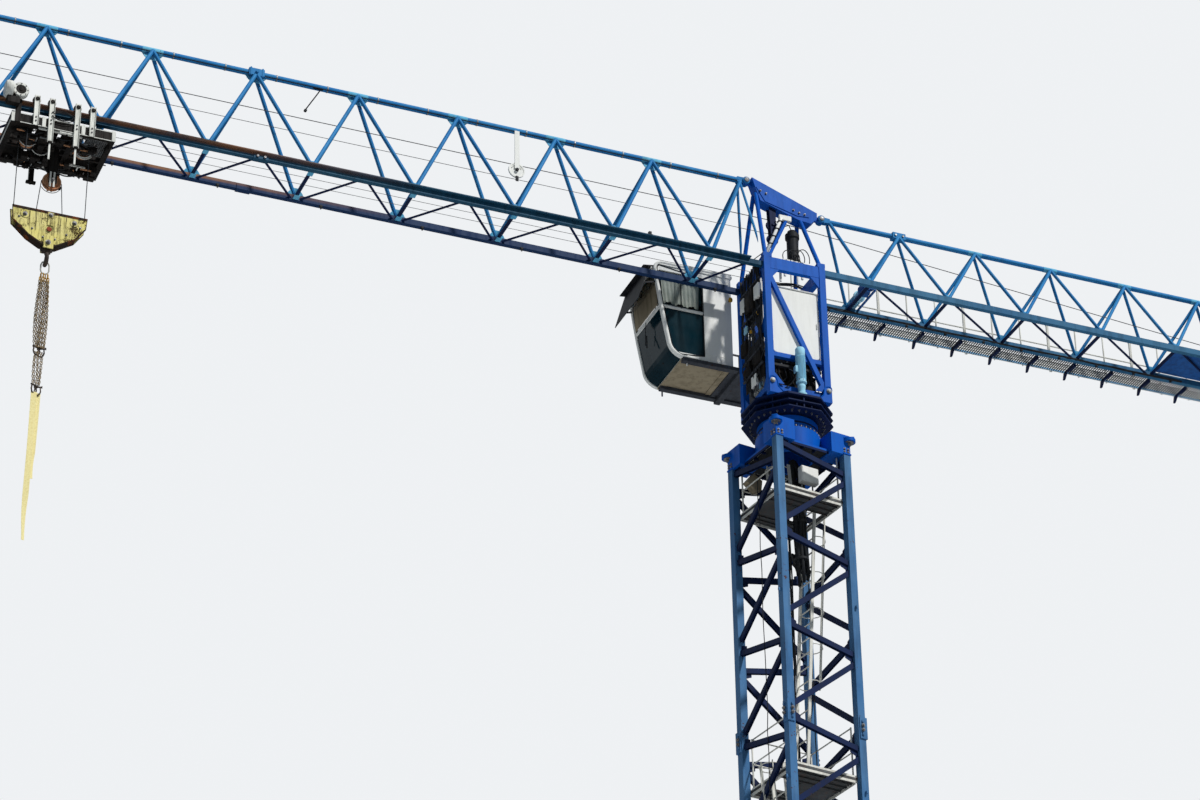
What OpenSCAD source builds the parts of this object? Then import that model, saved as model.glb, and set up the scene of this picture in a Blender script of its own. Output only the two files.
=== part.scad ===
// Flat-top tower crane: lattice mast, slewing head, saddle jib, trolley, hook block, slings.
// Millimetres, +Z up. The origin is the middle of the flat underside of the base cross.
// The jib points along -X, the counter-jib along +X and the cab hangs on the +Y side.

/* [Mast] */
// Distance between the centre lines of two neighbouring mast legs
mast_w = 1512; // [1300:4:1800]
// Width of a box-section mast leg
leg_s = 150; // [110:2:180]
// Height of one bracing bay
bay_h = 1880; // [1600:10:2100]
// Bays in one mast section
section_bays = 3; // [2:1:4]
// Mast sections stacked on the base
section_count = 4; // [2:1:4]
// Angle of the mast about its axis, seen from above, with the jib at rest
mast_turn = 8.8; // [0:0.2:20]
// Diameter of a mast bracing tube
brace_d = 62; // [40:2:80]
// Thickness of a fish plate on a leg joint
fish_t = 22; // [12:1:30]
// Height of a fish plate on a leg joint
fish_h = 420; // [300:10:520]
// Width of a mast ladder between its stiles
ladder_w = 400; // [340:10:440]
// Distance between two ladder rungs
rung_pitch = 300; // [250:10:340]
// Thickness of a landing inside the mast
landing_t = 45; // [30:1:60]

/* [Base cross] */
// Depth of the beams of the base cross
cross_h = 320; // [240:10:420]
// Width of the beams of the base cross
cross_w = 300; // [220:10:380]
// Height of the foot posts between the cross and the mast legs
foot_h = 230; // [150:10:320]
// Distance that an arm of the cross reaches past the centre of its leg
arm_over = 480; // [400:10:620]
// Diameter of an anchor bolt hole
anchor_d = 52; // [40:1:60]
// Distance of the outer anchor holes from the centre of the leg
anchor_out = 360; // [300:10:400]
// Distance of the inner anchor holes from the centre of the leg
anchor_in = 330; // [250:10:360]
// Thickness of the bottom flange of the base cross
flange_t = 40; // [25:1:50]

/* [Slewing] */
// Height of the tapered ring support on top of the mast
support_h = 450; // [380:10:520]
// Diameter of the disc on the outside of each corner of the ring support
ear_d = 250; // [180:10:280]
// Outer diameter of the slewing ring
ring_d = 1160; // [1000:10:1240]
// Height of the slewing ring, both races together
ring_h = 300; // [240:10:360]
// Diameter of the climbing hole through ring and deck
way_d = 820; // [700:10:860]
// Width across flats of the eight-sided slewing deck
deck_w = 1610; // [1600:10:1900]
// Height of the slewing deck
deck_h = 350; // [280:10:420]
// Running gap between the two races of the slewing ring
ring_gap = 8; // [5:1:15]
// Diameter of a slewing motor
motor_d = 190; // [150:5:230]
// Length of a slewing motor with its gearbox
motor_h = 1060; // [900:10:1200]

/* [Column] */
// Outer width of the slewing column along the jib
column_x = 1290; // [1200:10:1400]
// Outer width of the slewing column across the jib
column_y = 1290; // [1200:10:1400]
// Height of the slewing column from the deck to its top
column_h = 3050; // [2800:10:3300]
// Width of a post of the slewing column
post_s = 125; // [100:1:150]
// Depth of the top beams of the slewing column
top_beam_h = 250; // [180:10:320]
// Width of the switch cabinet across the column
cabinet_w = 1010; // [900:10:1030]
// Height of the switch cabinet
cabinet_h = 1500; // [1300:10:1700]
// Depth of the switch cabinet
cabinet_t = 300; // [220:10:400]

/* [Jib] */
// Distance between two top nodes of the jib
jib_pitch = 2000; // [1800:10:2050]
// Whole panels in the jib
jib_panels = 12; // [8:1:12]
// Height between the centre lines of the top chord and the bottom chords
jib_h = 2230; // [1900:10:2500]
// Distance between the centre lines of the two bottom chords
jib_w = 1068; // [1000:4:1200]
// Distance of the first top node from the slewing axis
jib_root = 676; // [640:2:720]
// Diameter of the jib's top chord
top_d = 118; // [90:2:140]
// Width of a bottom chord of the jib
chord_w = 100; // [80:2:120]
// Depth of a bottom chord of the jib
chord_h = 120; // [100:2:150]
// Width of the rail ledge on the outside of each bottom chord
ledge_w = 66; // [55:1:80]
// Thickness of the rail ledge
ledge_t = 20; // [14:1:26]
// Diameter of a jib side diagonal
diag_d = 76; // [56:2:90]
// Diameter of a thin floor brace
floor_d = 46; // [36:2:60]
// Node at which two jib sections are pinned together
jib_joint = 5; // [3:1:6]

/* [Counter-jib] */
// Distance between two top nodes of the counter-jib
cj_pitch = 1694; // [1500:2:1700]
// Whole panels in the counter-jib
cj_panels = 7; // [5:1:7]
// Height between top and bottom chords of the counter-jib
cj_h = 1627; // [1400:1:1800]
// Distance of the first top node of the counter-jib from the slewing axis
cj_root = 918; // [860:2:960]
// Diameter of the counter-jib's top chord
cj_top_d = 104; // [80:2:130]
// Width of the walkway beside the far chord
walk_w = 420; // [380:10:700]
// Height of a handrail above the walkway
rail_h = 1100; // [900:10:1150]
// Diameter of a handrail tube
rail_d = 40; // [30:1:50]
// Number of ballast slabs
slab_count = 3; // [2:1:3]
// Thickness of a ballast slab along the counter-jib
slab_t = 290; // [220:10:290]
// Height of a ballast slab
slab_h = 2100; // [1600:20:2400]

/* [Head] */
// Depth of the head beam between the two top chords
head_h = 330; // [260:10:400]
// Width of the head beam
head_w = 240; // [200:10:280]
// Diameter of a head strut
strut_d = 84; // [60:2:100]
// Diameter of the pins at the chord joints
pin_d = 60; // [40:2:80]

/* [Cab] */
// Distance of the cab's near wall from the centre of the jib
cab_y = 850; // [820:5:950]
// Width of the cab across the jib
cab_w = 1250; // [1100:10:1400]
// Length of the cab along the jib
cab_l = 1630; // [1500:10:1800]
// Height of the cab
cab_h = 2120; // [1950:10:2250]
// Thickness of a cab wall
cab_t = 50; // [35:1:70]
// Thickness of the glass
glass_t = 8; // [6:1:12]

/* [Trolley and hook] */
// Distance of the trolley's middle from the slewing axis at rest
trolley_x = 14370; // [13000:10:15500]
// Length of the trolley frame along the jib
trolley_l = 1900; // [1700:10:2100]
// Diameter of a trolley roller
roller_d = 150; // [110:2:170]
// Drop from the bottom chords to the underside of the trolley frame
trolley_drop = 430; // [380:10:520]
// Distance of the hook block's top edge below the bottom chords at rest
block_drop = 1800; // [1700:10:2200]
// Diameter of the trolley's low middle sheave
head_sheave_d = 350; // [300:10:400]
// Length of the hook block along its top edge
block_l = 1360; // [1200:10:1500]
// Height of the hook block
block_h = 700; // [600:10:760]
// Diameter of a hook block sheave
sheave_d = 380; // [300:10:400]
// Length of the chain slings
chain_l = 2430; // [2000:10:2800]
// Length of the longer webbing sling below the chains
webbing_l = 2900; // [2400:10:3300]
// Diameter of a hoist rope
rope_d = 16; // [12:1:22]

/* [Hidden] */

// Clearance between two pieces of one body that are bolted or welded together
seat = 0.3;
// Clearance between a rolling or turning piece and what carries it
run = 0.6;
// Sides of a tube in a lattice
sides = 8;
// Larger than any cut
far = 60000;

deck_bottom = base_top() + mast_h() + support_h + ring_h;
deck_top = deck_bottom + deck_h;
column_top = deck_top + column_h;
jib_z = column_top - 0.56 * top_beam_h;
jib_top_z = jib_z + jib_h;
cj_z = column_top - 0.28 * top_beam_h;
cj_top_z = cj_z + cj_h;
jib_end = jib_root + jib_pitch * (jib_panels + 0.5);
cj_end = cj_root + cj_pitch * (cj_panels + 0.1);
mast_half = mast_w / 2;
// Heights of the bracing nodes: a level bar ends bar_low below the top of its bay
bar_low = 425;
bar_drop = 340;
foot_gap = 200;
head_gap = 130;
landing_below = 1000;
// Mast ladders: side position of foot, lean, and how far the top stands over the landing
ladder_y = 100;
ladder_foot_x = 20;
ladder_lean = 0.078;
ladder_over = 300;
top_ladder_stop = 80;
stile_t = 28;
stile_s = 60;
rung_d = 28;
hatch_x = 130;
hatch_l = 500;
hatch_w = 560;
hoist_rope_below = 780;
return_rope_below = 1110;
trolley_rope_over = 60;
hoist_rope_z = jib_top_z - hoist_rope_below;
return_rope_z = jib_top_z - return_rope_below;
trolley_rope_z = jib_z + trolley_rope_over;
roller_z = jib_z + chord_h / 2 + roller_d / 2 + run;
roller_y = jib_w / 2 + chord_w / 2 + ledge_w / 2;
roller_w = ledge_w - 16;
roller_at = [-0.27, -0.124, 0.124, 0.27];
bracket_t = 22;
frame_top = jib_z - chord_h / 2 - 60;
frame_bottom = jib_z - trolley_drop;
hook_top = jib_z - block_drop;
hook_bottom = hook_top - block_h;
sheave_at = block_l * 0.33;
rope_gap = rope_d / 2 + seat;
outer_fall_x = sheave_at + sheave_d / 2 + rope_gap;
inner_fall_x = sheave_at - sheave_d / 2 - rope_gap;
head_sheave_z = frame_bottom - 680;
block_sheave_z = hook_top - sheave_d / 2 + 40;
end_sheave_d = 260;
end_sheave_x = outer_fall_x - rope_gap - end_sheave_d / 2;
end_sheave_z = frame_bottom + 80;
girder_y = 90;
floor_z = column_top - cab_h + 420;
cab_rear = column_x / 2 + 35;
wall_in = 20;

function base_top() = cross_h + foot_h;
function mast_h() = bay_h * section_bays * section_count;
function jib_node(k) = -(jib_root + jib_pitch * k);
function cj_node(k) = cj_root + cj_pitch * k;
function section_z(i) = base_top() + bay_h * section_bays * i;
function sign(v) = v < 0 ? -1 : 1;

// A round bar from point p to point q
module bar(p, q, d, n = sides) {
  v = q - p;
  translate(p)
    rotate([0, acos(v[2] / norm(v)), atan2(v[1], v[0])])
      cylinder(d = d, h = norm(v), $fn = n);
}

// A rectangular bar from p to q: w across it level, t across it upright
module beam(p, q, w, t) {
  v = q - p;
  translate(p)
    rotate([0, acos(v[2] / norm(v)), atan2(v[1], v[0])])
      translate([-t / 2, -w / 2, 0])
        cube([t, w, norm(v)]);
}

// A box given by its lowest and highest corners
module block(a, b) {
  translate(a)
    cube(b - a);
}

// A plate that stands in the XZ plane, from y0 to y1, with the given outline
module upright(y0, y1, outline) {
  translate([0, y1, 0])
    rotate([90, 0, 0])
      linear_extrude(y1 - y0)
        polygon(outline);
}

// A pin or disc along Y
module pin_y(x, y0, y1, z, d) {
  translate([x, y1, z])
    rotate([90, 0, 0])
      cylinder(d = d, h = y1 - y0, $fn = 32);
}

// What follows the mast's turn about the axis
module turned() {
  rotate([0, 0, mast_turn])
    children();
}

// Four copies about the axis, the first at the (+, +) corner
module corners() {
  for (i = [0:3])
    rotate([0, 0, 90 * i])
      children();
}

// Base and mast

leg_reach = mast_half * sqrt(2);
ear_r = leg_reach + 90;
ear_t = 58;
ear_rib = 90;
corner_w = 420;
corner_drop = 20;
plate_half = mast_half - 40;
plate_t = 40;
drum_over = 90;

// Two crossed box beams, with a foot post under each mast leg
module base_cross() color([0.22, 0.30, 0.42]) turned() {
  end = leg_reach + arm_over;
  web = cross_w * 0.33;
  difference() {
    union() {
      for (a = [45, 135])
        rotate([0, 0, a]) {
          block([-end, -cross_w / 2, 0], [end, cross_w / 2, flange_t]);
          block([-end, -cross_w / 2, cross_h - flange_t], [end, cross_w / 2, cross_h]);
          for (s = [-1, 1])
            block([-end, s * web - 12, 0], [end, s * web + 12, cross_h]);
        }
      corners()
        block([mast_half - leg_s / 2, mast_half - leg_s / 2, flange_t],
          [mast_half + leg_s / 2, mast_half + leg_s / 2, base_top() - seat]);
    }
    corners()
      rotate([0, 0, 45])
        for (r = [leg_reach - anchor_in, leg_reach + anchor_out]) {
          translate([r, 0, -1])
            cylinder(d = anchor_d, h = cross_h, $fn = 32);
          translate([r, 0, flange_t + 20])
            cylinder(d = web * 1.5, h = cross_h, $fn = 32);
        }
  }
}

module mast_legs() color([0.50, 0.62, 0.74]) turned()
  corners()
    block([mast_half - leg_s / 2, mast_half - leg_s / 2, base_top()],
      [mast_half + leg_s / 2, mast_half + leg_s / 2, base_top() + mast_h()]);

// Two plates with pins over each leg joint, on the two outer faces of the leg
module mast_fish_plates() color([0.45, 0.57, 0.70]) turned()
  corners() {
    outer = mast_half + leg_s / 2 + seat;
    for (i = [0:section_count - 1]) {
      z = section_z(i) + (i == 0 ? fish_h / 2 : 0);
      union() {
        block([outer, mast_half - leg_s * 0.36, z - fish_h / 2],
          [outer + fish_t, outer + fish_t, z + fish_h / 2]);
        block([mast_half - leg_s * 0.36, outer, z - fish_h / 2],
          [outer + fish_t, outer + fish_t, z + fish_h / 2]);
        for (s = [-1, 1]) {
          bar([outer, mast_half, z + s * fish_h * 0.3],
            [outer + fish_t + 26, mast_half, z + s * fish_h * 0.3], 52, 12);
          bar([mast_half, outer, z + s * fish_h * 0.3],
            [mast_half, outer + fish_t + 26, z + s * fish_h * 0.3], 52, 12);
        }
      }
    }
  }

// One side of the mast as N bracing, drawn on the face at y = -mast_half.
// Each level bar drops by bar_drop from its left end to its right end.
module mast_side() {
  edge = mast_half - leg_s / 2 - seat;
  for (i = [0:section_count - 1])
    for (b = [0:section_bays - 1]) {
      z = section_z(i) + (b + 1) * bay_h - bar_low;
      intersection() {
        block([-edge, -mast_half - brace_d, section_z(i)], [edge, -mast_half + brace_d, z + bay_h]);
        union() {
          bar([-mast_half, -mast_half, z + bar_drop], [mast_half, -mast_half, z], brace_d);
          bar([-mast_half, -mast_half, z - bay_h + bar_drop + foot_gap],
            [mast_half, -mast_half, z - head_gap], brace_d);
        }
      }
    }
}

module mast_bracing_front() color([0.12, 0.18, 0.30]) turned()
  mast_side();

module mast_bracing_left() color([0.12, 0.18, 0.30]) turned()
  rotate([0, 0, -90])
    mast_side();

module mast_bracing_right() color([0.12, 0.18, 0.30]) turned()
  rotate([0, 0, 90])
    mast_side();

module mast_bracing_rear() color([0.12, 0.18, 0.30]) turned()
  rotate([0, 0, 180])
    mast_side();

// A ladder that stands in the XZ plane at y, centred on x
module ladder(x, y, z0, z1) {
  for (s = [-1, 1])
    block([x + s * ladder_w / 2 - 14, y - 30, z0], [x + s * ladder_w / 2 + 14, y + 30, z1]);
  for (z = [z0 + rung_pitch / 2:rung_pitch:z1 - 40])
    block([x - ladder_w / 2, y - 13, z - 13], [x + ladder_w / 2, y + 13, z + 13]);
}

// Underside of landing i; 0 stands for the ground
function landing_z(i) = i == 0 ? cross_h : section_z(i) - landing_below;
function ladder_side(i) = i % 2 == 0 ? -1 : 1;

// Leaning ladders between the landings, each in a plane across the mast
module mast_ladders() color([0.90, 0.92, 0.93]) turned()
  for (i = [0:section_count]) {
    z0 = landing_z(i) + (i == 0 ? 1 : landing_t + seat);
    z1 = i == section_count ? base_top() + mast_h() - top_ladder_stop : landing_z(i + 1) + landing_t + ladder_over;
    foot = ladder_side(i) * ladder_foot_x;
    head = foot + ladder_side(i) * ladder_lean * (z1 - z0);
    for (y = [ladder_y - ladder_w / 2, ladder_y + ladder_w / 2])
      intersection() {
        beam([foot, y, z0 - stile_s], [head, y, z1 + stile_s], stile_t, stile_s);
        block([-far, -far, z0], [far, far, z1]);
      }
    for (k = [1:floor((z1 - z0 - stile_s) / rung_pitch)])
      bar([foot + (head - foot) * k * rung_pitch / (z1 - z0), ladder_y - ladder_w / 2, z0 + k * rung_pitch],
        [foot + (head - foot) * k * rung_pitch / (z1 - z0), ladder_y + ladder_w / 2, z0 + k * rung_pitch],
        rung_d, 6);
  }

// Landings between the legs below each section joint, each with a hatch round its ladder
module mast_landings() color([0.80, 0.83, 0.85]) turned()
  for (i = [1:section_count]) {
    edge_x = mast_half - leg_s / 2 - seat;
    edge_y = mast_half - brace_d / 2 - 5;
    hatch = ladder_side(i - 1) * hatch_x;
    difference() {
      block([-edge_x, -edge_y, landing_z(i)], [edge_x, edge_y, landing_z(i) + landing_t]);
      block([min(hatch, hatch + ladder_side(i - 1) * hatch_l), ladder_y - hatch_w / 2, landing_z(i) - 1],
        [max(hatch, hatch + ladder_side(i - 1) * hatch_l), ladder_y + hatch_w / 2, landing_z(i) + landing_t + 1]);
    }
  }

// Ring support: a drum between four corner boxes on the legs, with a disc outside each corner
module ring_support() color([0.16, 0.33, 0.62]) turned() {
  z0 = base_top() + mast_h();
  z1 = z0 + support_h - seat;
  outer = mast_half + leg_s / 2;
  disc_z = z0 + support_h * 0.65;
  difference() {
    union() {
      for (i = [0:3])
        rotate([0, 0, 90 * i]) {
          block([outer - corner_w, outer - corner_w, z0 + seat], [outer, outer, z1 - corner_drop]);
          rotate([0, 0, 45]) {
            translate([ear_r, 0, disc_z])
              cylinder(d = ear_d, h = ear_t, $fn = 32);
            upright(-ear_rib / 2, ear_rib / 2, [
              [leg_reach - 60, disc_z + ear_t / 2], [ear_r + 80, disc_z + ear_t / 2],
              [ear_r + 50, disc_z + ear_t + 20], [leg_reach + 50, z1 - corner_drop],
              [leg_reach - 60, z1 - corner_drop]
            ]);
          }
        }
      block([-plate_half, -plate_half, z0 + 40], [plate_half, plate_half, z0 + 40 + plate_t]);
      translate([0, 0, z0 + 40])
        cylinder(d = ring_d + drum_over, h = z1 - z0 - 40, $fn = 64);
    }
    translate([0, 0, z0 - 1])
      cylinder(d = way_d, h = support_h + 2, $fn = 48);
  }
}

// Fixed lower race with a flange above and below
module slewing_ring() color([0.16, 0.36, 0.68]) {
  z0 = base_top() + mast_h() + support_h;
  z1 = deck_bottom - ring_gap;
  difference() {
    union() {
      translate([0, 0, z0])
        cylinder(d = ring_d, h = z1 - z0, $fn = 64);
      translate([0, 0, z0])
        cylinder(d = ring_d + 70, h = 40, $fn = 64);
      translate([0, 0, z0])
        cylinder(d = ring_d - 120, h = ring_h - run, $fn = 64);
    }
    translate([0, 0, z0 - 1])
      cylinder(d = way_d, h = ring_h + 2, $fn = 48);
  }
}

// Slewing head

function octagon(w) = [for (i = [0:7]) [cos(22.5 + 45 * i), sin(22.5 + 45 * i)] * w / 2 / cos(22.5)];

deck_recess = 260;
deck_flange = 40;

module slewing_deck() color([0.13, 0.22, 0.40])
  difference() {
    union() {
      for (a = [0:45:315])
        rotate([0, 0, a])
          block([0, -12, deck_bottom + 60], [deck_w / 2 - 30, 12, deck_top - deck_flange]);
      translate([0, 0, deck_bottom])
        cylinder(d = ring_d - 40, h = deck_h, $fn = 64);
      translate([0, 0, deck_bottom + 60])
        linear_extrude(deck_h - 90)
          polygon(octagon(deck_w - deck_recess));
      for (z = [deck_bottom + 40, deck_bottom + deck_h / 2, deck_top - deck_flange - seat])
        translate([0, 0, z])
          linear_extrude(z < deck_top - 2 * deck_flange ? deck_flange / 2 : deck_flange)
            polygon(octagon(deck_w));
    }
    translate([0, 0, deck_bottom - 1])
      cylinder(d = way_d, h = deck_h + 2, $fn = 48);
  }

// Foot beams of the column's long sides: set in from the posts' middle, and their thickness
foot_beam_in = 20;
foot_beam_t = 50;
motor_gap = 7.5;
motor_at = [[0, -1], [-120, 1]];

// Upright geared motors that stand on the deck outside the column
module slewing_motors() color([0.52, 0.72, 0.85])
  for (m = motor_at) {
    r = post_y - foot_beam_in + foot_beam_t / 2 + motor_gap + motor_d / 2 + 5;
    x = m[0];
    y = m[1] * r;
    translate([x, y, deck_top]) {
      cylinder(d = motor_d + 10, h = 60, $fn = 32);
      translate([0, 0, 59])
        cylinder(d = motor_d * 0.72, h = motor_h * 0.24, $fn = 32);
      translate([0, 0, motor_h * 0.26])
        cylinder(d = motor_d + 14, h = 46, $fn = 32);
      translate([0, 0, motor_h * 0.26 + 45])
        cylinder(d = motor_d, h = motor_h * 0.74 - 45, $fn = 32);
    }
  }

cabinet_z = deck_top + 950;
post_x = column_x / 2 - post_s / 2;
post_y = column_y / 2 - post_s / 2;
cabinet_y = -post_y + post_s * 0.35 + seat;

// Column of four box posts, with beams round the top, the foot and the middle
module column_frame() color([0.13, 0.34, 0.70])
  union() {
    foot = deck_top + 120;
    for (sx = [-1, 1])
      for (sy = [-1, 1])
        block([sx * post_x - post_s / 2, sy * post_y - post_s / 2, foot],
          [sx * post_x + post_s / 2, sy * post_y + post_s / 2, column_top]);
    for (sy = [-1, 1]) {
      block([-post_x, sy * post_y - post_s * 0.4, column_top - top_beam_h],
        [post_x, sy * post_y + post_s * 0.4, column_top]);
      block([-post_x, sy * (post_y - foot_beam_in) - foot_beam_t / 2, foot],
        [post_x, sy * (post_y - foot_beam_in) + foot_beam_t / 2, foot + 120]);
      beam([-post_x, sy * post_y, column_top - top_beam_h - 20], [post_x, sy * post_y, foot + 60],
        post_s * 0.7, post_s * 0.72);
    }
    block([-post_x, -post_y - 10, cabinet_z - 90], [post_x, cabinet_y + cabinet_t, cabinet_z - seat]);
    for (sx = [-1, 1]) {
      block([sx * post_x - post_s * 0.4, -post_y, column_top - top_beam_h],
        [sx * post_x + post_s * 0.4, post_y, column_top]);
      block([sx * post_x - post_s * 0.4, -post_y, foot], [sx * post_x + post_s * 0.4, post_y, foot + 120]);
      block([sx * post_x - post_s * 0.3, -post_y, deck_top + column_h * 0.5 - 50],
        [sx * post_x + post_s * 0.3, post_y, deck_top + column_h * 0.5 + 50]);
    }
  }

// Curved ears that pin the four posts to the deck
module column_feet() color([0.16, 0.40, 0.76])
  for (sx = [-1, 1])
    for (sy = [-1, 1]) {
      lug_x = sx * post_x;
      lug_y = sy * post_y;
      face = sy * (post_y + post_s / 2 + seat);
      union() {
        block([lug_x - post_s / 2, lug_y - post_s / 2, deck_top],
          [lug_x + post_s / 2, lug_y + post_s / 2, deck_top + 120 - seat]);
        block([lug_x - post_s / 2, min(lug_y, face + sy * 26), deck_top],
          [lug_x + post_s / 2, max(lug_y, face + sy * 26), deck_top + 90]);
        upright(min(face, face + sy * 26), max(face, face + sy * 26), [
          [lug_x - sx * 70, deck_top + 330], [lug_x - sx * 95, deck_top + 270],
          [lug_x - sx * 110, deck_top + 150], [lug_x - sx * 260, deck_top],
          [lug_x + sx * 60, deck_top], [lug_x + sx * 62, deck_top + 270],
          [lug_x + sx * 50, deck_top + 330], [lug_x, deck_top + 350]
        ]);
        pin_y(lug_x, min(face + sy * 20, face + sy * 60), max(face + sy * 20, face + sy * 60),
          deck_top + 250, pin_d);
      }
    }

module column_ladder() color([0.75, 0.78, 0.80])
  translate([-post_x + post_s * 0.4 + seat + 30, 70, 0])
    rotate([0, 0, 90])
      ladder(0, 0, deck_top + 20, column_top - 40);

// White steel cabinet inside the near side of the column
module switch_cabinet() color([0.93, 0.94, 0.95])
  block([-cabinet_w / 2, cabinet_y, cabinet_z], [cabinet_w / 2, cabinet_y + cabinet_t, cabinet_z + cabinet_h]);

// Sloping box beam between the top chords' lugs
head_a = [-jib_root, jib_top_z];
head_b = [cj_root, cj_top_z];
lug_gap = 56;

guide_head_d = 240;
head_sheave = [-140, hoist_rope_z - rope_gap - guide_head_d / 2];
return_head_d = 240;

// Guide sheaves between two plates that hang from the head beam
module head_sheaves() color([0.10, 0.12, 0.18])
  difference() {
    union() {
      for (s = [-1, 1])
        upright(s * 60 - 8, s * 60 + 8, [
          [head_sheave[0] - 45, head_sheave[1] - 470], [head_sheave[0] + 45, head_sheave[1] - 470],
          [head_sheave[0] + 60, head_sheave[1]], [head_sheave[0] + 80, head_a[1] - head_h],
          [head_sheave[0] - 80, head_a[1] - head_h], [head_sheave[0] - 60, head_sheave[1]]
        ]);
      pin_y(head_sheave[0], -24, 24, head_sheave[1], guide_head_d);
      pin_y(head_sheave[0], -90, 90, head_sheave[1], 60);
      pin_y(head_sheave[0], -20, 20, return_rope_z - rope_d * 0.35 - seat - return_head_d / 2, return_head_d);
      pin_y(head_sheave[0], -80, 80, return_rope_z - rope_d * 0.35 - seat - return_head_d / 2, 50);
    }
    head_beam_body(seat);
  }

// Outline of the head beam as a solid, grown by t across
module head_beam_body(t)
  upright(-head_w / 2 - t, head_w / 2 + t, [
    [head_a[0] + 95 - t, head_a[1] + 60 + t], [head_a[0] + 150 - t, head_a[1] - head_h * 0.35],
    [head_a[0] + 260 - t, head_a[1] - head_h - 110 - t], [head_b[0] - 520, head_b[1] - head_h * 0.55 - t],
    [head_b[0] - 260, head_b[1] - head_h * 0.62 - t], [head_b[0] - 130 + t, head_b[1] - 60 - t],
    [head_b[0] - 120 + t, head_b[1] + 70 + t]
  ]);

module head_beam() color([0.10, 0.36, 0.78])
  difference() {
    union() {
      head_beam_body(0);
      upright(-lug_gap / 2 + run, lug_gap / 2 - run, [
        [head_a[0] - 50, head_a[1] + 40], [head_a[0] - 50, head_a[1] - 50],
        [head_a[0] + 160, head_a[1] - 90], [head_a[0] + 160, head_a[1] + 30]
      ]);
      upright(-lug_gap / 2 + run, lug_gap / 2 - run, [
        [head_b[0] + 50, head_b[1] + 40], [head_b[0] + 50, head_b[1] - 50],
        [head_b[0] - 160, head_b[1] - 60], [head_b[0] - 160, head_b[1] + 50]
      ]);
    }
    pin_y(head_a[0], -head_w, head_w, head_a[1], pin_d + 2 * seat);
    pin_y(head_b[0], -head_w, head_w, head_b[1], pin_d + 2 * seat);
  }

// Struts from the head beam down to the four top corners of the column
module head_struts() color([0.15, 0.35, 0.68])
  difference() {
    union() {
      for (s = [-1, 1]) {
        bar([-post_x, s * post_y, column_top + 10], [head_a[0] + 190, s * 60, head_a[1] - head_h * 0.8],
          strut_d, 12);
        bar([post_x, s * post_y, column_top + 10], [head_b[0] - 480, s * 60, head_b[1] - head_h * 0.4],
          strut_d, 12);
        bar([-post_x + 60, s * post_y, column_top + 10], [head_b[0] - 700, s * 60, head_b[1] - 60],
          strut_d * 0.8, 12);
        block([-post_x - 70, s * post_y - 55, column_top + seat], [-post_x + 110, s * post_y + 55, column_top + 90]);
        block([post_x - 90, s * post_y - 55, column_top + seat], [post_x + 70, s * post_y + 55, column_top + 90]);
      }
    }
    block([-far, -far, column_top - far], [far, far, column_top + seat]);
    head_beam_body(seat);
  }

// Cab

// Side outline of the cab, drawn in x (towards the jib's tip) and z, pulled in by t on every side
function cab_outline(t) = [
  [cab_rear + t, floor_z + t],
  [cab_rear + cab_l - 620, floor_z + t],
  for (a = [0:15:75])
    [cab_rear + cab_l - 620 + (360 - t) * sin(a), floor_z + 360 - (360 - t) * cos(a)],
  [cab_rear + cab_l - 145 - t, floor_z + 960],
  for (a = [0:18:90])
    [cab_rear + cab_l - 190 + (190 - t) * cos(a), floor_z + cab_h - 190 + (190 - t) * sin(a)],
  [cab_rear + t, floor_z + cab_h - t]
];

module cab_solid(t, y0, y1)
  mirror([1, 0, 0])
    upright(y0, y1, cab_outline(t));

pane_x = cab_rear + cab_l - 1040;
pane_low = 130;
frame_w = 60;
side_window = [
  [pane_x, floor_z + pane_low], [cab_rear + cab_l - 425, floor_z + pane_low],
  for (a = [60, 75])
    [cab_rear + cab_l - 620 + (360 - frame_w) * sin(a), floor_z + 360 - (360 - frame_w) * cos(a)],
  [cab_rear + cab_l - 145 - frame_w, floor_z + 960], [cab_rear + cab_l - frame_w - 8, floor_z + cab_h - 260],
  [cab_rear + cab_l - frame_w - 70, floor_z + cab_h - 200], [pane_x, floor_z + cab_h - 200]
];
sill_h = 1110;
side_window_low = floor_z + sill_h;
mullion = 60;
door_y0 = cab_y + 180;
door_y1 = cab_y + 880;
door_z0 = floor_z + cab_t + 5;
door_z1 = floor_z + cab_h - 230;
roof_z = floor_z + cab_h - 90;

// One side window's outline as two panes either side of the mullion, each pulled in by t
module side_panes(t, y0, y1)
  mirror([1, 0, 0])
    for (half = [0, 1])
      intersection() {
        upright(y0, y1, side_window);
        translate([0, 0, half == 0 ? side_window_low - mullion / 2 - t - far : side_window_low + mullion / 2 + t])
          block([pane_x + t, y0 - 1, 0], [cab_rear + cab_l, y1 + 1, far]);
      }

// Where the two panes of the windscreen stand, each pulled in by t
module front_panes(t, y0, y1)
  for (half = [0, 1])
    block([-cab_rear - cab_l - 50, y0 + t, half == 0 ? floor_z - 10 : side_window_low + mullion / 2 + t],
      [-cab_rear - cab_l + 560 - t, y1 - t, half == 0 ? side_window_low - mullion / 2 - t : roof_z - 60 - t]);

screen_y0 = cab_y + cab_t + seat;
screen_y1 = cab_y + cab_w - cab_t - seat;

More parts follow.
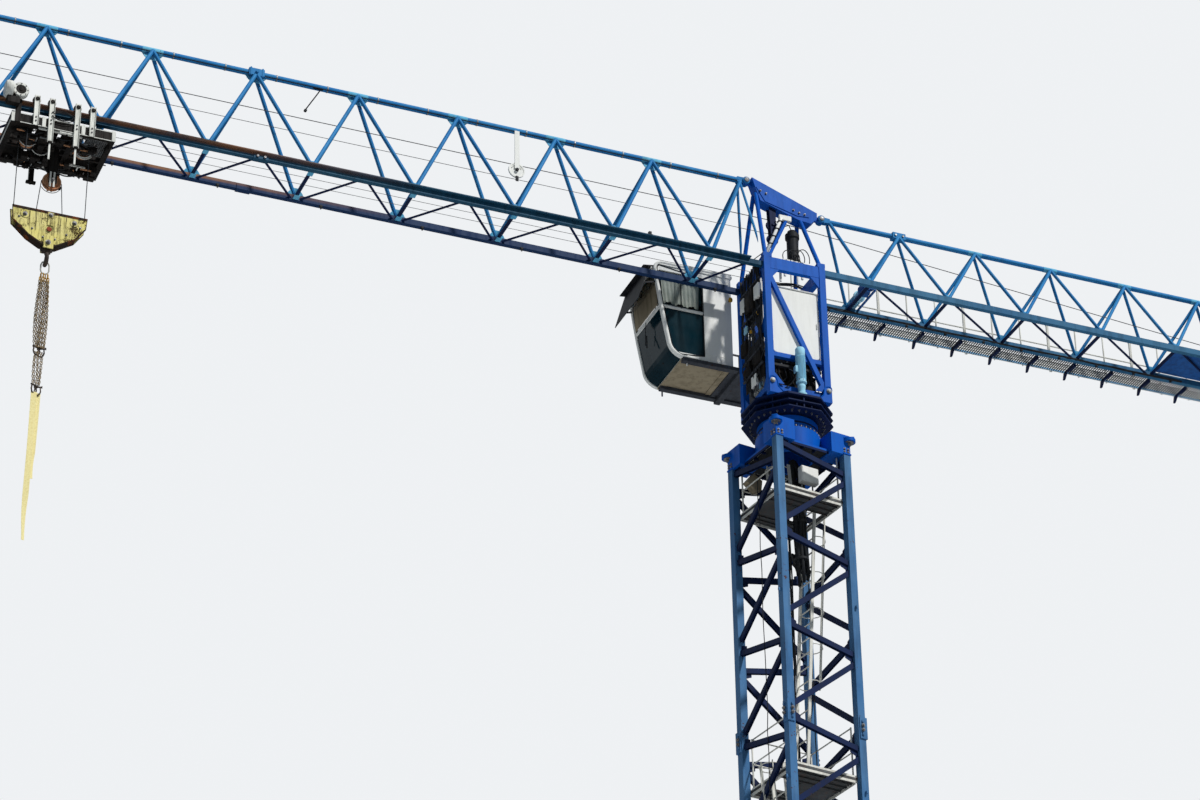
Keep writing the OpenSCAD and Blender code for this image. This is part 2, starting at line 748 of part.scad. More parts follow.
// Two side walls, a rear wall with the doorway, the belly plate and two strips round the windscreen
module cab_walls() color([0.92, 0.93, 0.93])
  difference() {
    union() {
      for (y = [cab_y, cab_y + cab_w - cab_t])
        cab_solid(0, y, y + cab_t);
      difference() {
        cab_solid(0, screen_y0, screen_y1);
        cab_solid(cab_t, screen_y0 - 1, screen_y1 + 1);
        block([-cab_rear - cab_t - seat, screen_y0 - 1, floor_z - 1],
          [-cab_rear - cab_t, screen_y1 + 1, floor_z + cab_h + 1]);
      }
    }
    side_panes(0, cab_y - 1, cab_y + cab_t + 1);
    side_panes(0, cab_y + cab_w - cab_t - 1, cab_y + cab_w + 1);
    front_panes(0, screen_y0 - 1, screen_y1 + 1);
    block([-cab_rear - cab_t - 1, door_y0, door_z0], [-cab_rear + 1, door_y1, door_z1]);
    block([-far, -far, roof_z], [far, far, far]);
  }

module cab_floor() color([0.55, 0.50, 0.42])
  block([-cab_rear - cab_l + 640, cab_y + cab_t + seat, floor_z + cab_t + seat],
    [-cab_rear - cab_t - 6, cab_y + cab_w - cab_t - seat, floor_z + cab_t + 26]);

module cab_roof() color([0.88, 0.89, 0.90])
  intersection() {
    union() {
      cab_solid(0, cab_y - 20, cab_y + cab_w + 20);
      block([-cab_rear - 200, cab_y - 20, roof_z], [-cab_rear + 25, cab_y + cab_w + 20, roof_z + 60]);
    }
    block([-far, -far, roof_z + seat], [far, far, far]);
  }

module cab_glazing() color([0.35, 0.55, 0.58, 0.5]) {
  side_panes(seat, cab_y + wall_in, cab_y + wall_in + glass_t);
  side_panes(seat, cab_y + cab_w - wall_in - glass_t, cab_y + cab_w - wall_in);
  difference() {
    intersection() {
      cab_solid(wall_in, screen_y0, screen_y1);
      front_panes(seat, screen_y0, screen_y1);
    }
    cab_solid(wall_in + glass_t, cab_y, cab_y + cab_w);
  }
}

module cab_door() color([0.88, 0.90, 0.90])
  block([-cab_rear - 42, door_y0 + seat, door_z0 + 4], [-cab_rear - 8, door_y1 - 4, door_z1 - 4]);

// Eave above the windscreen with a shade sheet that hangs from it on two arms
module cab_visor() color([0.08, 0.08, 0.10])
  difference() {
    mirror([1, 0, 0])
      union() {
        upright(cab_y + 20, cab_y + cab_w - 20, [
          [cab_rear + cab_l - 40, roof_z - 45], [cab_rear + cab_l + 200, roof_z - 75],
          [cab_rear + cab_l + 200, roof_z - 60], [cab_rear + cab_l - 40, roof_z - 20]
        ]);
        upright(cab_y + 20, cab_y + cab_w - 20, [
          [cab_rear + cab_l + 70, roof_z - 50], [cab_rear + cab_l + 300, roof_z - 830],
          [cab_rear + cab_l + 312, roof_z - 826], [cab_rear + cab_l + 86, roof_z - 50]
        ]);
        for (y = [cab_y + 20, cab_y + cab_w - 34])
          upright(y, y + 14, [
            [cab_rear + cab_l - 60, roof_z - 410], [cab_rear + cab_l + 205, roof_z - 480],
            [cab_rear + cab_l + 205, roof_z - 450], [cab_rear + cab_l - 60, roof_z - 370]
          ]);
      }
    cab_solid(-seat, cab_y - seat, cab_y + cab_w + seat);
    block([-far, -far, roof_z], [far, far, far]);
  }

// Steel brackets, floor grating and guard rail beside the cab
module cab_platform() color([0.20, 0.22, 0.26]) {
  z = floor_z - 130;
  difference() {
    union() {
      block([-cab_rear - cab_l + 560, cab_y - 60, z + 50], [column_x / 2 - 60, cab_y + 60, z + 130 - seat]);
      block([-cab_rear - cab_l + 560, cab_y + cab_w - 190, z + 50],
        [column_x / 2 - 60, cab_y + cab_w - 70, z + 130 - seat]);
      block([-column_x / 2 + 60, column_y / 2 + seat, z], [-column_x / 2 + 180, cab_y + cab_w - 70, z + 120]);
      block([column_x / 2 - 180, column_y / 2 + seat, z], [column_x / 2 - 60, cab_y + cab_w - 70, z + 120]);
      block([-cab_rear + 30, cab_y - 60, z + 90], [column_x / 2 - 60, cab_y + cab_w - 70, z + 130 - seat]);
      for (x = [-cab_rear + 60, 0, column_x / 2 - 80])
        block([x - 20, cab_y + cab_w - 110, z + 100], [x + 20, cab_y + cab_w - 70, z + 130 + rail_h]);
      for (h = [0.5, 1])
        block([-cab_rear + 60, cab_y + cab_w - 105, z + 100 + rail_h * h],
          [column_x / 2 - 80, cab_y + cab_w - 75, z + 130 + rail_h * h]);
    }
    cab_solid(-seat, cab_y - seat, cab_y + cab_w + seat);
  }
}

// Jib

module top_fork(x, z, reach, d) {
  for (s = [-1, 1])
    upright(s < 0 ? -lug_gap / 2 - 26 : lug_gap / 2, s < 0 ? -lug_gap / 2 : lug_gap / 2 + 26, [
      [x - sign(reach) * 60, z - 62], [x + reach, z - d / 2], [x + reach, z + d / 2], [x - sign(reach) * 60, z + 62]
    ]);
  pin_y(x, -lug_gap / 2 - 60, lug_gap / 2 + 60, z, pin_d);
}

module jib_top_chord() color([0.50, 0.70, 0.88])
  union() {
    bar([-jib_root - 150, 0, jib_top_z], [jib_node(jib_panels), 0, jib_top_z], top_d, 24);
    top_fork(-jib_root, jib_top_z, -190, top_d);
    for (k = [1:jib_panels - 1])
      block([jib_node(k) - 130, -22, jib_top_z - top_d / 2 - 34],
        [jib_node(k) + 130, 22, jib_top_z - top_d / 2 + 10]);
    block([jib_node(jib_joint) - 150, -80, jib_top_z - 74], [jib_node(jib_joint) + 150, 80, jib_top_z + 74]);
    pin_y(jib_node(jib_joint), -120, 120, jib_top_z, pin_d);
  }

// Section of one bottom chord, in y and z, with the ledge on its outside
module chord_section(s, z, grow) {
  y = s * jib_w / 2;
  union() {
    block([0, y - chord_w / 2 - grow, z - chord_h / 2 - grow],
      [far, y + chord_w / 2 + grow, z + chord_h / 2 + grow]);
    block([0, min(y, y + s * (chord_w / 2 + ledge_w)) - grow, z + chord_h / 2 - ledge_t - grow],
      [far, max(y, y + s * (chord_w / 2 + ledge_w)) + grow, z + chord_h / 2 + grow]);
  }
}

module jib_bottom_chords() color([0.44, 0.52, 0.58])
  difference() {
    for (s = [-1, 1])
      union() {
        intersection() {
          translate([-far - column_x / 2 - seat, 0, 0])
            chord_section(s, jib_z, 0);
          block([-jib_end, -far, 0], [0, far, far]);
        }
        block([jib_node(jib_joint) - 140, s * jib_w / 2 - chord_w / 2 - 12, jib_z - chord_h / 2 - 14],
          [jib_node(jib_joint) + 140, s * jib_w / 2 + chord_w / 2 + 12, jib_z + chord_h / 2 - ledge_t - 4]);
      }
    block([-column_x / 2 - 260, -far, jib_z + chord_h / 2 - ledge_t - 1], [0, far, far]);
  }

function side_top(k, s) = [jib_node(k) - (k == 0 ? 120 : 0), s * 46, jib_top_z - 20];
function side_foot(k, s) = [jib_node(k + 0.5) + (k == jib_panels ? 90 : 0), s * (jib_w / 2 - 6), jib_z + 30];

// One inclined side of the jib as V bracing; s is -1 for the near side and 1 for the far side
module jib_side(s)
  difference() {
    union() {
      for (k = [0:jib_panels]) {
        if (k > 0)
          bar(side_top(k, s), side_foot(k - 1, s), diag_d);
        bar(side_top(k, s), side_foot(k, s), diag_d);
      }
      bar([jib_node(-0.06), s * (jib_w / 2 - 6), jib_z + 60], [jib_node(0) - 150, s * 46, jib_top_z - 20], diag_d * 0.7);
    }
    block([-far, -s * 1 - (s < 0 ? 0 : far), 0], [far, -s * 1 + (s < 0 ? far : 0), far]);
    bar([far, 0, jib_top_z], [-far, 0, jib_top_z], top_d + 2 * seat, 24);
    translate([-far / 2, 0, 0])
      chord_section(s, jib_z, seat);
    for (k = [1:jib_panels - 1])
      block([jib_node(k) - 131, -22 - seat, jib_top_z - top_d / 2 - 34 - seat],
        [jib_node(k) + 131, 22 + seat, jib_top_z]);
    block([jib_node(jib_joint) - 151, -81, jib_top_z - 75], [jib_node(jib_joint) + 151, 81, jib_top_z + 75]);
    pin_y(jib_node(jib_joint), -121, 121, jib_top_z, pin_d + 2 * seat);
    block([-jib_root - 200, -90, jib_top_z - 70], [0, 90, jib_top_z + 70]);
    block([-column_x / 2 - seat, -far, 0], [far, far, far]);
  }

module jib_lattice_near() color([0.52, 0.74, 0.92])
  jib_side(-1);

module jib_lattice_far() color([0.52, 0.74, 0.92])
  jib_side(1);

// Cross struts and thin bracing between the bottom chords
module jib_floor_lattice() color([0.30, 0.42, 0.58])
  difference() {
    union() {
      for (k = [0:jib_panels]) {
        x = floor_strut_x(k);
        bar([x, -jib_w / 2, jib_z], [x, jib_w / 2, jib_z], diag_d * 0.95);
        if (k < jib_panels)
          for (d = [0, 1])
            bar([jib_node(k + 1) + (d == 0 ? floor_d : -floor_d), -jib_w / 2, jib_z - 14],
              [floor_strut_x(k + d) + (d == 0 ? -70 : 70), jib_w / 2, jib_z - 14], floor_d, 6);
      }
      bar([jib_node(0.12), -jib_w / 2, jib_z - 14], [floor_strut_x(0) + 70, jib_w / 2, jib_z - 14], floor_d, 6);
    }
    for (s = [-1, 1])
      translate([-far / 2, 0, 0])
        chord_section(s, jib_z, seat);
    for (s = [-1, 1])
      block([jib_node(jib_joint) - 141, s * jib_w / 2 - chord_w / 2 - 13, 0],
        [jib_node(jib_joint) + 141, s * jib_w / 2 + chord_w / 2 + 13, far]);
  }

function floor_strut_x(k) = jib_node(k + 0.5) + (k == jib_panels ? 60 : 0);

tip_foot = [-jib_end - 40, jib_z + 60];
tip_head = [jib_node(jib_panels) - 60, jib_top_z - 20];
tip_sheave_d = 300;
return_sheave_d = 180;

// Where the sloping posts of the tip stand at height z
function tip_x(z) = tip_foot[0] + (tip_head[0] - tip_foot[0]) * (z - tip_foot[1]) / (tip_head[1] - tip_foot[1]);

// Cross beam on the ends of the bottom chords, with sloping posts that carry the rope sheaves
module jib_tip() color([0.48, 0.68, 0.86]) {
  difference() {
    union() {
      block([-jib_end - 60, -jib_w / 2 - chord_w / 2, jib_z - 90],
        [-jib_end - seat, jib_w / 2 + chord_w / 2, jib_z + 90]);
      for (s = [-1, 1])
        bar([tip_foot[0], s * 50, tip_foot[1]], [tip_head[0], s * 50, tip_head[1]], 56);
    }
    bar([far, 0, jib_top_z], [jib_node(jib_panels) - seat, 0, jib_top_z], top_d + 2 * seat, 24);
    block([jib_node(jib_panels), -far, jib_top_z - 400], [far, far, far]);
    for (s = [-1, 1])
      bar(side_top(jib_panels, s), side_foot(jib_panels, s), diag_d + 2 * seat);
  }
  for (sheave = [[hoist_rope_z, tip_sheave_d], [return_rope_z, return_sheave_d]]) {
    z = sheave[0] - rope_gap - sheave[1] / 2;
    pin_y(tip_x(z), -18, 18, z, sheave[1]);
    pin_y(tip_x(z), -44, 44, z, 50);
  }
}

// Taut ropes that run the length of the jib
module jib_ropes() color([0.15, 0.18, 0.24]) {
  bar([head_sheave[0], 0, hoist_rope_z], [tip_x(hoist_rope_z - tip_sheave_d / 2), 0, hoist_rope_z], rope_d, 8);
  bar([head_sheave[0], 0, return_rope_z], [tip_x(return_rope_z - return_sheave_d / 2), 0, return_rope_z],
    rope_d * 0.7, 8);
  bar([head_sheave[0] + 30, 0, hoist_rope_z], [winch_x, 0, drum_z + drum_d / 2 + rope_gap], rope_d, 8);
  for (y = [-120, 120])
    bar([-column_x / 2 - 20, y, trolley_rope_z], [-jib_end, y, trolley_rope_z], rope_d * 0.6, 8);
}

guide_at = [2.4, 4.45, 7.5, 10.5];
guide_d = 330;
guide_out = 60;
guide_over = 20;
strip_below = 200;
strip_w = 50;
strip_t = 12;

// Hanging strips with a guide sheave at the foot, hung from the top chord
module rope_guides() color([0.86, 0.88, 0.90])
  for (k = guide_at) {
    x = jib_node(k);
    difference() {
      block([x - strip_w / 2, -guide_out, hoist_rope_z - strip_below],
        [x + strip_w / 2, strip_t - guide_out, jib_top_z]);
      bar([far, 0, jib_top_z], [-far, 0, jib_top_z], top_d + 2 * seat, 24);
    }
    pin_y(x, strip_t + 1 - guide_out, -rope_d, hoist_rope_z - guide_d / 2 + guide_over, guide_d);
    pin_y(x, -10 - guide_out, -10, hoist_rope_z - guide_d / 2 + guide_over, guide_d * 0.135);
  }

// Counter-jib

module counter_jib_top_chord() color([0.50, 0.70, 0.88])
  union() {
    bar([cj_root + 150, 0, cj_top_z], [cj_node(cj_panels - 1) + 60, 0, cj_top_z], cj_top_d, 24);
    top_fork(cj_root, cj_top_z, 190, cj_top_d);
    block([cj_node(1) - 140, -72, cj_top_z - 66], [cj_node(1) + 140, 72, cj_top_z + 66]);
  }

module counter_jib_bottom_chords() color([0.50, 0.68, 0.84])
  for (s = [-1, 1])
    block([column_x / 2 + seat, s * jib_w / 2 - chord_w / 2, cj_z - chord_h / 2],
      [cj_end, s * jib_w / 2 + chord_w / 2, cj_z + chord_h / 2]);

// One inclined side of the counter-jib
module cj_side(s)
  difference() {
    union() {
      for (k = [0:cj_panels - 1]) {
        top = [cj_node(k), s * 42, cj_top_z - 18];
        if (k > 0)
          bar(top, [cj_node(k - 0.5) - 100, s * (jib_w / 2 - 6), cj_z + 30], diag_d * 0.9);
        bar(top + [k == 0 ? 160 : 0, 0, 0], [cj_node(k + 0.5) - 100, s * (jib_w / 2 - 6), cj_z + 30],
          diag_d * 0.9);
      }
    }
    block([-far, -s * 1 - (s < 0 ? 0 : far), 0], [far, -s * 1 + (s < 0 ? far : 0), far]);
    bar([-far, 0, cj_top_z], [far, 0, cj_top_z], cj_top_d + 2 * seat, 24);
    block([-far, s * jib_w / 2 - chord_w / 2 - seat, cj_z - chord_h / 2 - seat],
      [far, s * jib_w / 2 + chord_w / 2 + seat, cj_z + chord_h / 2 + seat]);
    block([cj_node(1) - 141, -73, cj_top_z - 67], [cj_node(1) + 141, 73, cj_top_z + 67]);
    block([0, -90, cj_top_z - 64], [cj_root + 200, 90, cj_top_z + 64]);
  }

module counter_jib_lattice_near() color([0.52, 0.74, 0.92])
  cj_side(-1);

module counter_jib_lattice_far() color([0.52, 0.74, 0.92])
  cj_side(1);

function cj_strut_x(k) = k == cj_panels ? cj_end - 45 : cj_node(k + 0.5) - 100;

module counter_jib_floor() color([0.34, 0.48, 0.64])
  difference() {
    union()
      for (k = [0:cj_panels]) {
        x = cj_strut_x(k);
        bar([x, -jib_w / 2, cj_z], [x, jib_w / 2, cj_z], diag_d * 0.9);
        if (k < cj_panels - 1)
          bar([x + 60, -jib_w / 2, cj_z - 12], [cj_strut_x(k + 1) - 60, jib_w / 2, cj_z - 12], floor_d, 6);
      }
    for (s = [-1, 1])
      block([-far, s * jib_w / 2 - chord_w / 2 - seat, cj_z - far], [far, s * jib_w / 2 + chord_w / 2 + seat, far]);
  }

walk_y0 = jib_w / 2 + chord_w / 2 + seat;
walk_short = 1500;
walk_end = cj_node(cj_panels) - walk_short;
post_pitch = cj_pitch * 0.375;

// Grating outside the far chord with its toe board
module walkway() color([0.62, 0.74, 0.82]) {
  block([column_x / 2 + 40, walk_y0, cj_z - 50], [walk_end, walk_y0 + walk_w, cj_z - 10]);
  block([column_x / 2 + 40, walk_y0 + walk_w + seat, cj_z - 60], [walk_end, walk_y0 + walk_w + 14, cj_z + 140]);
}

module handrails() color([0.90, 0.92, 0.94]) {
  y = walk_y0 + walk_w + 14 + seat + rail_d / 2;
  union() {
    for (x = [column_x / 2 + 80:post_pitch:walk_end - 20])
      block([x - rail_d / 2, y - rail_d / 2, cj_z - 60], [x + rail_d / 2, y + rail_d / 2, cj_z + rail_h]);
    for (h = [0.5, 1])
      block([column_x / 2 + 60, y - rail_d / 2, cj_z + rail_h * h - rail_d / 2],
        [walk_end - 20, y + rail_d / 2, cj_z + rail_h * h + rail_d / 2]);
  }
}

winch_x = cj_node(cj_panels - 1.9);
drum_d = 460;
winch_bed = cj_z + diag_d * 0.45 + seat;
drum_z = winch_bed + 320;

// Rope drum on a bed that lies on the cross struts
module hoist_winch() color([0.20, 0.34, 0.56]) {
  bed = winch_bed;
  block([winch_x - cj_pitch * 0.62, -430, bed], [winch_x + cj_pitch * 0.62, 430, bed + 60]);
  for (s = [-1, 1])
    upright(s * 290 - 15, s * 290 + 15, [
      [winch_x - 260, bed + 30], [winch_x + 260, bed + 30], [winch_x + 110, bed + 420], [winch_x - 110, bed + 420]
    ]);
  pin_y(winch_x, -276, 276, drum_z, drum_d);
  pin_y(winch_x, -330, 330, drum_z, 120);
  block([winch_x - 700, -150, bed + 30], [winch_x - 380, 150, bed + 330]);
}

slab_x0 = cj_end - slab_count * (slab_t + 12) - 80;

// Concrete slabs hung between the chords at the counter-jib's end
module ballast_slabs() color([0.62, 0.61, 0.58])
  for (i = [0:slab_count - 1]) {
    x = slab_x0 + i * (slab_t + 12);
    hang = jib_w / 2 - chord_w / 2 - 30;
    union() {
      block([x, -hang, cj_z - slab_h + 300], [x + slab_t, hang, cj_z + chord_h / 2 + seat]);
      block([x, -jib_w / 2 - chord_w / 2 - 30, cj_z + chord_h / 2 + seat],
        [x + slab_t, jib_w / 2 + chord_w / 2 + 30, cj_z + chord_h / 2 + 200]);
    }
  }

// Trolley

module trolley_at()
  translate([-trolley_x, 0, 0])
    children();

// Frame below the chords, with plates outside that carry the rollers
module trolley_frame() color([0.72, 0.74, 0.74])
  trolley_at() {
    plate_y = roller_y + roller_w / 2 + 14;
    beam_top = frame_top - 100;
    union() {
      for (s = [-1, 1]) {
        for (i = [0:3])
          block([roller_at[i] * trolley_l - 45, min(s * plate_y, s * (plate_y + bracket_t)),
              i == 0 || i == 3 ? frame_bottom : frame_bottom - 340],
            [roller_at[i] * trolley_l + 45, max(s * plate_y, s * (plate_y + bracket_t)), roller_z + 70]);
        block([-trolley_l / 2, min(s * plate_y, s * (plate_y - 120)), frame_bottom],
          [trolley_l / 2, max(s * plate_y, s * (plate_y - 120)), beam_top]);
        block([-trolley_l / 2, s * girder_y - 20, frame_bottom], [trolley_l / 2, s * girder_y + 20, beam_top]);
        block([-70, s * (girder_y - 20) - 12, head_sheave_z - 60], [70, s * (girder_y - 20) + 12, beam_top]);
      }
      for (x = [-trolley_l / 2 + 50, roller_at[1] * trolley_l, roller_at[2] * trolley_l, trolley_l / 2 - 50])
        block([x - 50, -plate_y, frame_bottom], [x + 50, plate_y, beam_top]);
      block([-trolley_l / 2 + 60, -plate_y - bracket_t, frame_bottom],
        [-trolley_l / 2 + 160, -plate_y, roller_z + 60]);
      pin_y(-trolley_l / 2 + 110, -plate_y - 120, -plate_y - 4, roller_z + 60, 290);
    }
  }

module trolley_rollers() color([0.30, 0.28, 0.27])
  trolley_at()
    for (s = [-1, 1])
      for (a = roller_at) {
        pin_y(a * trolley_l, s * roller_y - roller_w / 2, s * roller_y + roller_w / 2, roller_z, roller_d);
        pin_y(a * trolley_l, s > 0 ? roller_y + roller_w / 2 : -roller_y - roller_w / 2 - 14 + seat,
          s > 0 ? roller_y + roller_w / 2 + 14 - seat : -roller_y - roller_w / 2, roller_z, 50);
      }

// Rope sheaves of the trolley: one near each end and the low middle one
module trolley_sheaves() color([0.80, 0.78, 0.74])
  trolley_at() {
    for (a = [-1, 1]) {
      pin_y(a * end_sheave_x, -24, 24, end_sheave_z, end_sheave_d);
      pin_y(a * end_sheave_x, -girder_y + 20 + seat, girder_y - 20 - seat, end_sheave_z, 50);
    }
    pin_y(0, -30, 30, head_sheave_z, head_sheave_d);
    pin_y(0, -girder_y + 32 + seat, girder_y - 32 - seat, head_sheave_z, 70);
  }

// One rope fall at each outer side of the block's sheaves, up to the trolley's end sheaves
module hoist_falls_outer() color([0.35, 0.37, 0.40])
  trolley_at()
    for (a = [-1, 1])
      bar([a * outer_fall_x, 0, block_sheave_z], [a * outer_fall_x, 0, end_sheave_z], rope_d, 8);

// One rope fall at each inner side of the block's sheaves, up to the trolley's middle sheave
module hoist_falls_inner() color([0.35, 0.37, 0.40])
  trolley_at()
    for (a = [-1, 1])
      bar([a * inner_fall_x, 0, block_sheave_z], [a * (head_sheave_d / 2 + rope_gap), 0, head_sheave_z],
        rope_d, 8);

// Hook block

block_outline = [
  for (p = [[-0.5, 0], [0.5, 0], [0.485, 0.33], [0.36, 0.69], [0.114, 1], [-0.093, 1], [-0.272, 0.8],
      [-0.478, 0.43]])
    [block_l * p[0], hook_top - block_h * p[1]]
];
block_gap = 130;

module hook_block_plates() color([0.80, 0.74, 0.30])
  trolley_at() {
    for (s = [-1, 1])
      upright(s * block_gap / 2 + min(0, s * 24), s * block_gap / 2 + max(0, s * 24), block_outline);
    block([-70, -block_gap / 2, hook_bottom + 20], [70, block_gap / 2, hook_bottom + 160]);
  }

module hook_block_sheaves() color([0.35, 0.33, 0.32])
  trolley_at()
    for (a = [-1, 1]) {
      pin_y(a * sheave_at, -22, 22, block_sheave_z, sheave_d);
      pin_y(a * sheave_at, -block_gap / 2 + seat, block_gap / 2 - seat, block_sheave_z, 60);
    }

hook_z = hook_bottom - 260;
hook_r = 75;
link_bar = 30;
hook_t = 40;
link_l = 290;
link_w = 180;
link_in = link_w / 2 - link_bar;
link_drop = link_in - sqrt(link_in * link_in - hook_t * hook_t / 4);
link_top = hook_z + 10 - sqrt(hook_r * hook_r - link_bar * link_bar / 4) + seat + link_drop + link_bar;
chain_top = link_top - link_l;
chain_mid = chain_top - chain_l * 0.64;
chain_t = 52;
strand_out = 125;
strand_low = 95;
strap_w = 110;
strap_t = 20;

// Shank and open hook below the block
module load_hook() color([0.25, 0.24, 0.25])
  trolley_at() {
    translate([0, 0, hook_bottom - 150])
      cylinder(d = 70, h = 150 + 20 - seat, $fn = 24);
    rotate([0, 0, 90])
      difference() {
        pin_y(0, -hook_t / 2, hook_t / 2, hook_z, 290);
        pin_y(0, -40, 40, hook_z + 10, 2 * hook_r);
        block([60, -60, hook_z - 30], [200, 60, hook_z + 110]);
      }
  }

// An oval ring in the XZ plane, hanging from z_top
module oval_ring(z_top, length, width, thick)
  difference() {
    union() {
      for (z = [z_top - width / 2, z_top - length + width / 2])
        pin_y(0, -thick / 2, thick / 2, z, width);
      block([-width / 2, -thick / 2, z_top - length + width / 2], [width / 2, thick / 2, z_top - width / 2]);
    }
    for (z = [z_top - width / 2, z_top - length + width / 2])
      pin_y(0, -thick, thick, z, width - 2 * thick);
    block([thick - width / 2, -thick, z_top - length + width / 2],
      [width / 2 - thick, thick, z_top - width / 2]);
  }

// Oval ring in the hook, and the strands of chain below it
module sling_chains() color([0.36, 0.33, 0.27])
  trolley_at()
    union() {
      oval_ring(link_top, link_l, link_w, link_bar);
      block([-80, -chain_t / 2, chain_top - 120], [80, chain_t / 2, chain_top + link_bar / 2]);
      block([-strand_out, -chain_t / 2, chain_mid - 70], [strand_out, chain_t / 2, chain_mid + 70]);
      for (s = [-1, 1]) {
        block([min(s * 14, s * strand_out), -chain_t / 2, chain_mid],
          [max(s * 14, s * strand_out), chain_t / 2, chain_top - 80]);
        block([min(s * 10, s * strand_low), -chain_t / 2, chain_top - chain_l],
          [max(s * 10, s * strand_low), chain_t / 2, chain_mid]);
      }
    }

module webbing_slings() color([0.78, 0.66, 0.28])
  trolley_at()
    for (w = [[-20, -14, 1], [25, 14, 0.58]])
      block([w[0] - strap_w / 2, w[1] - strap_t / 2, chain_top - chain_l - webbing_l * w[2]],
        [w[0] + strap_w / 2, w[1] + strap_t / 2, chain_top - chain_l - seat]);

base_cross();
mast_legs();
mast_fish_plates();
mast_bracing_front();
mast_bracing_left();
mast_bracing_right();
mast_bracing_rear();
mast_ladders();
mast_landings();
ring_support();
slewing_ring();
slewing_deck();
slewing_motors();
column_frame();
column_feet();
column_ladder();
switch_cabinet();
head_beam();
head_sheaves();
head_struts();
cab_walls();
cab_floor();
cab_roof();
cab_glazing();
cab_door();
cab_visor();
cab_platform();
jib_top_chord();
jib_bottom_chords();
jib_lattice_near();
jib_lattice_far();
jib_floor_lattice();
jib_tip();
jib_ropes();
rope_guides();
counter_jib_top_chord();
counter_jib_bottom_chords();
counter_jib_lattice_near();
counter_jib_lattice_far();
counter_jib_floor();
walkway();
handrails();
hoist_winch();
ballast_slabs();
trolley_frame();
trolley_rollers();
trolley_sheaves();
hoist_falls_outer();
hoist_falls_inner();
hook_block_plates();
hook_block_sheaves();
load_hook();
sling_chains();
webbing_slings();
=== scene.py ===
"""Visual model of a flat-top tower crane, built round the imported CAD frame. Metres, +Z up, jib along -X."""
import logging
import math
import random
from dataclasses import dataclass, field
from enum import Enum
from typing import Callable, Iterable, Sequence

import bpy
from mathutils import Matrix, Vector


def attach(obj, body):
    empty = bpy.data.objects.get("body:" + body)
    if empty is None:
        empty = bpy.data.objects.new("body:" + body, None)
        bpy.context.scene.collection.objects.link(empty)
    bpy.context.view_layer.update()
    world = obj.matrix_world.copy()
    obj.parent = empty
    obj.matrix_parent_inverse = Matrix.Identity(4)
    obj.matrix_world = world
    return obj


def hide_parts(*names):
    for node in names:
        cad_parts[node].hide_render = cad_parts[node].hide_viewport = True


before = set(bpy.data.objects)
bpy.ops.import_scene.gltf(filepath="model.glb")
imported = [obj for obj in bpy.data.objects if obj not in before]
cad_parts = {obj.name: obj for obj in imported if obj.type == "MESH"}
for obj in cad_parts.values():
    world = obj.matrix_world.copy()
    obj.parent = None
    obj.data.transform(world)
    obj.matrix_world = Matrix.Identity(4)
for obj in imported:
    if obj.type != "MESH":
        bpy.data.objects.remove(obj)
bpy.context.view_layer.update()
LOG = logging.getLogger("tower_crane")
Point = Sequence[float]
TURN = 2 * math.pi
QUARTERS = [Matrix.Rotation(math.pi / 2 * side, 4, "Z") for side in range(4)]
# Angle in degrees from the jib to the mast's sides
MAST_TURN = 8.8
# Place of the trolley, the block and the hook along X at rest
HOOK_X = -14.37


class Body(Enum):
    """The moving bodies of the frame."""

    MAST = "mast"
    UPPER = "upperworks"
    TROLLEY = "trolley"
    BLOCK = "hook_block"
    HOOK = "hook"


class Axis(Enum):
    """A direction along which a piece is turned or extruded."""

    X = (1.0, 0.0, 0.0)
    Y = (0.0, 1.0, 0.0)
    Z = (0.0, 0.0, 1.0)


def srgb(red: int, green: int, blue: int) -> tuple[float, float, float]:
    """Turns display values from 0 to 255 into the linear colour that a shader takes.

    Args:
        red: Red on a display.
        green: Green on a display.
        blue: Blue on a display.

    Returns:
        The linear colour.
    """
    def linear(value: int) -> float:
        """Turns one display value into its linear value."""
        share = value / 255
        return share / 12.92 if share <= 0.04045 else ((share + 0.055) / 1.055) ** 2.4
    return linear(red), linear(green), linear(blue)


# Finishes


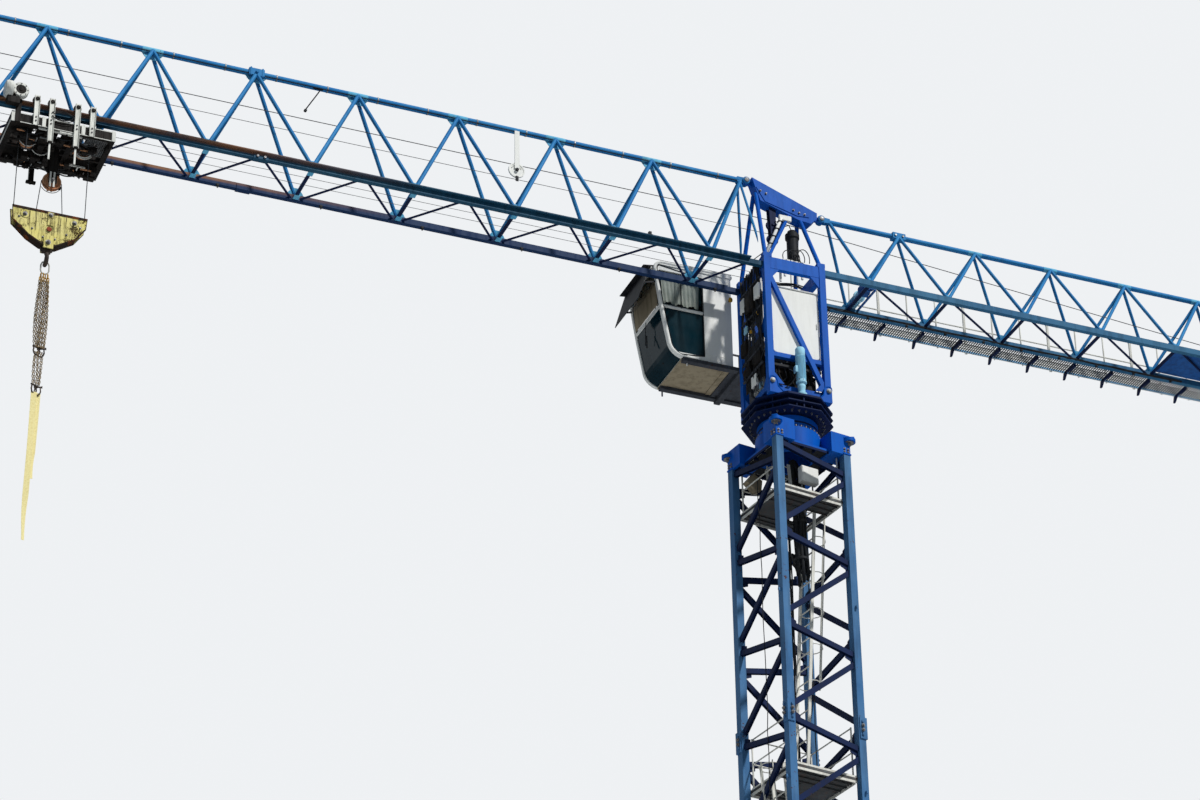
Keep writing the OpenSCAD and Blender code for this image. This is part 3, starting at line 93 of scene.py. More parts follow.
class NodePen:
    """Draws a node tree: adds nodes, sets their values and joins their sockets."""

    def __init__(self, tree: bpy.types.NodeTree) -> None:
        """Starts on a node tree."""
        self.tree = tree

    def add(self, kind: str, **values: object) -> bpy.types.Node:
        """Adds a node.

        Args:
            kind: The node's type name.
            values: Attributes of the node, such as its operation.

        Returns:
            The node.
        """
        node = self.tree.nodes.new(kind)
        for name, value in values.items():
            setattr(node, name, value)
        return node

    def join(self, source: bpy.types.NodeSocket, target: bpy.types.NodeSocket) -> None:
        """Joins an output socket to an input socket.

        Args:
            source: The output.
            target: The input.
        """
        self.tree.links.new(source, target)

    def math(self, operation: str, first: object, second: object = 0.0) -> bpy.types.NodeSocket:
        """Adds a Math node.

        Args:
            operation: The operation's name.
            first: A socket or a number.
            second: A socket or a number.

        Returns:
            The result's socket.
        """
        node = self.add("ShaderNodeMath", operation=operation)
        for index, value in enumerate((first, second)):
            self.feed(node.inputs[index], value)
        return node.outputs[0]

    def feed(self, socket: bpy.types.NodeSocket, value: object) -> None:
        """Gives an input a number, a colour or another socket.

        Args:
            socket: The input.
            value: A number, a colour or another socket.
        """
        if isinstance(value, bpy.types.NodeSocket):
            self.join(value, socket)
        else:
            socket.default_value = (*value, 1.0) if isinstance(value, tuple) and len(value) == 3 \
                and socket.type == "RGBA" else value

    def noise(self, vector: bpy.types.NodeSocket, scale: object, detail: float = 3.0, rough: float = 0.55,
              stretch: Point = (1, 1, 1)) -> bpy.types.NodeSocket:
        """Adds a noise pattern.

        Args:
            vector: The coordinates.
            scale: A number or a socket.
            detail: Octaves.
            rough: Share of the finer octaves.
            stretch: Factor on each axis, less than 1 for a pattern drawn out along it.

        Returns:
            The pattern's value.
        """
        mapping = self.add("ShaderNodeMapping")
        mapping.inputs["Scale"].default_value = stretch
        self.join(vector, mapping.inputs["Vector"])
        node = self.add("ShaderNodeTexNoise")
        self.join(mapping.outputs[0], node.inputs["Vector"])
        self.feed(node.inputs["Scale"], scale)
        node.inputs["Detail"].default_value = detail
        node.inputs["Roughness"].default_value = rough
        return node.outputs["Fac"]

    def ramp(self, value: bpy.types.NodeSocket, low: float, high: float, out_low: float = 0.0,
             out_high: float = 1.0) -> bpy.types.NodeSocket:
        """Maps a range of values onto another, clamped.

        Args:
            value: The value to map.
            low: Where its range starts.
            high: Where its range ends.
            out_low: Result at the start.
            out_high: Result at the end.

        Returns:
            The result's socket.
        """
        node = self.add("ShaderNodeMapRange")
        node.inputs["From Min"].default_value = low
        node.inputs["From Max"].default_value = high
        node.inputs["To Min"].default_value = out_low
        node.inputs["To Max"].default_value = out_high
        self.join(value, node.inputs["Value"])
        return node.outputs["Result"]

    def mix(self, share: object, first: object, second: object) -> bpy.types.NodeSocket:
        """Mixes two colours by a share.

        Args:
            share: Share of the second colour, a number or a socket.
            first: A colour or a socket.
            second: A colour or a socket.

        Returns:
            The mixed colour's socket.
        """
        node = self.add("ShaderNodeMix", data_type="RGBA")
        self.feed(node.inputs["Factor"], share)
        self.feed(node.inputs[6], first)
        self.feed(node.inputs[7], second)
        return node.outputs[2]


class EffectGroup:
    """A shader node group with named inputs and outputs that several finishes share."""

    def __init__(self, name: str, inputs: dict[str, tuple[str, object]], outputs: dict[str, str]) -> None:
        """Makes the group's sockets.

        Args:
            name: Name of the node group.
            inputs: Socket type and default value by name.
            outputs: Socket type by name.
        """
        self.tree = bpy.data.node_groups.new(name, "ShaderNodeTree")
        for key, (kind, default) in inputs.items():
            socket = self.tree.interface.new_socket(key, in_out="INPUT", socket_type=kind)
            socket.default_value = default
        for key, kind in outputs.items():
            self.tree.interface.new_socket(key, in_out="OUTPUT", socket_type=kind)
        self.pen = NodePen(self.tree)
        self.source = self.pen.add("NodeGroupInput")
        self.target = self.pen.add("NodeGroupOutput")

    def given(self, name: str) -> bpy.types.NodeSocket:
        """Returns one of the group's inputs."""
        return self.source.outputs[name]

    def give(self, name: str, value: bpy.types.NodeSocket) -> None:
        """Feeds one of the group's outputs.

        Args:
            name: Name of the output.
            value: The socket that feeds it.
        """
        self.pen.join(value, self.target.inputs[name])


FLOAT, COLOUR, VECTOR = "NodeSocketFloat", "NodeSocketColor", "NodeSocketVector"
GREY = (0.5, 0.5, 0.5, 1.0)


def weather_group() -> bpy.types.NodeTree:
    """Paint that fades in patches, runs with dirt, gathers dust on top and chips down to rust.

    Returns:
        The node group.
    """
    group = EffectGroup("weathered_coat",
                        {"Vector": (VECTOR, (0, 0, 0)), "Paint": (COLOUR, GREY), "Faded": (COLOUR, GREY),
                         "Dirt": (COLOUR, GREY), "Rust": (COLOUR, GREY), "Dirt Amount": (FLOAT, 0.3),
                         "Chip Amount": (FLOAT, 0.2), "Scale": (FLOAT, 1.0)},
                        {"Colour": COLOUR, "Roughness": FLOAT, "Height": FLOAT})
    pen, vector, scale = group.pen, group.given("Vector"), group.given("Scale")
    patches = pen.ramp(pen.noise(vector, pen.math("MULTIPLY", scale, 0.9), 4), 0.35, 0.68)
    mottle = pen.noise(vector, pen.math("MULTIPLY", scale, 14.0), 3)
    runs = pen.noise(vector, pen.math("MULTIPLY", scale, 9.0), 4, 0.6, (1, 1, 0.12))
    upward = pen.add("ShaderNodeNewGeometry")
    split = pen.add("ShaderNodeSeparateXYZ")
    pen.join(upward.outputs["Normal"], split.inputs[0])
    dust = pen.math("MULTIPLY", pen.ramp(split.outputs["Z"], 0.3, 1.0), pen.ramp(mottle, 0.3, 0.7, 0.35, 0.8))
    paint = pen.mix(pen.math("MULTIPLY", patches, 0.55), group.given("Paint"), group.given("Faded"))
    paint = pen.mix(pen.ramp(mottle, 0.25, 0.75, 0.0, 0.16), paint, group.given("Faded"))
    dirt = pen.math("MULTIPLY", pen.ramp(runs, 0.46, 0.72), group.given("Dirt Amount"))
    dirt = pen.math("MAXIMUM", dirt, pen.math("MULTIPLY", dust, group.given("Dirt Amount")))
    soiled = pen.mix(dirt, paint, group.given("Dirt"))
    specks = pen.noise(vector, pen.math("MULTIPLY", scale, 22.0), 5, 0.62)
    regions = pen.ramp(pen.noise(vector, pen.math("MULTIPLY", scale, 1.7), 2), 0.35, 0.7)
    edge = pen.math("SUBTRACT", 0.78, pen.math("MULTIPLY", group.given("Chip Amount"), regions))
    chips = pen.add("ShaderNodeMapRange")
    pen.join(specks, chips.inputs["Value"])
    pen.join(edge, chips.inputs["From Min"])
    pen.join(pen.math("ADD", edge, 0.025), chips.inputs["From Max"])
    chipped = chips.outputs["Result"]
    group.give("Colour", pen.mix(chipped, soiled, group.given("Rust")))
    rough = pen.math("ADD", pen.math("MULTIPLY", dirt, 0.35), pen.math("MULTIPLY", chipped, 0.4))
    group.give("Roughness", pen.math("ADD", rough, pen.ramp(mottle, 0.2, 0.8, 0.0, 0.1)))
    height = pen.math("SUBTRACT", pen.math("MULTIPLY", mottle, 0.2), pen.math("MULTIPLY", chipped, 0.5))
    group.give("Height", height)
    return group.tree


def scuff_group() -> bpy.types.NodeTree:
    """Bare steel that is rubbed bright in places and dark with grease or rust in others.

    Returns:
        The node group.
    """
    group = EffectGroup("scuffed_steel",
                        {"Vector": (VECTOR, (0, 0, 0)), "Steel": (COLOUR, GREY), "Grime": (COLOUR, GREY),
                         "Rust": (COLOUR, GREY), "Grime Amount": (FLOAT, 0.5), "Rust Amount": (FLOAT, 0.3),
                         "Scale": (FLOAT, 1.0)}, {"Colour": COLOUR, "Metal": FLOAT, "Roughness": FLOAT,
                                                  "Height": FLOAT})
    pen, vector, scale = group.pen, group.given("Vector"), group.given("Scale")
    broad = pen.ramp(pen.noise(vector, pen.math("MULTIPLY", scale, 2.2), 4), 0.34, 0.66)
    scratch = pen.noise(vector, pen.math("MULTIPLY", scale, 40.0), 2, 0.5, (0.06, 1, 1))
    rust_spots = pen.ramp(pen.noise(vector, pen.math("MULTIPLY", scale, 11.0), 5, 0.65), 0.5, 0.62)
    grime = pen.math("MULTIPLY", broad, group.given("Grime Amount"))
    rust = pen.math("MULTIPLY", rust_spots, group.given("Rust Amount"))
    bright = pen.mix(pen.ramp(scratch, 0.3, 0.7, 0.0, 0.35), group.given("Steel"), group.given("Grime"))
    colour = pen.mix(grime, bright, group.given("Grime"))
    group.give("Colour", pen.mix(rust, colour, group.given("Rust")))
    cover = pen.math("MAXIMUM", grime, rust)
    group.give("Metal", pen.ramp(cover, 0.0, 0.8, 0.85, 0.1))
    group.give("Roughness", pen.ramp(cover, 0.0, 1.0, 0.0, 0.35))
    group.give("Height",
               pen.math("ADD", pen.math("MULTIPLY", scratch, 0.2), pen.math("MULTIPLY", rust_spots, 0.5)))
    return group.tree


def weave_group() -> bpy.types.NodeTree:
    """A woven band: fine crossing threads along U and V, with darker edges and soiled stretches.

    Returns:
        The node group.
    """
    group = EffectGroup("woven_band",
                        {"Vector": (VECTOR, (0, 0, 0)), "Thread": (COLOUR, GREY), "Soil": (COLOUR, GREY),
                         "Threads": (FLOAT, 30.0)}, {"Colour": COLOUR, "Height": FLOAT})
    pen, vector = group.pen, group.given("Vector")
    split = pen.add("ShaderNodeSeparateXYZ")
    pen.join(vector, split.inputs[0])
    turns = pen.math("MULTIPLY", group.given("Threads"), TURN)
    across = pen.math("SINE", pen.math("MULTIPLY", split.outputs["X"], turns))
    along = pen.math("SINE", pen.math("MULTIPLY", split.outputs["Y"], turns))
    weave = pen.math("MULTIPLY", across, along)
    soil = pen.ramp(pen.noise(vector, 3.0, 4), 0.4, 0.75, 0.0, 0.75)
    shade = pen.mix(pen.ramp(weave, -1.0, 1.0, 0.35, 0.0), group.given("Thread"), group.given("Soil"))
    group.give("Colour", pen.mix(soil, shade, group.given("Soil")))
    group.give("Height", weave)
    return group.tree


class Effects:
    """The shared node groups, each made once."""

    made: dict[str, bpy.types.NodeTree] = {}

    @classmethod
    def get(cls, maker: Callable[[], bpy.types.NodeTree]) -> bpy.types.NodeTree:
        """Gives a maker's node group, making it the first time.

        Args:
            maker: The function that makes it.

        Returns:
            The node group.
        """
        if maker.__name__ not in cls.made:
            cls.made[maker.__name__] = maker()
        return cls.made[maker.__name__]


@dataclass(frozen=True)
class Finish:
    """What every finish has: a name, the record's slot and its shader.

    Attributes:
        name: Name of the material.
        slot: The record's material slot.
    """

    name: str
    slot: str

    def material(self) -> bpy.types.Material:
        """Gives the material, making it the first time.

        Returns:
            The material.
        """
        found = bpy.data.materials.get(f"{self.name}_finish")
        if found:
            return found
        material = bpy.data.materials.new(f"{self.name}_finish")
        material.use_nodes = True
        material.node_tree.nodes.clear()
        pen = NodePen(material.node_tree)
        shader = pen.add("ShaderNodeBsdfPrincipled")
        out = pen.add("ShaderNodeOutputMaterial")
        pen.join(shader.outputs[0], out.inputs["Surface"])
        self.draw(pen, shader)
        return material

    def draw(self, pen: NodePen, shader: bpy.types.Node) -> None:
        """Draws the finish's nodes. Each kind of finish has its own.

        Args:
            pen: The material's pen.
            shader: Its shader.
        """
        raise NotImplementedError

    @staticmethod
    def place(pen: NodePen) -> bpy.types.NodeSocket:
        """Returns the object coordinates."""
        return pen.add("ShaderNodeTexCoord").outputs["Object"]

    @staticmethod
    def effect(pen: NodePen, tree: bpy.types.NodeTree, values: dict[str, object]) -> bpy.types.Node:
        """Places an effect group.

        Args:
            pen: The material's pen.
            tree: The node group.
            values: Its inputs by name.

        Returns:
            The group node.
        """
        node = pen.add("ShaderNodeGroup")
        node.node_tree = tree
        for key, value in values.items():
            pen.feed(node.inputs[key], value)
        return node

    @staticmethod
    def relief(pen: NodePen, shader: bpy.types.Node, height: bpy.types.NodeSocket, depth: float,
               strength: float = 0.5) -> None:
        """Feeds a height into the shader's normal.

        Args:
            pen: The material's pen.
            shader: Its shader.
            height: The height's socket.
            depth: Depth of the relief in metres.
            strength: Share of the relief that shows.
        """
        bump = pen.add("ShaderNodeBump")
        bump.inputs["Strength"].default_value = strength
        bump.inputs["Distance"].default_value = depth
        pen.join(height, bump.inputs["Height"])
        pen.join(bump.outputs[0], shader.inputs["Normal"])


@dataclass(frozen=True)
class Paint(Finish):
    """Paint on steel with fading, dirt runs, dust and chips.

    Attributes:
        colour: The fresh paint.
        faded: The paint where it has faded.
        dirt: Colour of the dirt.
        rust: Colour under the chips.
        rough: Roughness of the clean paint.
        dirt_amount: Share of the dirt that shows.
        chip_amount: How far the chips spread.
        scale: Fineness of the patterns.
        specular: Level of the reflections.
        depth: Depth of the relief in metres.
    """

    colour: tuple[float, float, float]
    faded: tuple[float, float, float]
    dirt: tuple[float, float, float] = srgb(46, 44, 42)
    rust: tuple[float, float, float] = srgb(88, 52, 32)
    rough: float = 0.48
    dirt_amount: float = 0.3
    chip_amount: float = 0.12
    scale: float = 1.0
    specular: float = 0.07
    depth: float = 0.002

    def draw(self, pen: NodePen, shader: bpy.types.Node) -> None:
        """Draws the weathered coat.

        Args:
            pen: The material's pen.
            shader: Its shader.
        """
        node = self.effect(pen, Effects.get(weather_group),
                           {"Vector": self.place(pen), "Paint": self.colour, "Faded": self.faded,
                            "Dirt": self.dirt, "Rust": self.rust, "Dirt Amount": self.dirt_amount,
                            "Chip Amount": self.chip_amount, "Scale": self.scale})
        pen.join(node.outputs["Colour"], shader.inputs["Base Color"])
        pen.join(pen.math("ADD", node.outputs["Roughness"], self.rough), shader.inputs["Roughness"])
        shader.inputs["Specular IOR Level"].default_value = self.specular
        self.relief(pen, shader, node.outputs["Height"], self.depth)


@dataclass(frozen=True)
class Rail(Paint):
    """Painted rail that is rubbed brown with grease and rust where the trolley works, its far chord darkened by
    painted shade.

    Attributes:
        worn: Colour of the worn stretch.
        far_chord_shade: Darker colour painted on the far chord as shade.
        worn_from: Place along X where the wear starts.
        worn_full: Place along X from which it is full.
        middle_z: Height above which it shows.
    """

    worn: tuple[float, float, float] = srgb(140, 98, 70)
    # Painted shade: the dark navy that the far chord is mixed towards.
    far_chord_shade: tuple[float, float, float] = srgb(20, 42, 84)
    worn_from: float = -7.5
    worn_full: float = -11.5
    middle_z: float = 27.12

    def draw(self, pen: NodePen, shader: bpy.types.Node) -> None:
        """Draws paint with painted shade that darkens the far chord, and brown wear over its upper half along a
        stretch.

        Args:
            pen: The material's pen.
            shader: Its shader.
        """
        super().draw(pen, shader)
        paint = shader.inputs["Base Color"].links[0].from_socket
        split = pen.add("ShaderNodeSeparateXYZ")
        pen.join(self.place(pen), split.inputs[0])
        patches = pen.ramp(pen.noise(self.place(pen), 1.6, 4, 0.6, (0.5, 1, 1)), 0.3, 0.6, 0.35, 1.0)
        reach = pen.ramp(split.outputs["X"], self.worn_from, self.worn_full)
        upper = pen.ramp(split.outputs["Z"], self.middle_z - 0.02, self.middle_z + 0.02)
        share = pen.math("MULTIPLY", pen.math("MULTIPLY", reach, upper), patches)
        # Painted shade: the far chord, at positive Y, is mixed towards a dark navy.
        paint = pen.mix(pen.ramp(split.outputs["Y"], -0.1, 0.1, 0.0, 0.85), paint, self.far_chord_shade)
        pen.join(pen.mix(share, paint, self.worn), shader.inputs["Base Color"])


@dataclass(frozen=True)
class Steel(Finish):
    """Bare, greased or rusty steel.

    Attributes:
        steel: Colour of the clean steel.
        grime: Colour of the grease.
        rust: Colour of the rust.
        rough: Roughness of the clean steel.
        grime_amount: Share of the grease that shows.
        rust_amount: Share of the rust that shows.
        scale: Fineness of the patterns.
        depth: Depth of the relief in metres.
    """

    steel: tuple[float, float, float]
    grime: tuple[float, float, float] = srgb(34, 28, 24)
    rust: tuple[float, float, float] = srgb(110, 62, 36)
    rough: float = 0.38
    grime_amount: float = 0.6
    rust_amount: float = 0.3
    scale: float = 1.0
    depth: float = 0.0015

    def draw(self, pen: NodePen, shader: bpy.types.Node) -> None:
        """Draws the scuffed steel.

        Args:
            pen: The material's pen.
            shader: Its shader.
        """
        node = self.effect(pen, Effects.get(scuff_group),
                           {"Vector": self.place(pen), "Steel": self.steel, "Grime": self.grime,
                            "Rust": self.rust, "Grime Amount": self.grime_amount,
                            "Rust Amount": self.rust_amount, "Scale": self.scale})
        pen.join(node.outputs["Colour"], shader.inputs["Base Color"])
        pen.join(node.outputs["Metal"], shader.inputs["Metallic"])
        pen.join(pen.math("ADD", node.outputs["Roughness"], self.rough), shader.inputs["Roughness"])
        self.relief(pen, shader, node.outputs["Height"], self.depth)


@dataclass(frozen=True)
class Glass(Finish):
    """Tinted glass with a film of dust.

    Attributes:
        tint: Colour of the glass.
        dust: Colour of the film.
        clear: Share that the upper panes let through.
        lower_clear: Share that the lower panes let through.
        rail_z: Height of the rail between them.
        ior: Index of refraction.
        specular: Level of the reflections.
    """

    tint: tuple[float, float, float]
    dust: tuple[float, float, float] = srgb(170, 186, 186)
    clear: float = 0.8
    lower_clear: float = 0.04
    rail_z: float = 26.68
    ior: float = 1.3
    specular: float = 0.2

    def draw(self, pen: NodePen, shader: bpy.types.Node) -> None:
        """Draws glass that is see-through above the middle rail, darker below it and duller where it is dusty.

        Args:
            pen: The material's pen.
            shader: Its shader.
        """
        place = self.place(pen)
        film = pen.ramp(pen.noise(place, 2.5, 4, 0.6, (1, 1, 0.4)), 0.35, 0.75)
        pen.join(pen.mix(pen.math("MULTIPLY", film, 0.03), self.tint, self.dust), shader.inputs["Base Color"])
        pen.join(pen.ramp(film, 0.0, 1.0, 0.04, 0.18), shader.inputs["Roughness"])
        split = pen.add("ShaderNodeSeparateXYZ")
        pen.join(place, split.inputs[0])
        body = pen.ramp(split.outputs["Z"], self.rail_z - 0.02, self.rail_z + 0.02, 1.0 - self.lower_clear,
                        1.0 - self.clear)
        pen.join(pen.math("ADD", body, pen.math("MULTIPLY", film, 0.08)), shader.inputs["Alpha"])
        shader.inputs["IOR"].default_value = self.ior
        shader.inputs["Specular IOR Level"].default_value = self.specular


@dataclass(frozen=True)
class Concrete(Finish):
    """Cast concrete with pores, stains and pale patches."""

    tone: tuple[float, float, float]
    pale: tuple[float, float, float] = srgb(176, 172, 162)
    stain: tuple[float, float, float] = srgb(92, 84, 74)
    sand: tuple[float, float, float] = srgb(118, 114, 106)
    pore: tuple[float, float, float] = srgb(70, 67, 62)

    def draw(self, pen: NodePen, shader: bpy.types.Node) -> None:
        """Draws cast concrete.

        Args:
            pen: The material's pen.
            shader: Its shader.
        """
        place = self.place(pen)
        clouds = pen.ramp(pen.noise(place, 2.4, 5), 0.3, 0.7)
        grain = pen.noise(place, 60.0, 3, 0.7)
        runs = pen.ramp(pen.noise(place, 7.0, 4, 0.6, (1, 1, 0.1)), 0.5, 0.78, 0.0, 0.6)
        pores = pen.add("ShaderNodeTexVoronoi")
        pores.inputs["Scale"].default_value = 34.0
        pen.join(place, pores.inputs["Vector"])
        holes = pen.ramp(pores.outputs["Distance"], 0.1, 0.2, 1.0, 0.0)
        base = pen.mix(clouds, self.tone, self.pale)
        base = pen.mix(runs, base, self.stain)
        base = pen.mix(pen.ramp(grain, 0.3, 0.7, 0.0, 0.3), base, self.sand)
        pen.join(pen.mix(pen.math("MULTIPLY", holes, 0.6), base, self.pore), shader.inputs["Base Color"])
        pen.join(pen.ramp(grain, 0.2, 0.8, 0.8, 0.95), shader.inputs["Roughness"])
        height = pen.math("SUBTRACT", pen.math("MULTIPLY", grain, 0.5), holes)
        self.relief(pen, shader, height, 0.004)


@dataclass(frozen=True)
class Webbing(Finish):
    """Woven sling webbing; its pattern follows the piece's own UV map."""

    thread: tuple[float, float, float]
    soil: tuple[float, float, float] = srgb(112, 92, 46)
    threads: float = 160.0
    rough: float = 0.85
    sheen: float = 0.2

    def draw(self, pen: NodePen, shader: bpy.types.Node) -> None:
        """Draws the weave.

        Args:
            pen: The material's pen.
            shader: Its shader.
        """
        place = pen.add("ShaderNodeTexCoord").outputs["UV"]
        node = self.effect(pen, Effects.get(weave_group),
                           {"Vector": place, "Thread": self.thread, "Soil": self.soil, "Threads": self.threads})
        pen.join(node.outputs["Colour"], shader.inputs["Base Color"])
        shader.inputs["Roughness"].default_value = self.rough
        shader.inputs["Sheen Weight"].default_value = self.sheen
        self.relief(pen, shader, node.outputs["Height"], 0.001, 0.4)


@dataclass(frozen=True)
class Strands(Finish):
    """Laid wire rope: slanting strands, dark with oil between them."""

    wire: tuple[float, float, float]
    oil: tuple[float, float, float] = srgb(22, 22, 24)
    lay: float = 16.0

    def draw(self, pen: NodePen, shader: bpy.types.Node) -> None:
        """Draws the strands as slanting bands.

        Args:
            pen: The material's pen.
            shader: Its shader.
        """
        place = self.place(pen)
        wave = pen.add("ShaderNodeTexWave", wave_type="BANDS", bands_direction="DIAGONAL")
        wave.inputs["Scale"].default_value = self.lay
        wave.inputs["Distortion"].default_value = 0.0
        pen.join(place, wave.inputs["Vector"])
        groove = pen.ramp(wave.outputs["Fac"], 0.1, 0.6)
        worn = pen.ramp(pen.noise(place, 6.0, 3), 0.4, 0.7, 0.0, 0.4)
        pen.join(pen.mix(worn, pen.mix(groove, self.oil, self.wire), self.oil), shader.inputs["Base Color"])
        shader.inputs["Metallic"].default_value = 0.7
        pen.join(pen.ramp(groove, 0.0, 1.0, 0.7, 0.4), shader.inputs["Roughness"])
        self.relief(pen, shader, groove, 0.003)


SKY_BLUE = Paint("sky_blue_paint", "sky_blue_paint", srgb(28, 116, 182), srgb(72, 154, 206), chip_amount=0.1,
                 dirt_amount=0.24, scale=0.9)
NODE_BLUE = Paint("pale_node_paint", "sky_blue_paint", srgb(84, 172, 214), srgb(130, 202, 230),
                  chip_amount=0.16, dirt_amount=0.3)
DEEP_BLUE = Paint("deep_blue_paint", "deep_blue_paint", srgb(2, 84, 182), srgb(10, 102, 200), chip_amount=0.08,
                  dirt_amount=0.24, rough=0.4)
NAVY = Paint("navy_paint", "dark_blue_paint", srgb(14, 28, 64), srgb(24, 44, 88), chip_amount=0.14,
             dirt_amount=0.4)
BRACE_NAVY = Paint("brace_paint", "brace_paint", srgb(16, 30, 64), srgb(32, 50, 92), chip_amount=0.14,
                   dirt_amount=0.35)
LEG_BLUE = Paint("mast_leg_paint", "mast_paint", srgb(58, 106, 154), srgb(100, 142, 180), chip_amount=0.2,
                 dirt_amount=0.4, scale=0.8)
BASE_BLUE = Paint("base_paint", "base_paint", srgb(52, 78, 112), srgb(84, 104, 128), dirt=srgb(104, 92, 74),
                  chip_amount=0.22, dirt_amount=0.6)
MOTOR_BLUE = Paint("motor_paint", "motor_paint", srgb(158, 216, 240), srgb(186, 228, 240), dirt_amount=0.25,
                   scale=2.5)
WHITE = Paint("white_paint", "white_paint", srgb(250, 249, 243), srgb(238, 237, 230), dirt=srgb(136, 128, 112),
              dirt_amount=0.1, chip_amount=0.04)
LADDER_WHITE = Paint("ladder_paint", "ladder_paint", srgb(240, 238, 228), srgb(214, 210, 198),
                     dirt=srgb(116, 106, 92), dirt_amount=0.35, chip_amount=0.12, scale=2.0)
BEIGE = Paint("underside_paint", "cab_floor_coat", srgb(170, 156, 130), srgb(148, 134, 110),
              dirt=srgb(84, 74, 60), dirt_amount=0.5, chip_amount=0.08, rough=0.6)
BLACK = Paint("black_shade", "visor_black", srgb(30, 32, 36), srgb(56, 58, 62), dirt=srgb(96, 92, 86),
              dirt_amount=0.3, chip_amount=0.0, rough=0.45)
PLATFORM = Paint("platform_paint", "platform_steel", srgb(58, 62, 70), srgb(92, 94, 98), dirt_amount=0.5,
                 chip_amount=0.18, rough=0.55)
WALKWAY = Paint("toe_board_paint", "grating", srgb(112, 170, 214), srgb(150, 190, 216), dirt_amount=0.3)
WINCH_BLUE = Paint("winch_paint", "winch_paint", srgb(34, 86, 156), srgb(58, 108, 170), dirt_amount=0.45)
TROLLEY_WHITE = Paint("trolley_bracket_paint", "trolley_paint", srgb(244, 244, 236), srgb(214, 212, 202),
                      dirt=srgb(52, 46, 38), dirt_amount=0.4, chip_amount=0.16, scale=3.0)
# Dark grime of the trolley's mechanisms; the column also uses it for sheets of painted shade.
DARK_GRIME_AND_SHADE = Paint("trolley_grime", "trolley_paint", srgb(28, 26, 26), srgb(52, 47, 42),
                      dirt=srgb(16, 13, 11), dirt_amount=0.8, chip_amount=0.2, rough=0.5, scale=3.0)
SHEAVE_ORANGE = Paint("sheave_paint", "sheave_steel", srgb(204, 132, 88), srgb(212, 176, 142),
                      dirt=srgb(52, 38, 28), dirt_amount=0.6, chip_amount=0.2, scale=4.0)
HOOK_YELLOW = Paint("hook_block_paint", "hook_yellow", srgb(238, 224, 128), srgb(228, 216, 158),
                    dirt=srgb(40, 32, 20), rust=srgb(58, 38, 24), dirt_amount=0.85, chip_amount=0.36, scale=3.2,
                    rough=0.5)
BLOCK_EDGE = Paint("hook_block_edge", "hook_yellow", srgb(34, 30, 26), srgb(66, 48, 34), dirt=srgb(20, 16, 13),
                   dirt_amount=0.6, chip_amount=0.35, rust=srgb(120, 66, 34), scale=4.0, rough=0.55)
LINK_WHITE = Paint("master_link_paint", "chain_steel", srgb(214, 212, 204), srgb(170, 166, 156),
                   dirt_amount=0.4, chip_amount=0.3, scale=8.0)
CONNECTOR_GOLD = Paint("connector_paint", "chain_steel", srgb(206, 154, 44), srgb(186, 148, 74),
                       dirt_amount=0.5, chip_amount=0.25, scale=8.0)
# Rail paint of the jib's bottom chords; its far chord gets painted shade.
RAIL_STEEL = Rail("greased_rail", "greased_rail", srgb(28, 74, 102), srgb(52, 98, 120), dirt=srgb(20, 26, 30),
                  rust=srgb(76, 48, 32), dirt_amount=0.45, chip_amount=0.15, scale=1.2, rough=0.4)
CHORD_TEAL = Paint("counter_chord_paint", "sky_blue_paint", srgb(44, 98, 138), srgb(76, 130, 160),
                   dirt_amount=0.35, chip_amount=0.12)
# Galvanised steel darkened as painted shade for the landings and their tread bars.
SHADE_DARK_ZINC = Steel("shade_darkened_landing", "landing_steel", srgb(92, 96, 98), grime=srgb(50, 50, 48), rough=0.6,
                  grime_amount=0.7, rust_amount=0.25)
SIGNAL_RED = Paint("signal_red", "hook_yellow", srgb(146, 60, 40), srgb(168, 92, 66), dirt_amount=0.5,
                   scale=8.0)
CLOTH = Webbing("pale_cloth", "cab_floor_coat", srgb(244, 250, 238), soil=srgb(190, 204, 190))
LINING = Paint("cab_lining", "cab_floor_coat", srgb(34, 38, 42), srgb(52, 56, 60), dirt_amount=0.2,
               chip_amount=0.0, rough=0.7)
RUN_STEEL = Steel("worn_rail_top", "greased_rail", srgb(96, 78, 66), grime=srgb(52, 36, 28), grime_amount=0.9,
                  rust_amount=0.5, rough=0.55)
ZINC = Steel("galvanised_steel", "landing_steel", srgb(150, 154, 156), grime=srgb(96, 96, 92), rough=0.5,
             grime_amount=0.5, rust_amount=0.12)
BOLT_STEEL = Steel("bolt_steel", "landing_steel", srgb(150, 152, 154), grime=srgb(70, 68, 66), rough=0.42,
                   grime_amount=0.6, rust_amount=0.4, scale=6.0)
ROLLER_STEEL = Steel("roller_steel", "roller_steel", srgb(132, 130, 128), scale=6.0)
HOOK_STEEL = Steel("hook_steel", "hook_steel", srgb(86, 78, 70), rough=0.5, grime_amount=0.9, scale=5.0)
CHAIN_STEEL = Steel("chain_steel", "chain_steel", srgb(176, 156, 114), grime=srgb(66, 48, 30),
                    rust=srgb(140, 104, 62), rough=0.45, grime_amount=0.9, rust_amount=0.8, scale=9.0)
WIRE = Strands("wire_rope", "wire_rope", srgb(120, 122, 124))
CAB_GLASS = Glass("cab_glass", "cab_glass", srgb(4, 36, 46))
CONCRETE = Concrete("cast_concrete", "concrete", srgb(146, 142, 132))
SLING_YELLOW = Webbing("sling_webbing", "webbing", srgb(255, 243, 178), soil=srgb(226, 204, 128))


@dataclass(frozen=True)
class Sun:
    """A distant lamp.

    Attributes:
        name: Name of the lamp.
        towards: Where its light goes.
        strength: Its strength.
        spread: Its apparent size in degrees.
    """

    name: str
    towards: Point
    strength: float
    spread: float


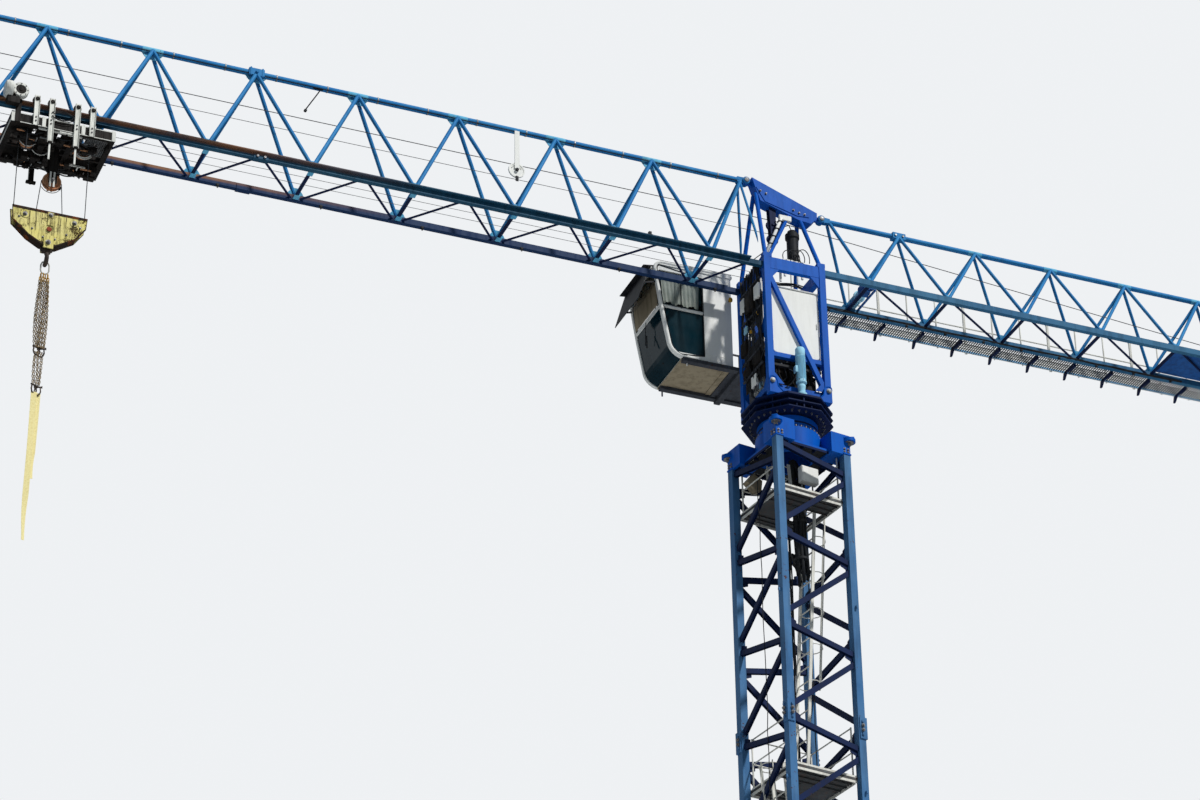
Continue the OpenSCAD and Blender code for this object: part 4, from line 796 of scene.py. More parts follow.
@dataclass
class Studio:
    """Camera, floor, background and lamps.

    Attributes:
        eye: Where the camera stands.
        right: The picture's right as a direction.
        up: The picture's upper edge as a direction.
        ahead: Where the camera looks.
        lens_mm: Focal length on a 36 mm wide sensor.
        floor_radius: Radius of the pale floor disc.
        fill: Colour of the light from all round.
        fill_strength: Strength of that light.
        backdrop: Colour of the background that the camera sees.
        gloss_share: Share of the background in reflections.
        suns: The lamps.
    """

    eye: Point = (-26.054, -53.758, -11.0)
    right: Point = (0.92690, -0.37509, -0.01287)
    up: Point = (-0.18198, -0.47916, 0.85866)
    ahead: Point = (0.32824, 0.79355, 0.51239)
    lens_mm: float = 109.80
    floor_radius: float = 28.0
    fill: tuple[float, ...] = (0.78, 0.9, 1.0, 1.0)
    fill_strength: float = 0.24
    backdrop: tuple[float, ...] = (0.86, 0.88, 0.9, 1.0)
    gloss_share: float = 0.12
    suns: tuple[Sun, ...] = (Sun("key", (-0.34, 0.6, -0.73), 3.2, 4), Sun("back", (0.5, -0.6, -0.5), 0.25, 50))

    def build(self) -> None:
        """Makes the camera, the lamps, the world and the floor."""
        self.camera()
        self.world()
        self.lamps()
        self.floor()
        bpy.context.scene.view_settings.view_transform = "Standard"

    def camera(self) -> None:
        """Puts the camera where the photograph was taken from."""
        data = bpy.data.cameras.new("camera")
        data.lens, data.sensor_width, data.sensor_fit = self.lens_mm, 36.0, "HORIZONTAL"
        data.clip_start, data.clip_end = 0.5, 2000.0
        camera = bpy.data.objects.new("camera", data)
        bpy.context.scene.collection.objects.link(camera)
        turn = Matrix((self.right, self.up, [-value for value in self.ahead])).transposed()
        camera.matrix_world = Matrix.Translation(self.eye) @ turn.to_4x4()
        bpy.context.scene.camera = camera

    def world(self) -> None:
        """Makes a pale background that lights the object at a lower, even level."""
        world = bpy.data.worlds.new("studio")
        bpy.context.scene.world = world
        world.use_nodes = True
        world.node_tree.nodes.clear()
        pen = NodePen(world.node_tree)
        path = pen.add("ShaderNodeLightPath")
        seen = pen.math("MAXIMUM", path.outputs["Is Camera Ray"], path.outputs["Is Transmission Ray"])
        fill = pen.add("ShaderNodeBackground")
        fill.inputs["Color"].default_value = self.fill
        fill.inputs["Strength"].default_value = self.fill_strength
        pale = pen.add("ShaderNodeBackground")
        pale.inputs["Color"].default_value = self.backdrop
        pale.inputs["Strength"].default_value = 1.0
        gloss = pen.math("MULTIPLY", path.outputs["Is Glossy Ray"], self.gloss_share)
        mixer = pen.add("ShaderNodeMixShader")
        pen.join(pen.math("MAXIMUM", seen, gloss), mixer.inputs[0])
        pen.join(fill.outputs[0], mixer.inputs[1])
        pen.join(pale.outputs[0], mixer.inputs[2])
        out = pen.add("ShaderNodeOutputWorld")
        pen.join(mixer.outputs[0], out.inputs["Surface"])

    def lamps(self) -> None:
        """Adds a key lamp high on the right and a weak one from behind."""
        for sun in self.suns:
            data = bpy.data.lights.new(sun.name, "SUN")
            data.energy, data.angle = sun.strength, math.radians(sun.spread)
            lamp = bpy.data.objects.new(sun.name, data)
            lamp.rotation_mode = "QUATERNION"
            lamp.rotation_quaternion = Vector(sun.towards).to_track_quat("-Z", "Y")
            bpy.context.scene.collection.objects.link(lamp)

    def floor(self) -> None:
        """Lays a pale round floor under the base cross."""
        bpy.ops.mesh.primitive_circle_add(vertices=96, radius=self.floor_radius, fill_type="NGON",
                                          location=(0, 0, -0.004))
        floor = bpy.context.object
        floor.name = "studio_floor"
        bpy.ops.object.transform_apply(location=True, rotation=True, scale=True)
        material = bpy.data.materials.new("studio_floor")
        material.use_nodes = True
        pen = NodePen(material.node_tree)
        shader = material.node_tree.nodes["Principled BSDF"]
        clouds = pen.noise(Finish.place(pen), 0.3, 3)
        pen.join(pen.mix(pen.ramp(clouds, 0.3, 0.7), srgb(226, 227, 228), srgb(220, 221, 223)),
                 shader.inputs["Base Color"])
        shader.inputs["Roughness"].default_value = 0.9
        floor.data.materials.append(material)


# Modelling


class Shop:
    """Models pieces by hand steps: primitives at their size and place, shaped in edit mode.

    Attributes:
        SMOOTH: Angle in degrees below which an edge of a piece is shaded smooth.
        CLOTH_SMOOTH: The same for cloth.
    """

    SMOOTH = 38
    CLOTH_SMOOTH = 50

    @staticmethod
    def only(*objects: bpy.types.Object) -> None:
        """Leaves just these objects selected, the first one active.

        Args:
            objects: The objects, one or more.
        """
        bpy.ops.object.select_all(action="DESELECT")
        for obj in objects:
            obj.select_set(True)
        bpy.context.view_layer.objects.active = objects[0]

    @staticmethod
    def edit(kind: str = "VERT") -> None:
        """Opens the active object's mesh with everything selected.

        Args:
            kind: What is selected: vertices, edges or faces.
        """
        bpy.ops.object.mode_set(mode="EDIT")
        bpy.ops.mesh.select_mode(type=kind)
        bpy.ops.mesh.select_all(action="SELECT")

    @staticmethod
    def close() -> bpy.types.Object:
        """Leaves edit mode and returns the object."""
        bpy.ops.object.mode_set(mode="OBJECT")
        return bpy.context.object

    @classmethod
    def box(cls, corner: Point, opposite: Point, bevel: float = 0.004, segments: int = 1) -> bpy.types.Object:
        """A box with bevelled edges.

        Args:
            corner: Any corner.
            opposite: The corner opposite to it.
            bevel: Width of the bevel, 0 for none.
            segments: Steps of the bevel.

        Returns:
            The piece.
        """
        middle = [(a + b) / 2 for a, b in zip(corner, opposite)]
        bpy.ops.mesh.primitive_cube_add(size=1, location=middle)
        bpy.context.object.scale = [abs(b - a) for a, b in zip(corner, opposite)]
        bpy.ops.object.transform_apply(location=True, rotation=True, scale=True)
        if bevel:
            cls.edit("EDGE")
            bpy.ops.mesh.bevel(offset=bevel, segments=segments, affect="EDGES")
            cls.close()
        return bpy.context.object

    @classmethod
    def tube(cls, start: Point, end: Point, radius: float, sides: int = 10,
             bevel: float = 0.0) -> bpy.types.Object:
        """A round bar from one point to another, its rims bevelled.

        Args:
            start: Middle of one end.
            end: Middle of the other end.
            radius: Radius of the bar.
            sides: Faces round it.
            bevel: Width of the rims' bevel.

        Returns:
            The piece.
        """
        first, last = Vector(start), Vector(end)
        run = last - first
        bpy.ops.mesh.primitive_cylinder_add(vertices=sides, radius=radius, depth=run.length,
                                            location=(first + last) / 2,
                                            rotation=run.to_track_quat("Z", "Y").to_euler())
        bpy.ops.object.transform_apply(location=True, rotation=True, scale=True)
        if bevel:
            obj = bpy.context.object
            for edge in obj.data.edges:
                ends = [obj.data.vertices[index].co for index in edge.vertices]
                edge.select = abs((ends[1] - ends[0]).dot(run)) < 1e-4 * run.length
            bpy.ops.object.mode_set(mode="EDIT")
            bpy.ops.mesh.select_mode(type="EDGE")
            bpy.ops.mesh.bevel(offset=bevel, segments=1, affect="EDGES")
            cls.close()
        return bpy.context.object

    @classmethod
    def chain(cls, points: Sequence[Point]) -> bpy.types.Object:
        """A line of vertices drawn by extruding a single one from point to point.

        Args:
            points: Where the vertices lie.

        Returns:
            The line, still open in edit mode.
        """
        bpy.ops.mesh.primitive_plane_add(size=0.01, location=points[0])
        bpy.ops.object.transform_apply(location=True, rotation=True, scale=True)
        cls.edit()
        bpy.ops.mesh.merge(type="CENTER")
        for a, b in zip(points, points[1:]):
            bpy.ops.mesh.extrude_region_move(TRANSFORM_OT_translate={"value": Vector(b) - Vector(a)})
        bpy.ops.mesh.select_all(action="SELECT")
        return bpy.context.object

    @classmethod
    def sheet(cls, outline: Sequence[Point], depth: Point, bevel: float = 0.0) -> bpy.types.Object:
        """A plate with the given outline, extruded by a vector.

        Args:
            outline: Corners in order.
            depth: Thickness as a vector.
            bevel: Width of the edges' bevel.

        Returns:
            The piece.
        """
        cls.chain([*outline, outline[0]])
        bpy.ops.mesh.remove_doubles(threshold=0.0002)
        bpy.ops.mesh.edge_face_add()
        bpy.ops.mesh.extrude_region_move(TRANSFORM_OT_translate={"value": Vector(depth)})
        bpy.ops.mesh.select_all(action="SELECT")
        bpy.ops.mesh.normals_make_consistent(inside=False)
        if bevel:
            bpy.ops.mesh.bevel(offset=bevel, segments=1, affect="EDGES")
        return cls.close()

    @classmethod
    def spun(cls, profile: Sequence[Point], centre: Point, axis: Axis, steps: int = 32) -> bpy.types.Object:
        """A turned piece.

        Args:
            profile: Points of the section, in order and closed if the first is repeated.
            centre: A point of the turning axis.
            axis: Its direction.
            steps: Faces round it.

        Returns:
            The piece.
        """
        cls.chain(profile)
        bpy.ops.mesh.spin(steps=steps, angle=TURN, center=centre, axis=axis.value)
        bpy.ops.mesh.select_all(action="SELECT")
        bpy.ops.mesh.remove_doubles(threshold=0.0003)
        bpy.ops.mesh.normals_make_consistent(inside=False)
        return cls.close()

    @classmethod
    def rod(cls, points: Sequence[Point], radius: float, steps: int = 1,
            widths: Sequence[float] = ()) -> bpy.types.Object:
        """A bent rod or cable along a line of points.

        Args:
            points: The line.
            radius: Radius of the rod, or the unit of its widths.
            steps: Fineness of the rod's section.
            widths: Radius at each point in units of the radius, for a rod that tapers.

        Returns:
            The piece.
        """
        cls.chain(points)
        cls.close()
        bpy.ops.object.convert(target="CURVE")
        curve = bpy.context.object.data
        line = curve.splines[0].points
        order = range(len(line)) if (line[0].co.xyz - Vector(points[0])).length < 1e-4 else reversed(
            range(len(line)))
        for index, width in zip(order, widths):
            line[index].radius = width
        curve.bevel_depth, curve.bevel_resolution, curve.use_fill_caps = radius, steps, True
        bpy.ops.object.convert(target="MESH")
        return bpy.context.object

    @classmethod
    def turned(cls, section: Sequence[tuple[float, float]], centre: Point, axis: Axis,
               steps: int = 32) -> bpy.types.Object:
        """A turned piece drawn as radii and places along its axis.

        Args:
            section: Radius and place along the axis of each point, in order.
            centre: The point of the axis from which the places count.
            axis: The direction of the axis.
            steps: Faces round it.

        Returns:
            The piece.
        """
        along, out = Vector(axis.value), Vector(Axis.X.value if axis is not Axis.X else Axis.Z.value)
        points = [Vector(centre) + along * place + out * radius for radius, place in section]
        return cls.spun(points, centre, axis, steps)

    @classmethod
    def wheel(cls, centre: Point, radius: float, width: float, groove: float, hub: float) -> bpy.types.Object:
        """A rope sheave or drum across the jib: grooved rim, dished web and hub.

        Args:
            centre: Middle of the wheel.
            radius: Radius over the rim.
            width: Width of the rim.
            groove: Depth of the groove in the rim.
            hub: Radius of the hub.

        Returns:
            The piece.
        """
        half = width / 2
        side = [(0.012, 1.1), (hub, 1.1), (hub * 1.1, 0.35), (radius * 0.8, 0.35), (radius * 0.84, 1),
                (radius, 1), (radius, 0.75), (radius - groove, 0.3)]
        section = [(out, -half * share) for out, share in side]
        section += [(out, half * share) for out, share in reversed(side)]
        return cls.turned(section, centre, Axis.Y)

    @classmethod
    def nut(cls, foot: Point, axis: Point, across: float, height: float) -> bpy.types.Object:
        """A hexagon head with a washer under it and a stud end above it.

        Args:
            foot: Middle of its underside.
            axis: Direction in which it stands.
            across: Width of the head.
            height: Height of washer and head.

        Returns:
            The piece.
        """
        base, way = Vector(foot), Vector(axis).normalized()
        pieces = [cls.tube(base, base + way * height * 0.2, across * 0.72, 12),
                  cls.tube(base + way * height * 0.2, base + way * height, across * 0.58, 6, height * 0.12),
                  cls.tube(base + way * height, base + way * height * 1.45, across * 0.3, 8)]
        return cls.join(pieces)

    @classmethod
    def join(cls, pieces: Sequence[bpy.types.Object]) -> bpy.types.Object:
        """Joins pieces into the first one.

        Args:
            pieces: The pieces.

        Returns:
            The first piece, which now holds all.
        """
        if len(pieces) > 1:
            cls.only(*pieces)
            bpy.ops.object.join()
        return pieces[0]

    @staticmethod
    def copies(obj: bpy.types.Object, moves: Iterable[Matrix]) -> list[bpy.types.Object]:
        """Copies a modelled piece, each copy with its own mesh; the pattern itself is removed.

        Args:
            obj: The pattern.
            moves: One move for each copy.

        Returns:
            The copies.
        """
        made = []
        for move in moves:
            twin = obj.copy()
            twin.data = obj.data.copy()
            twin.data.transform(move)
            bpy.context.scene.collection.objects.link(twin)
            made.append(twin)
        bpy.data.objects.remove(obj)
        return made

    @classmethod
    def cloth(cls, width: float, length: float, cells: tuple[int, int],
              fold: Callable[[Vector, float], None]) -> bpy.types.Object:
        """An upright sheet of cloth, drawn flat about the origin and then folded.

        Args:
            width: Width of the flat cloth.
            length: Height of the flat cloth.
            cells: Number of cells across it and down it.
            fold: Moves a vertex, given its place and the share of the length above it.

        Returns:
            The cloth.
        """
        bpy.ops.mesh.primitive_grid_add(x_subdivisions=cells[0], y_subdivisions=cells[1], size=1,
                                        location=(0, 0, 0))
        cloth = bpy.context.object
        cloth.scale = (width, length, 1)
        cloth.rotation_euler = (math.pi / 2, 0, 0)
        bpy.ops.object.transform_apply(location=True, rotation=True, scale=True)
        for vertex in cloth.data.vertices:
            fold(vertex.co, 0.5 - vertex.co.z / length)
        return cloth

    @classmethod
    def thicken(cls, cloth: bpy.types.Object, thickness: float) -> None:
        """Gives a cloth its thickness and smooth folds.

        Args:
            cloth: The cloth.
            thickness: Its thickness.
        """
        solid = cloth.modifiers.new("thickness", "SOLIDIFY")
        solid.thickness, solid.offset = thickness, 0.0
        cls.only(cloth)
        bpy.ops.object.modifier_apply(modifier=solid.name)
        bpy.ops.object.shade_smooth_by_angle(angle=math.radians(cls.CLOTH_SMOOTH))

    @classmethod
    def shifted(cls, obj: bpy.types.Object, offsets: Iterable[Point]) -> list[bpy.types.Object]:
        """Copies of a piece moved by each offset.

        Args:
            obj: The pattern, which is removed.
            offsets: One offset for each copy.

        Returns:
            The copies.
        """
        return cls.copies(obj, [Matrix.Translation(Vector(offset)) for offset in offsets])


@dataclass
class Kit:
    """The pieces of one sub-assembly, joined by finish when it is closed.

    Attributes:
        name: Name of the sub-assembly.
        body: The CAD body that it moves with.
        turn: Angle in degrees about +Z at which the drawn pieces stand.
        origin: Place of the drawing's origin on the crane.
    """

    name: str
    body: Body
    turn: float = 0.0
    origin: Point = (0.0, 0.0, 0.0)
    pieces: dict[Finish, list[bpy.types.Object]] = field(default_factory=dict)

    def put(self, finish: Finish, *pieces: bpy.types.Object) -> None:
        """Keeps pieces for a finish.

        Args:
            finish: The finish.
            pieces: The pieces.
        """
        self.pieces.setdefault(finish, []).extend(pieces)

    def settle(self, obj: bpy.types.Object, name: str, offset: Point = (0.0, 0.0, 0.0)) -> None:
        """Moves a drawn piece to its place on the crane and names it.

        Args:
            obj: The piece.
            name: Its name after the sub-assembly's.
            offset: Its place in the drawing.
        """
        obj.name = f"{self.name}_{name}"
        turn = Matrix.Rotation(math.radians(self.turn), 4, "Z")
        obj.data.transform(Matrix.Translation(Vector(self.origin) + Vector(offset)) @ turn)

    def fasten(self, obj: bpy.types.Object, finish: Finish) -> None:
        """Gives a piece its finish and the body that it rides on.

        Args:
            obj: The piece.
            finish: Its finish.
        """
        obj.data.materials.clear()
        obj.data.materials.append(finish.material())
        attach(obj, self.body.value)

    def build(self) -> "Kit":
        """Models the sub-assembly's pieces. Each sub-assembly has its own steps."""
        raise NotImplementedError

    def dress(self, stands_for: dict[Finish, tuple[str, ...]] | None = None) -> list[bpy.types.Object]:
        """Joins the pieces of each finish, finishes them and fastens them to the body.

        Args:
            stands_for: CAD nodes that a finish's piece takes the place of.

        Returns:
            The finished pieces.
        """
        made = []
        for finish, pieces in self.pieces.items():
            obj = Shop.join(pieces)
            self.settle(obj, finish.name)
            Shop.only(obj)
            Shop.edit()
            bpy.ops.mesh.normals_make_consistent(inside=False)
            Shop.close()
            bpy.ops.object.shade_smooth_by_angle(angle=math.radians(Shop.SMOOTH))
            self.fasten(obj, finish)
            if stands_for and finish in stands_for:
                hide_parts(*stands_for[finish])
            made.append(obj)
            LOG.info("%s: %d faces", obj.name, len(obj.data.polygons))
        return made


def spins(count: int, first: float = 0.0, axis: str = "Z") -> list[Matrix]:
    """Turns for copies that stand evenly round an axis through the origin.

    Args:
        count: Number of copies.
        first: Angle of the first copy in degrees.
        axis: The axis.

    Returns:
        One matrix for each copy.
    """
    return [Matrix.Rotation(math.radians(first) + TURN / count * index, 4, axis) for index in range(count)]


def ring_of(count: int, radius: float, height: float = 0.0, first: float = 0.0) -> list[Matrix]:
    """Places for copies round the Z axis of a piece that is modelled at the origin.

    Args:
        count: Number of copies.
        radius: Distance from the axis.
        height: Height of the ring.
        first: Angle of the first copy in degrees.

    Returns:
        One matrix for each copy.
    """
    return [turn @ Matrix.Translation((radius, 0, height)) for turn in spins(count, first)]


def arc(centre: Point, reach: tuple[float, float], first: float, step: float, count: int,
        across: Axis = Axis.X) -> list[Point]:
    """Points of an upright arc, round or oval.

    Args:
        centre: Middle of the arc.
        reach: Its level and its upright radius.
        first: Angle of the first point in degrees.
        step: Angle from one point to the next.
        count: Number of points.
        across: Level direction in which angle 0 lies.

    Returns:
        The points.
    """
    level, upright = Vector(across.value) * reach[0], Vector(Axis.Z.value) * reach[1]
    angles = [math.radians(first + step * index) for index in range(count)]
    return [Vector(centre) + level * math.cos(angle) + upright * math.sin(angle) for angle in angles]


@dataclass
class Mast(Kit):
    """Gussets, bolts, ladder cages, landing rails, cables and small boxes of the mast, drawn unturned.

    Attributes:
        half: Distance of a leg's middle from the mast's middle.
        leg: Width of a leg.
        base: Height at which the lowest bay starts.
        bay: Height of a bay.
        sections: Sections of three bays.
        head_z: Top of the uppermost ladder's cage.
    """

    name: str = "mast"
    body: Body = Body.MAST
    turn: float = MAST_TURN
    half: float = 0.756
    leg: float = 0.15
    base: float = 0.55
    bay: float = 1.88
    sections: int = 4
    head_z: float = 22.95

    def build(self) -> "Mast":
        """Models the mast's pieces from the foot up.
        """
        self.anchors()
        self.gussets()
        self.flanges()
        self.joints()
        for index in range(self.sections + 1):
            self.cage(index)
        for index in range(1, self.sections + 1):
            self.landing(index)
        self.cables()
        self.boxes()
        return self

    def landing_z(self, index: int) -> float:
        """Returns the top of a landing, or of the base cross for the lowest ladder."""
        return 0.321 if index == 0 else self.base + 3 * self.bay * index - 0.955

    def brace_z(self, level: int) -> float:
        """Returns the height at which the braces of a bay meet the legs."""
        return self.base + self.bay * (level + 1) - 0.425

    def anchors(self) -> None:
        """Anchor nuts on the arms of the cross, with stiffeners between its flanges."""
        reach = self.half * math.sqrt(2)
        for radius in (reach - 0.33, reach + 0.36):
            self.put(BOLT_STEEL,
                     *Shop.copies(Shop.nut((0, 0, 0), (0, 0, 1), 0.08, 0.05), ring_of(4, radius, 0.04, 45)))
        rib = Shop.box((-0.006, -0.145, 0.04), (0.006, -0.111, 0.28), 0.001)
        other = Shop.box((-0.006, 0.111, 0.04), (0.006, 0.145, 0.28), 0.001)
        pattern = Shop.join([rib, other])
        moves = [move for radius in (0.45, reach - 0.12, reach + 0.12, reach + 0.44)
                 for move in ring_of(4, radius, 0, 45)]
        self.put(BASE_BLUE, *Shop.copies(pattern, moves))

    def gussets(self) -> None:
        """A plate at each end of each brace, the braces' ends lying on it."""
        outline = [(0, -0.11), (0.16, -0.04), (0.16, 0.05), (0, 0.13)]
        plate = Shop.sheet([(x, 0, z) for x, z in outline], (0, 0.012, 0))
        edge = self.half - self.leg / 2
        moves = []
        for level in range(self.sections * 3):
            z = self.brace_z(level)
            for turn in QUARTERS:
                moves.append(turn @ Matrix.Translation((-edge, -self.half - 0.006, z + 0.36)))
                moves.append(turn @ Matrix.Translation((edge, -self.half - 0.006, z - 0.03)) @
                             Matrix.Scale(-1, 4, (1, 0, 0)))
        self.put(BRACE_NAVY, *Shop.copies(plate, moves))

    def flanges(self) -> None:
        """Flat flanges on the outer and inner face of every brace, so that each reads as a rolled section."""
        edge, half = 0.68, self.half
        pairs = []
        for left, right in ((0.34, 0.0), (0.54 - self.bay, -0.13)):
            slope = (right - left) / (2 * half)
            tall = 0.052 * math.sqrt(1 + slope * slope)
            ends = [(-edge, left + slope * (half - edge)), (edge, right - slope * (half - edge))]
            outline = [(ends[0][0], ends[0][1] - tall), (ends[1][0], ends[1][1] - tall),
                       (ends[1][0], ends[1][1] + tall), (ends[0][0], ends[0][1] + tall)]
            for y in (-half - 0.0375, -half + 0.0315):
                pairs.append(Shop.sheet([(x, y, z) for x, z in outline], (0, 0.006, 0), 0.0015))
        pattern = Shop.join(pairs)
        moves = [turn @ Matrix.Translation((0, 0, self.brace_z(level))) for level in range(self.sections * 3)
                 for turn in QUARTERS]
        self.put(BRACE_NAVY, *Shop.copies(pattern, moves))

    def joints(self) -> None:
        """Pin heads, split pins and collars on the leg joints."""
        out = self.half + self.leg / 2 + 0.022
        head = Shop.join([Shop.tube((0, 0, 0), (0.034, 0, 0), 0.034, 14, 0.005),
                          Shop.tube((0.034, 0, 0), (0.052, 0, 0), 0.018, 10, 0.003)])
        moves = []
        for index in range(self.sections):
            centre = self.base + 3 * self.bay * index + (0.21 if index == 0 else 0)
            for turn in QUARTERS:
                for z in (centre - 0.045, centre + 0.045):
                    moves.append(turn @ Matrix.Translation((out, self.half, z)))
                    moves.append(turn @ Matrix.Translation((out, -self.half, z)))
        self.put(BOLT_STEEL, *Shop.copies(head, moves))
        lug = Shop.box((-0.02, -0.05, -0.03), (0.012, 0.05, 0.03), 0.004)
        marks = [turn @ Matrix.Translation((-self.half, out - 0.02, z)) for turn in QUARTERS
                 for z in (19.9, 16.2, 12.6)]
        self.put(LEG_BLUE, *Shop.copies(lug, marks))

    def cage(self, index: int) -> None:
        """Safety hoops and strips on the open side of one ladder.

        Args:
            index: Number of the ladder from the foot up.
        """
        side = -1 if index % 2 == 0 else 1
        foot = self.landing_z(index)
        top = self.head_z if index == self.sections else self.landing_z(index + 1) + 0.25
        start = foot + (2.1 if index < self.sections else 0.3)

        def rail(z: float) -> float:
            """Returns the ladder's place along X at a height."""
            return side * (0.02 + 0.078 * (z - foot))

        arc = [(0.0, -0.2), (0.12, -0.235), (0.24, -0.2), (0.325, -0.1), (0.35, 0.0), (0.325, 0.1), (0.24, 0.2),
               (0.12, 0.235), (0.0, 0.2)]
        count = max(2, int((top - start) / 0.72))
        for step in range(count + 1):
            z = start + (top - start) * step / count
            self.put(LADDER_WHITE, Shop.rod([(rail(z) + side * x, 0.1 + y, z) for x, y in arc], 0.009))
        for x, y in ((0.24, -0.2), (0.35, 0.0), (0.24, 0.2)):
            ends = [(rail(z) + side * (x - 0.006), 0.1 + y, z) for z in (start - 0.05, top + 0.05)]
            self.put(LADDER_WHITE, Shop.tube(*ends, 0.013 if y else 0.02, 6, 0.002))

    def landing(self, index: int) -> None:
        """Edge angles, tread bars in zinc darkened as painted shade, and guard rail of one landing.

        Args:
            index: Number of the landing from the foot up.
        """
        z = self.landing_z(index)
        edge_x, edge_y = 0.672, 0.712
        for low, high in (((-edge_x, -edge_y, z - 0.1), (edge_x, -edge_y + 0.012, z + 0.045)),
                          ((-edge_x, edge_y - 0.012, z - 0.1), (edge_x, edge_y, z + 0.045)),
                          ((-edge_x, -0.66, z - 0.1), (-edge_x + 0.012, 0.66, z + 0.045)),
                          ((edge_x - 0.012, -0.66, z - 0.1), (edge_x, 0.66, z + 0.045))):
            self.put(LADDER_WHITE, Shop.box(low, high, 0.003))
        bars = [(0, y, 0) for y in (-0.55, -0.38, -0.21, 0.42, 0.56)]
        # The tread bars take the zinc that is darkened as painted shade.
        self.put(SHADE_DARK_ZINC,
                 *Shop.shifted(Shop.box((-0.66, -0.008, z - 0.075), (0.66, 0.008, z - 0.044), 0.0015), bars))
        corners = ((-0.64, -0.64), (0.64, -0.64), (0.64, 0.64), (-0.64, 0.64))
        for x, y in corners:
            self.put(LADDER_WHITE, Shop.tube((x, y, z), (x, y, z + 1.02), 0.017, 8, 0.003))
        for height in (0.52, 1.0):
            for start, end in zip(corners[1:], corners[2:] + corners[:1]):
                self.put(LADDER_WHITE, Shop.tube((*start, z + height), (*end, z + height), 0.014, 8, 0.002))

    def cables(self) -> None:
        """Power cables tied up the inside of the mast."""
        for x, y, radius, seed in ((-0.80, -0.12, 0.009, 3), (0.30, 0.55, 0.018, 5), (0.35, 0.58, 0.014, 8),
                                   (0.6, 0.4, 0.012, 4)):
            draw = random.Random(seed)
            points = [(x + draw.uniform(-0.012, 0.012), y + draw.uniform(-0.012, 0.012), 0.4 + 0.47 * step)
                      for step in range(48)]
            self.put(BLACK, Shop.rod(points, radius))
        for index in range(9):
            draw = random.Random(60 + index)
            x, y = 0.19 + 0.1 * math.cos(2.4 * index), 0.1 * math.sin(2.4 * index)
            drop = 20.75 + draw.uniform(0, 0.5)
            points = [(0.4 * x, 0.4 * y, 23.2), (x, y, 22.9), (x + draw.uniform(-0.02, 0.02), y, 22.3),
                      (x, y + draw.uniform(-0.02, 0.02), 21.6), (x + 0.02, y, drop),
                      (x + 0.06, y + 0.06, drop - 0.12), (x + 0.12, y + 0.1, drop), (0.32, 0.5, 21.5)]
            self.put(BLACK, Shop.rod(points, draw.choice((0.024, 0.03, 0.036)), 2))
        self.put(BLACK,
                 *[Shop.tube((0.19, 0.0, z), (0.19, 0.0, z + 0.05), 0.138, 18, 0.006)
                   for z in (22.72, 21.9, 21.1)])
        clip = Shop.box((0.26, 0.555, 0), (0.40, 0.63, 0.04), 0.004)
        self.put(ZINC, *Shop.shifted(clip, [(0, 0, 1.2 + 1.88 * step) for step in range(12)]))

    def boxes(self) -> None:
        """White junction box, beige floodlight and cable duct under the ring support."""
        self.put(WHITE, Shop.box((-0.07, -0.52, 22.50), (0.30, -0.38, 22.83), 0.012, 2),
                 Shop.box((-0.055, -0.532, 22.52), (0.285, -0.518, 22.81), 0.004))
        self.put(ZINC, *[Shop.tube((x, -0.39, 22.2), (x, -0.39, 22.9), 0.016, 8, 0.003) for x in (0.0, 0.24)])
        lamp = [(-0.67, -0.03), (-0.46, -0.2), (-0.34, -0.15), (-0.31, 0.07), (-0.5, 0.19)]
        self.put(BEIGE, Shop.sheet([(x, 0.44, 22.82 + z) for x, z in lamp], (0, 0.16, 0), 0.012))
        self.put(BRACE_NAVY, Shop.rod([(-0.66, 0.52, 23.0), (-0.5, 0.52, 23.02), (-0.5, 0.52, 22.9)], 0.016))
        self.put(BLACK, Shop.box((0.04, 0.42, 20.9), (0.2, 0.56, 21.5), 0.02, 2))


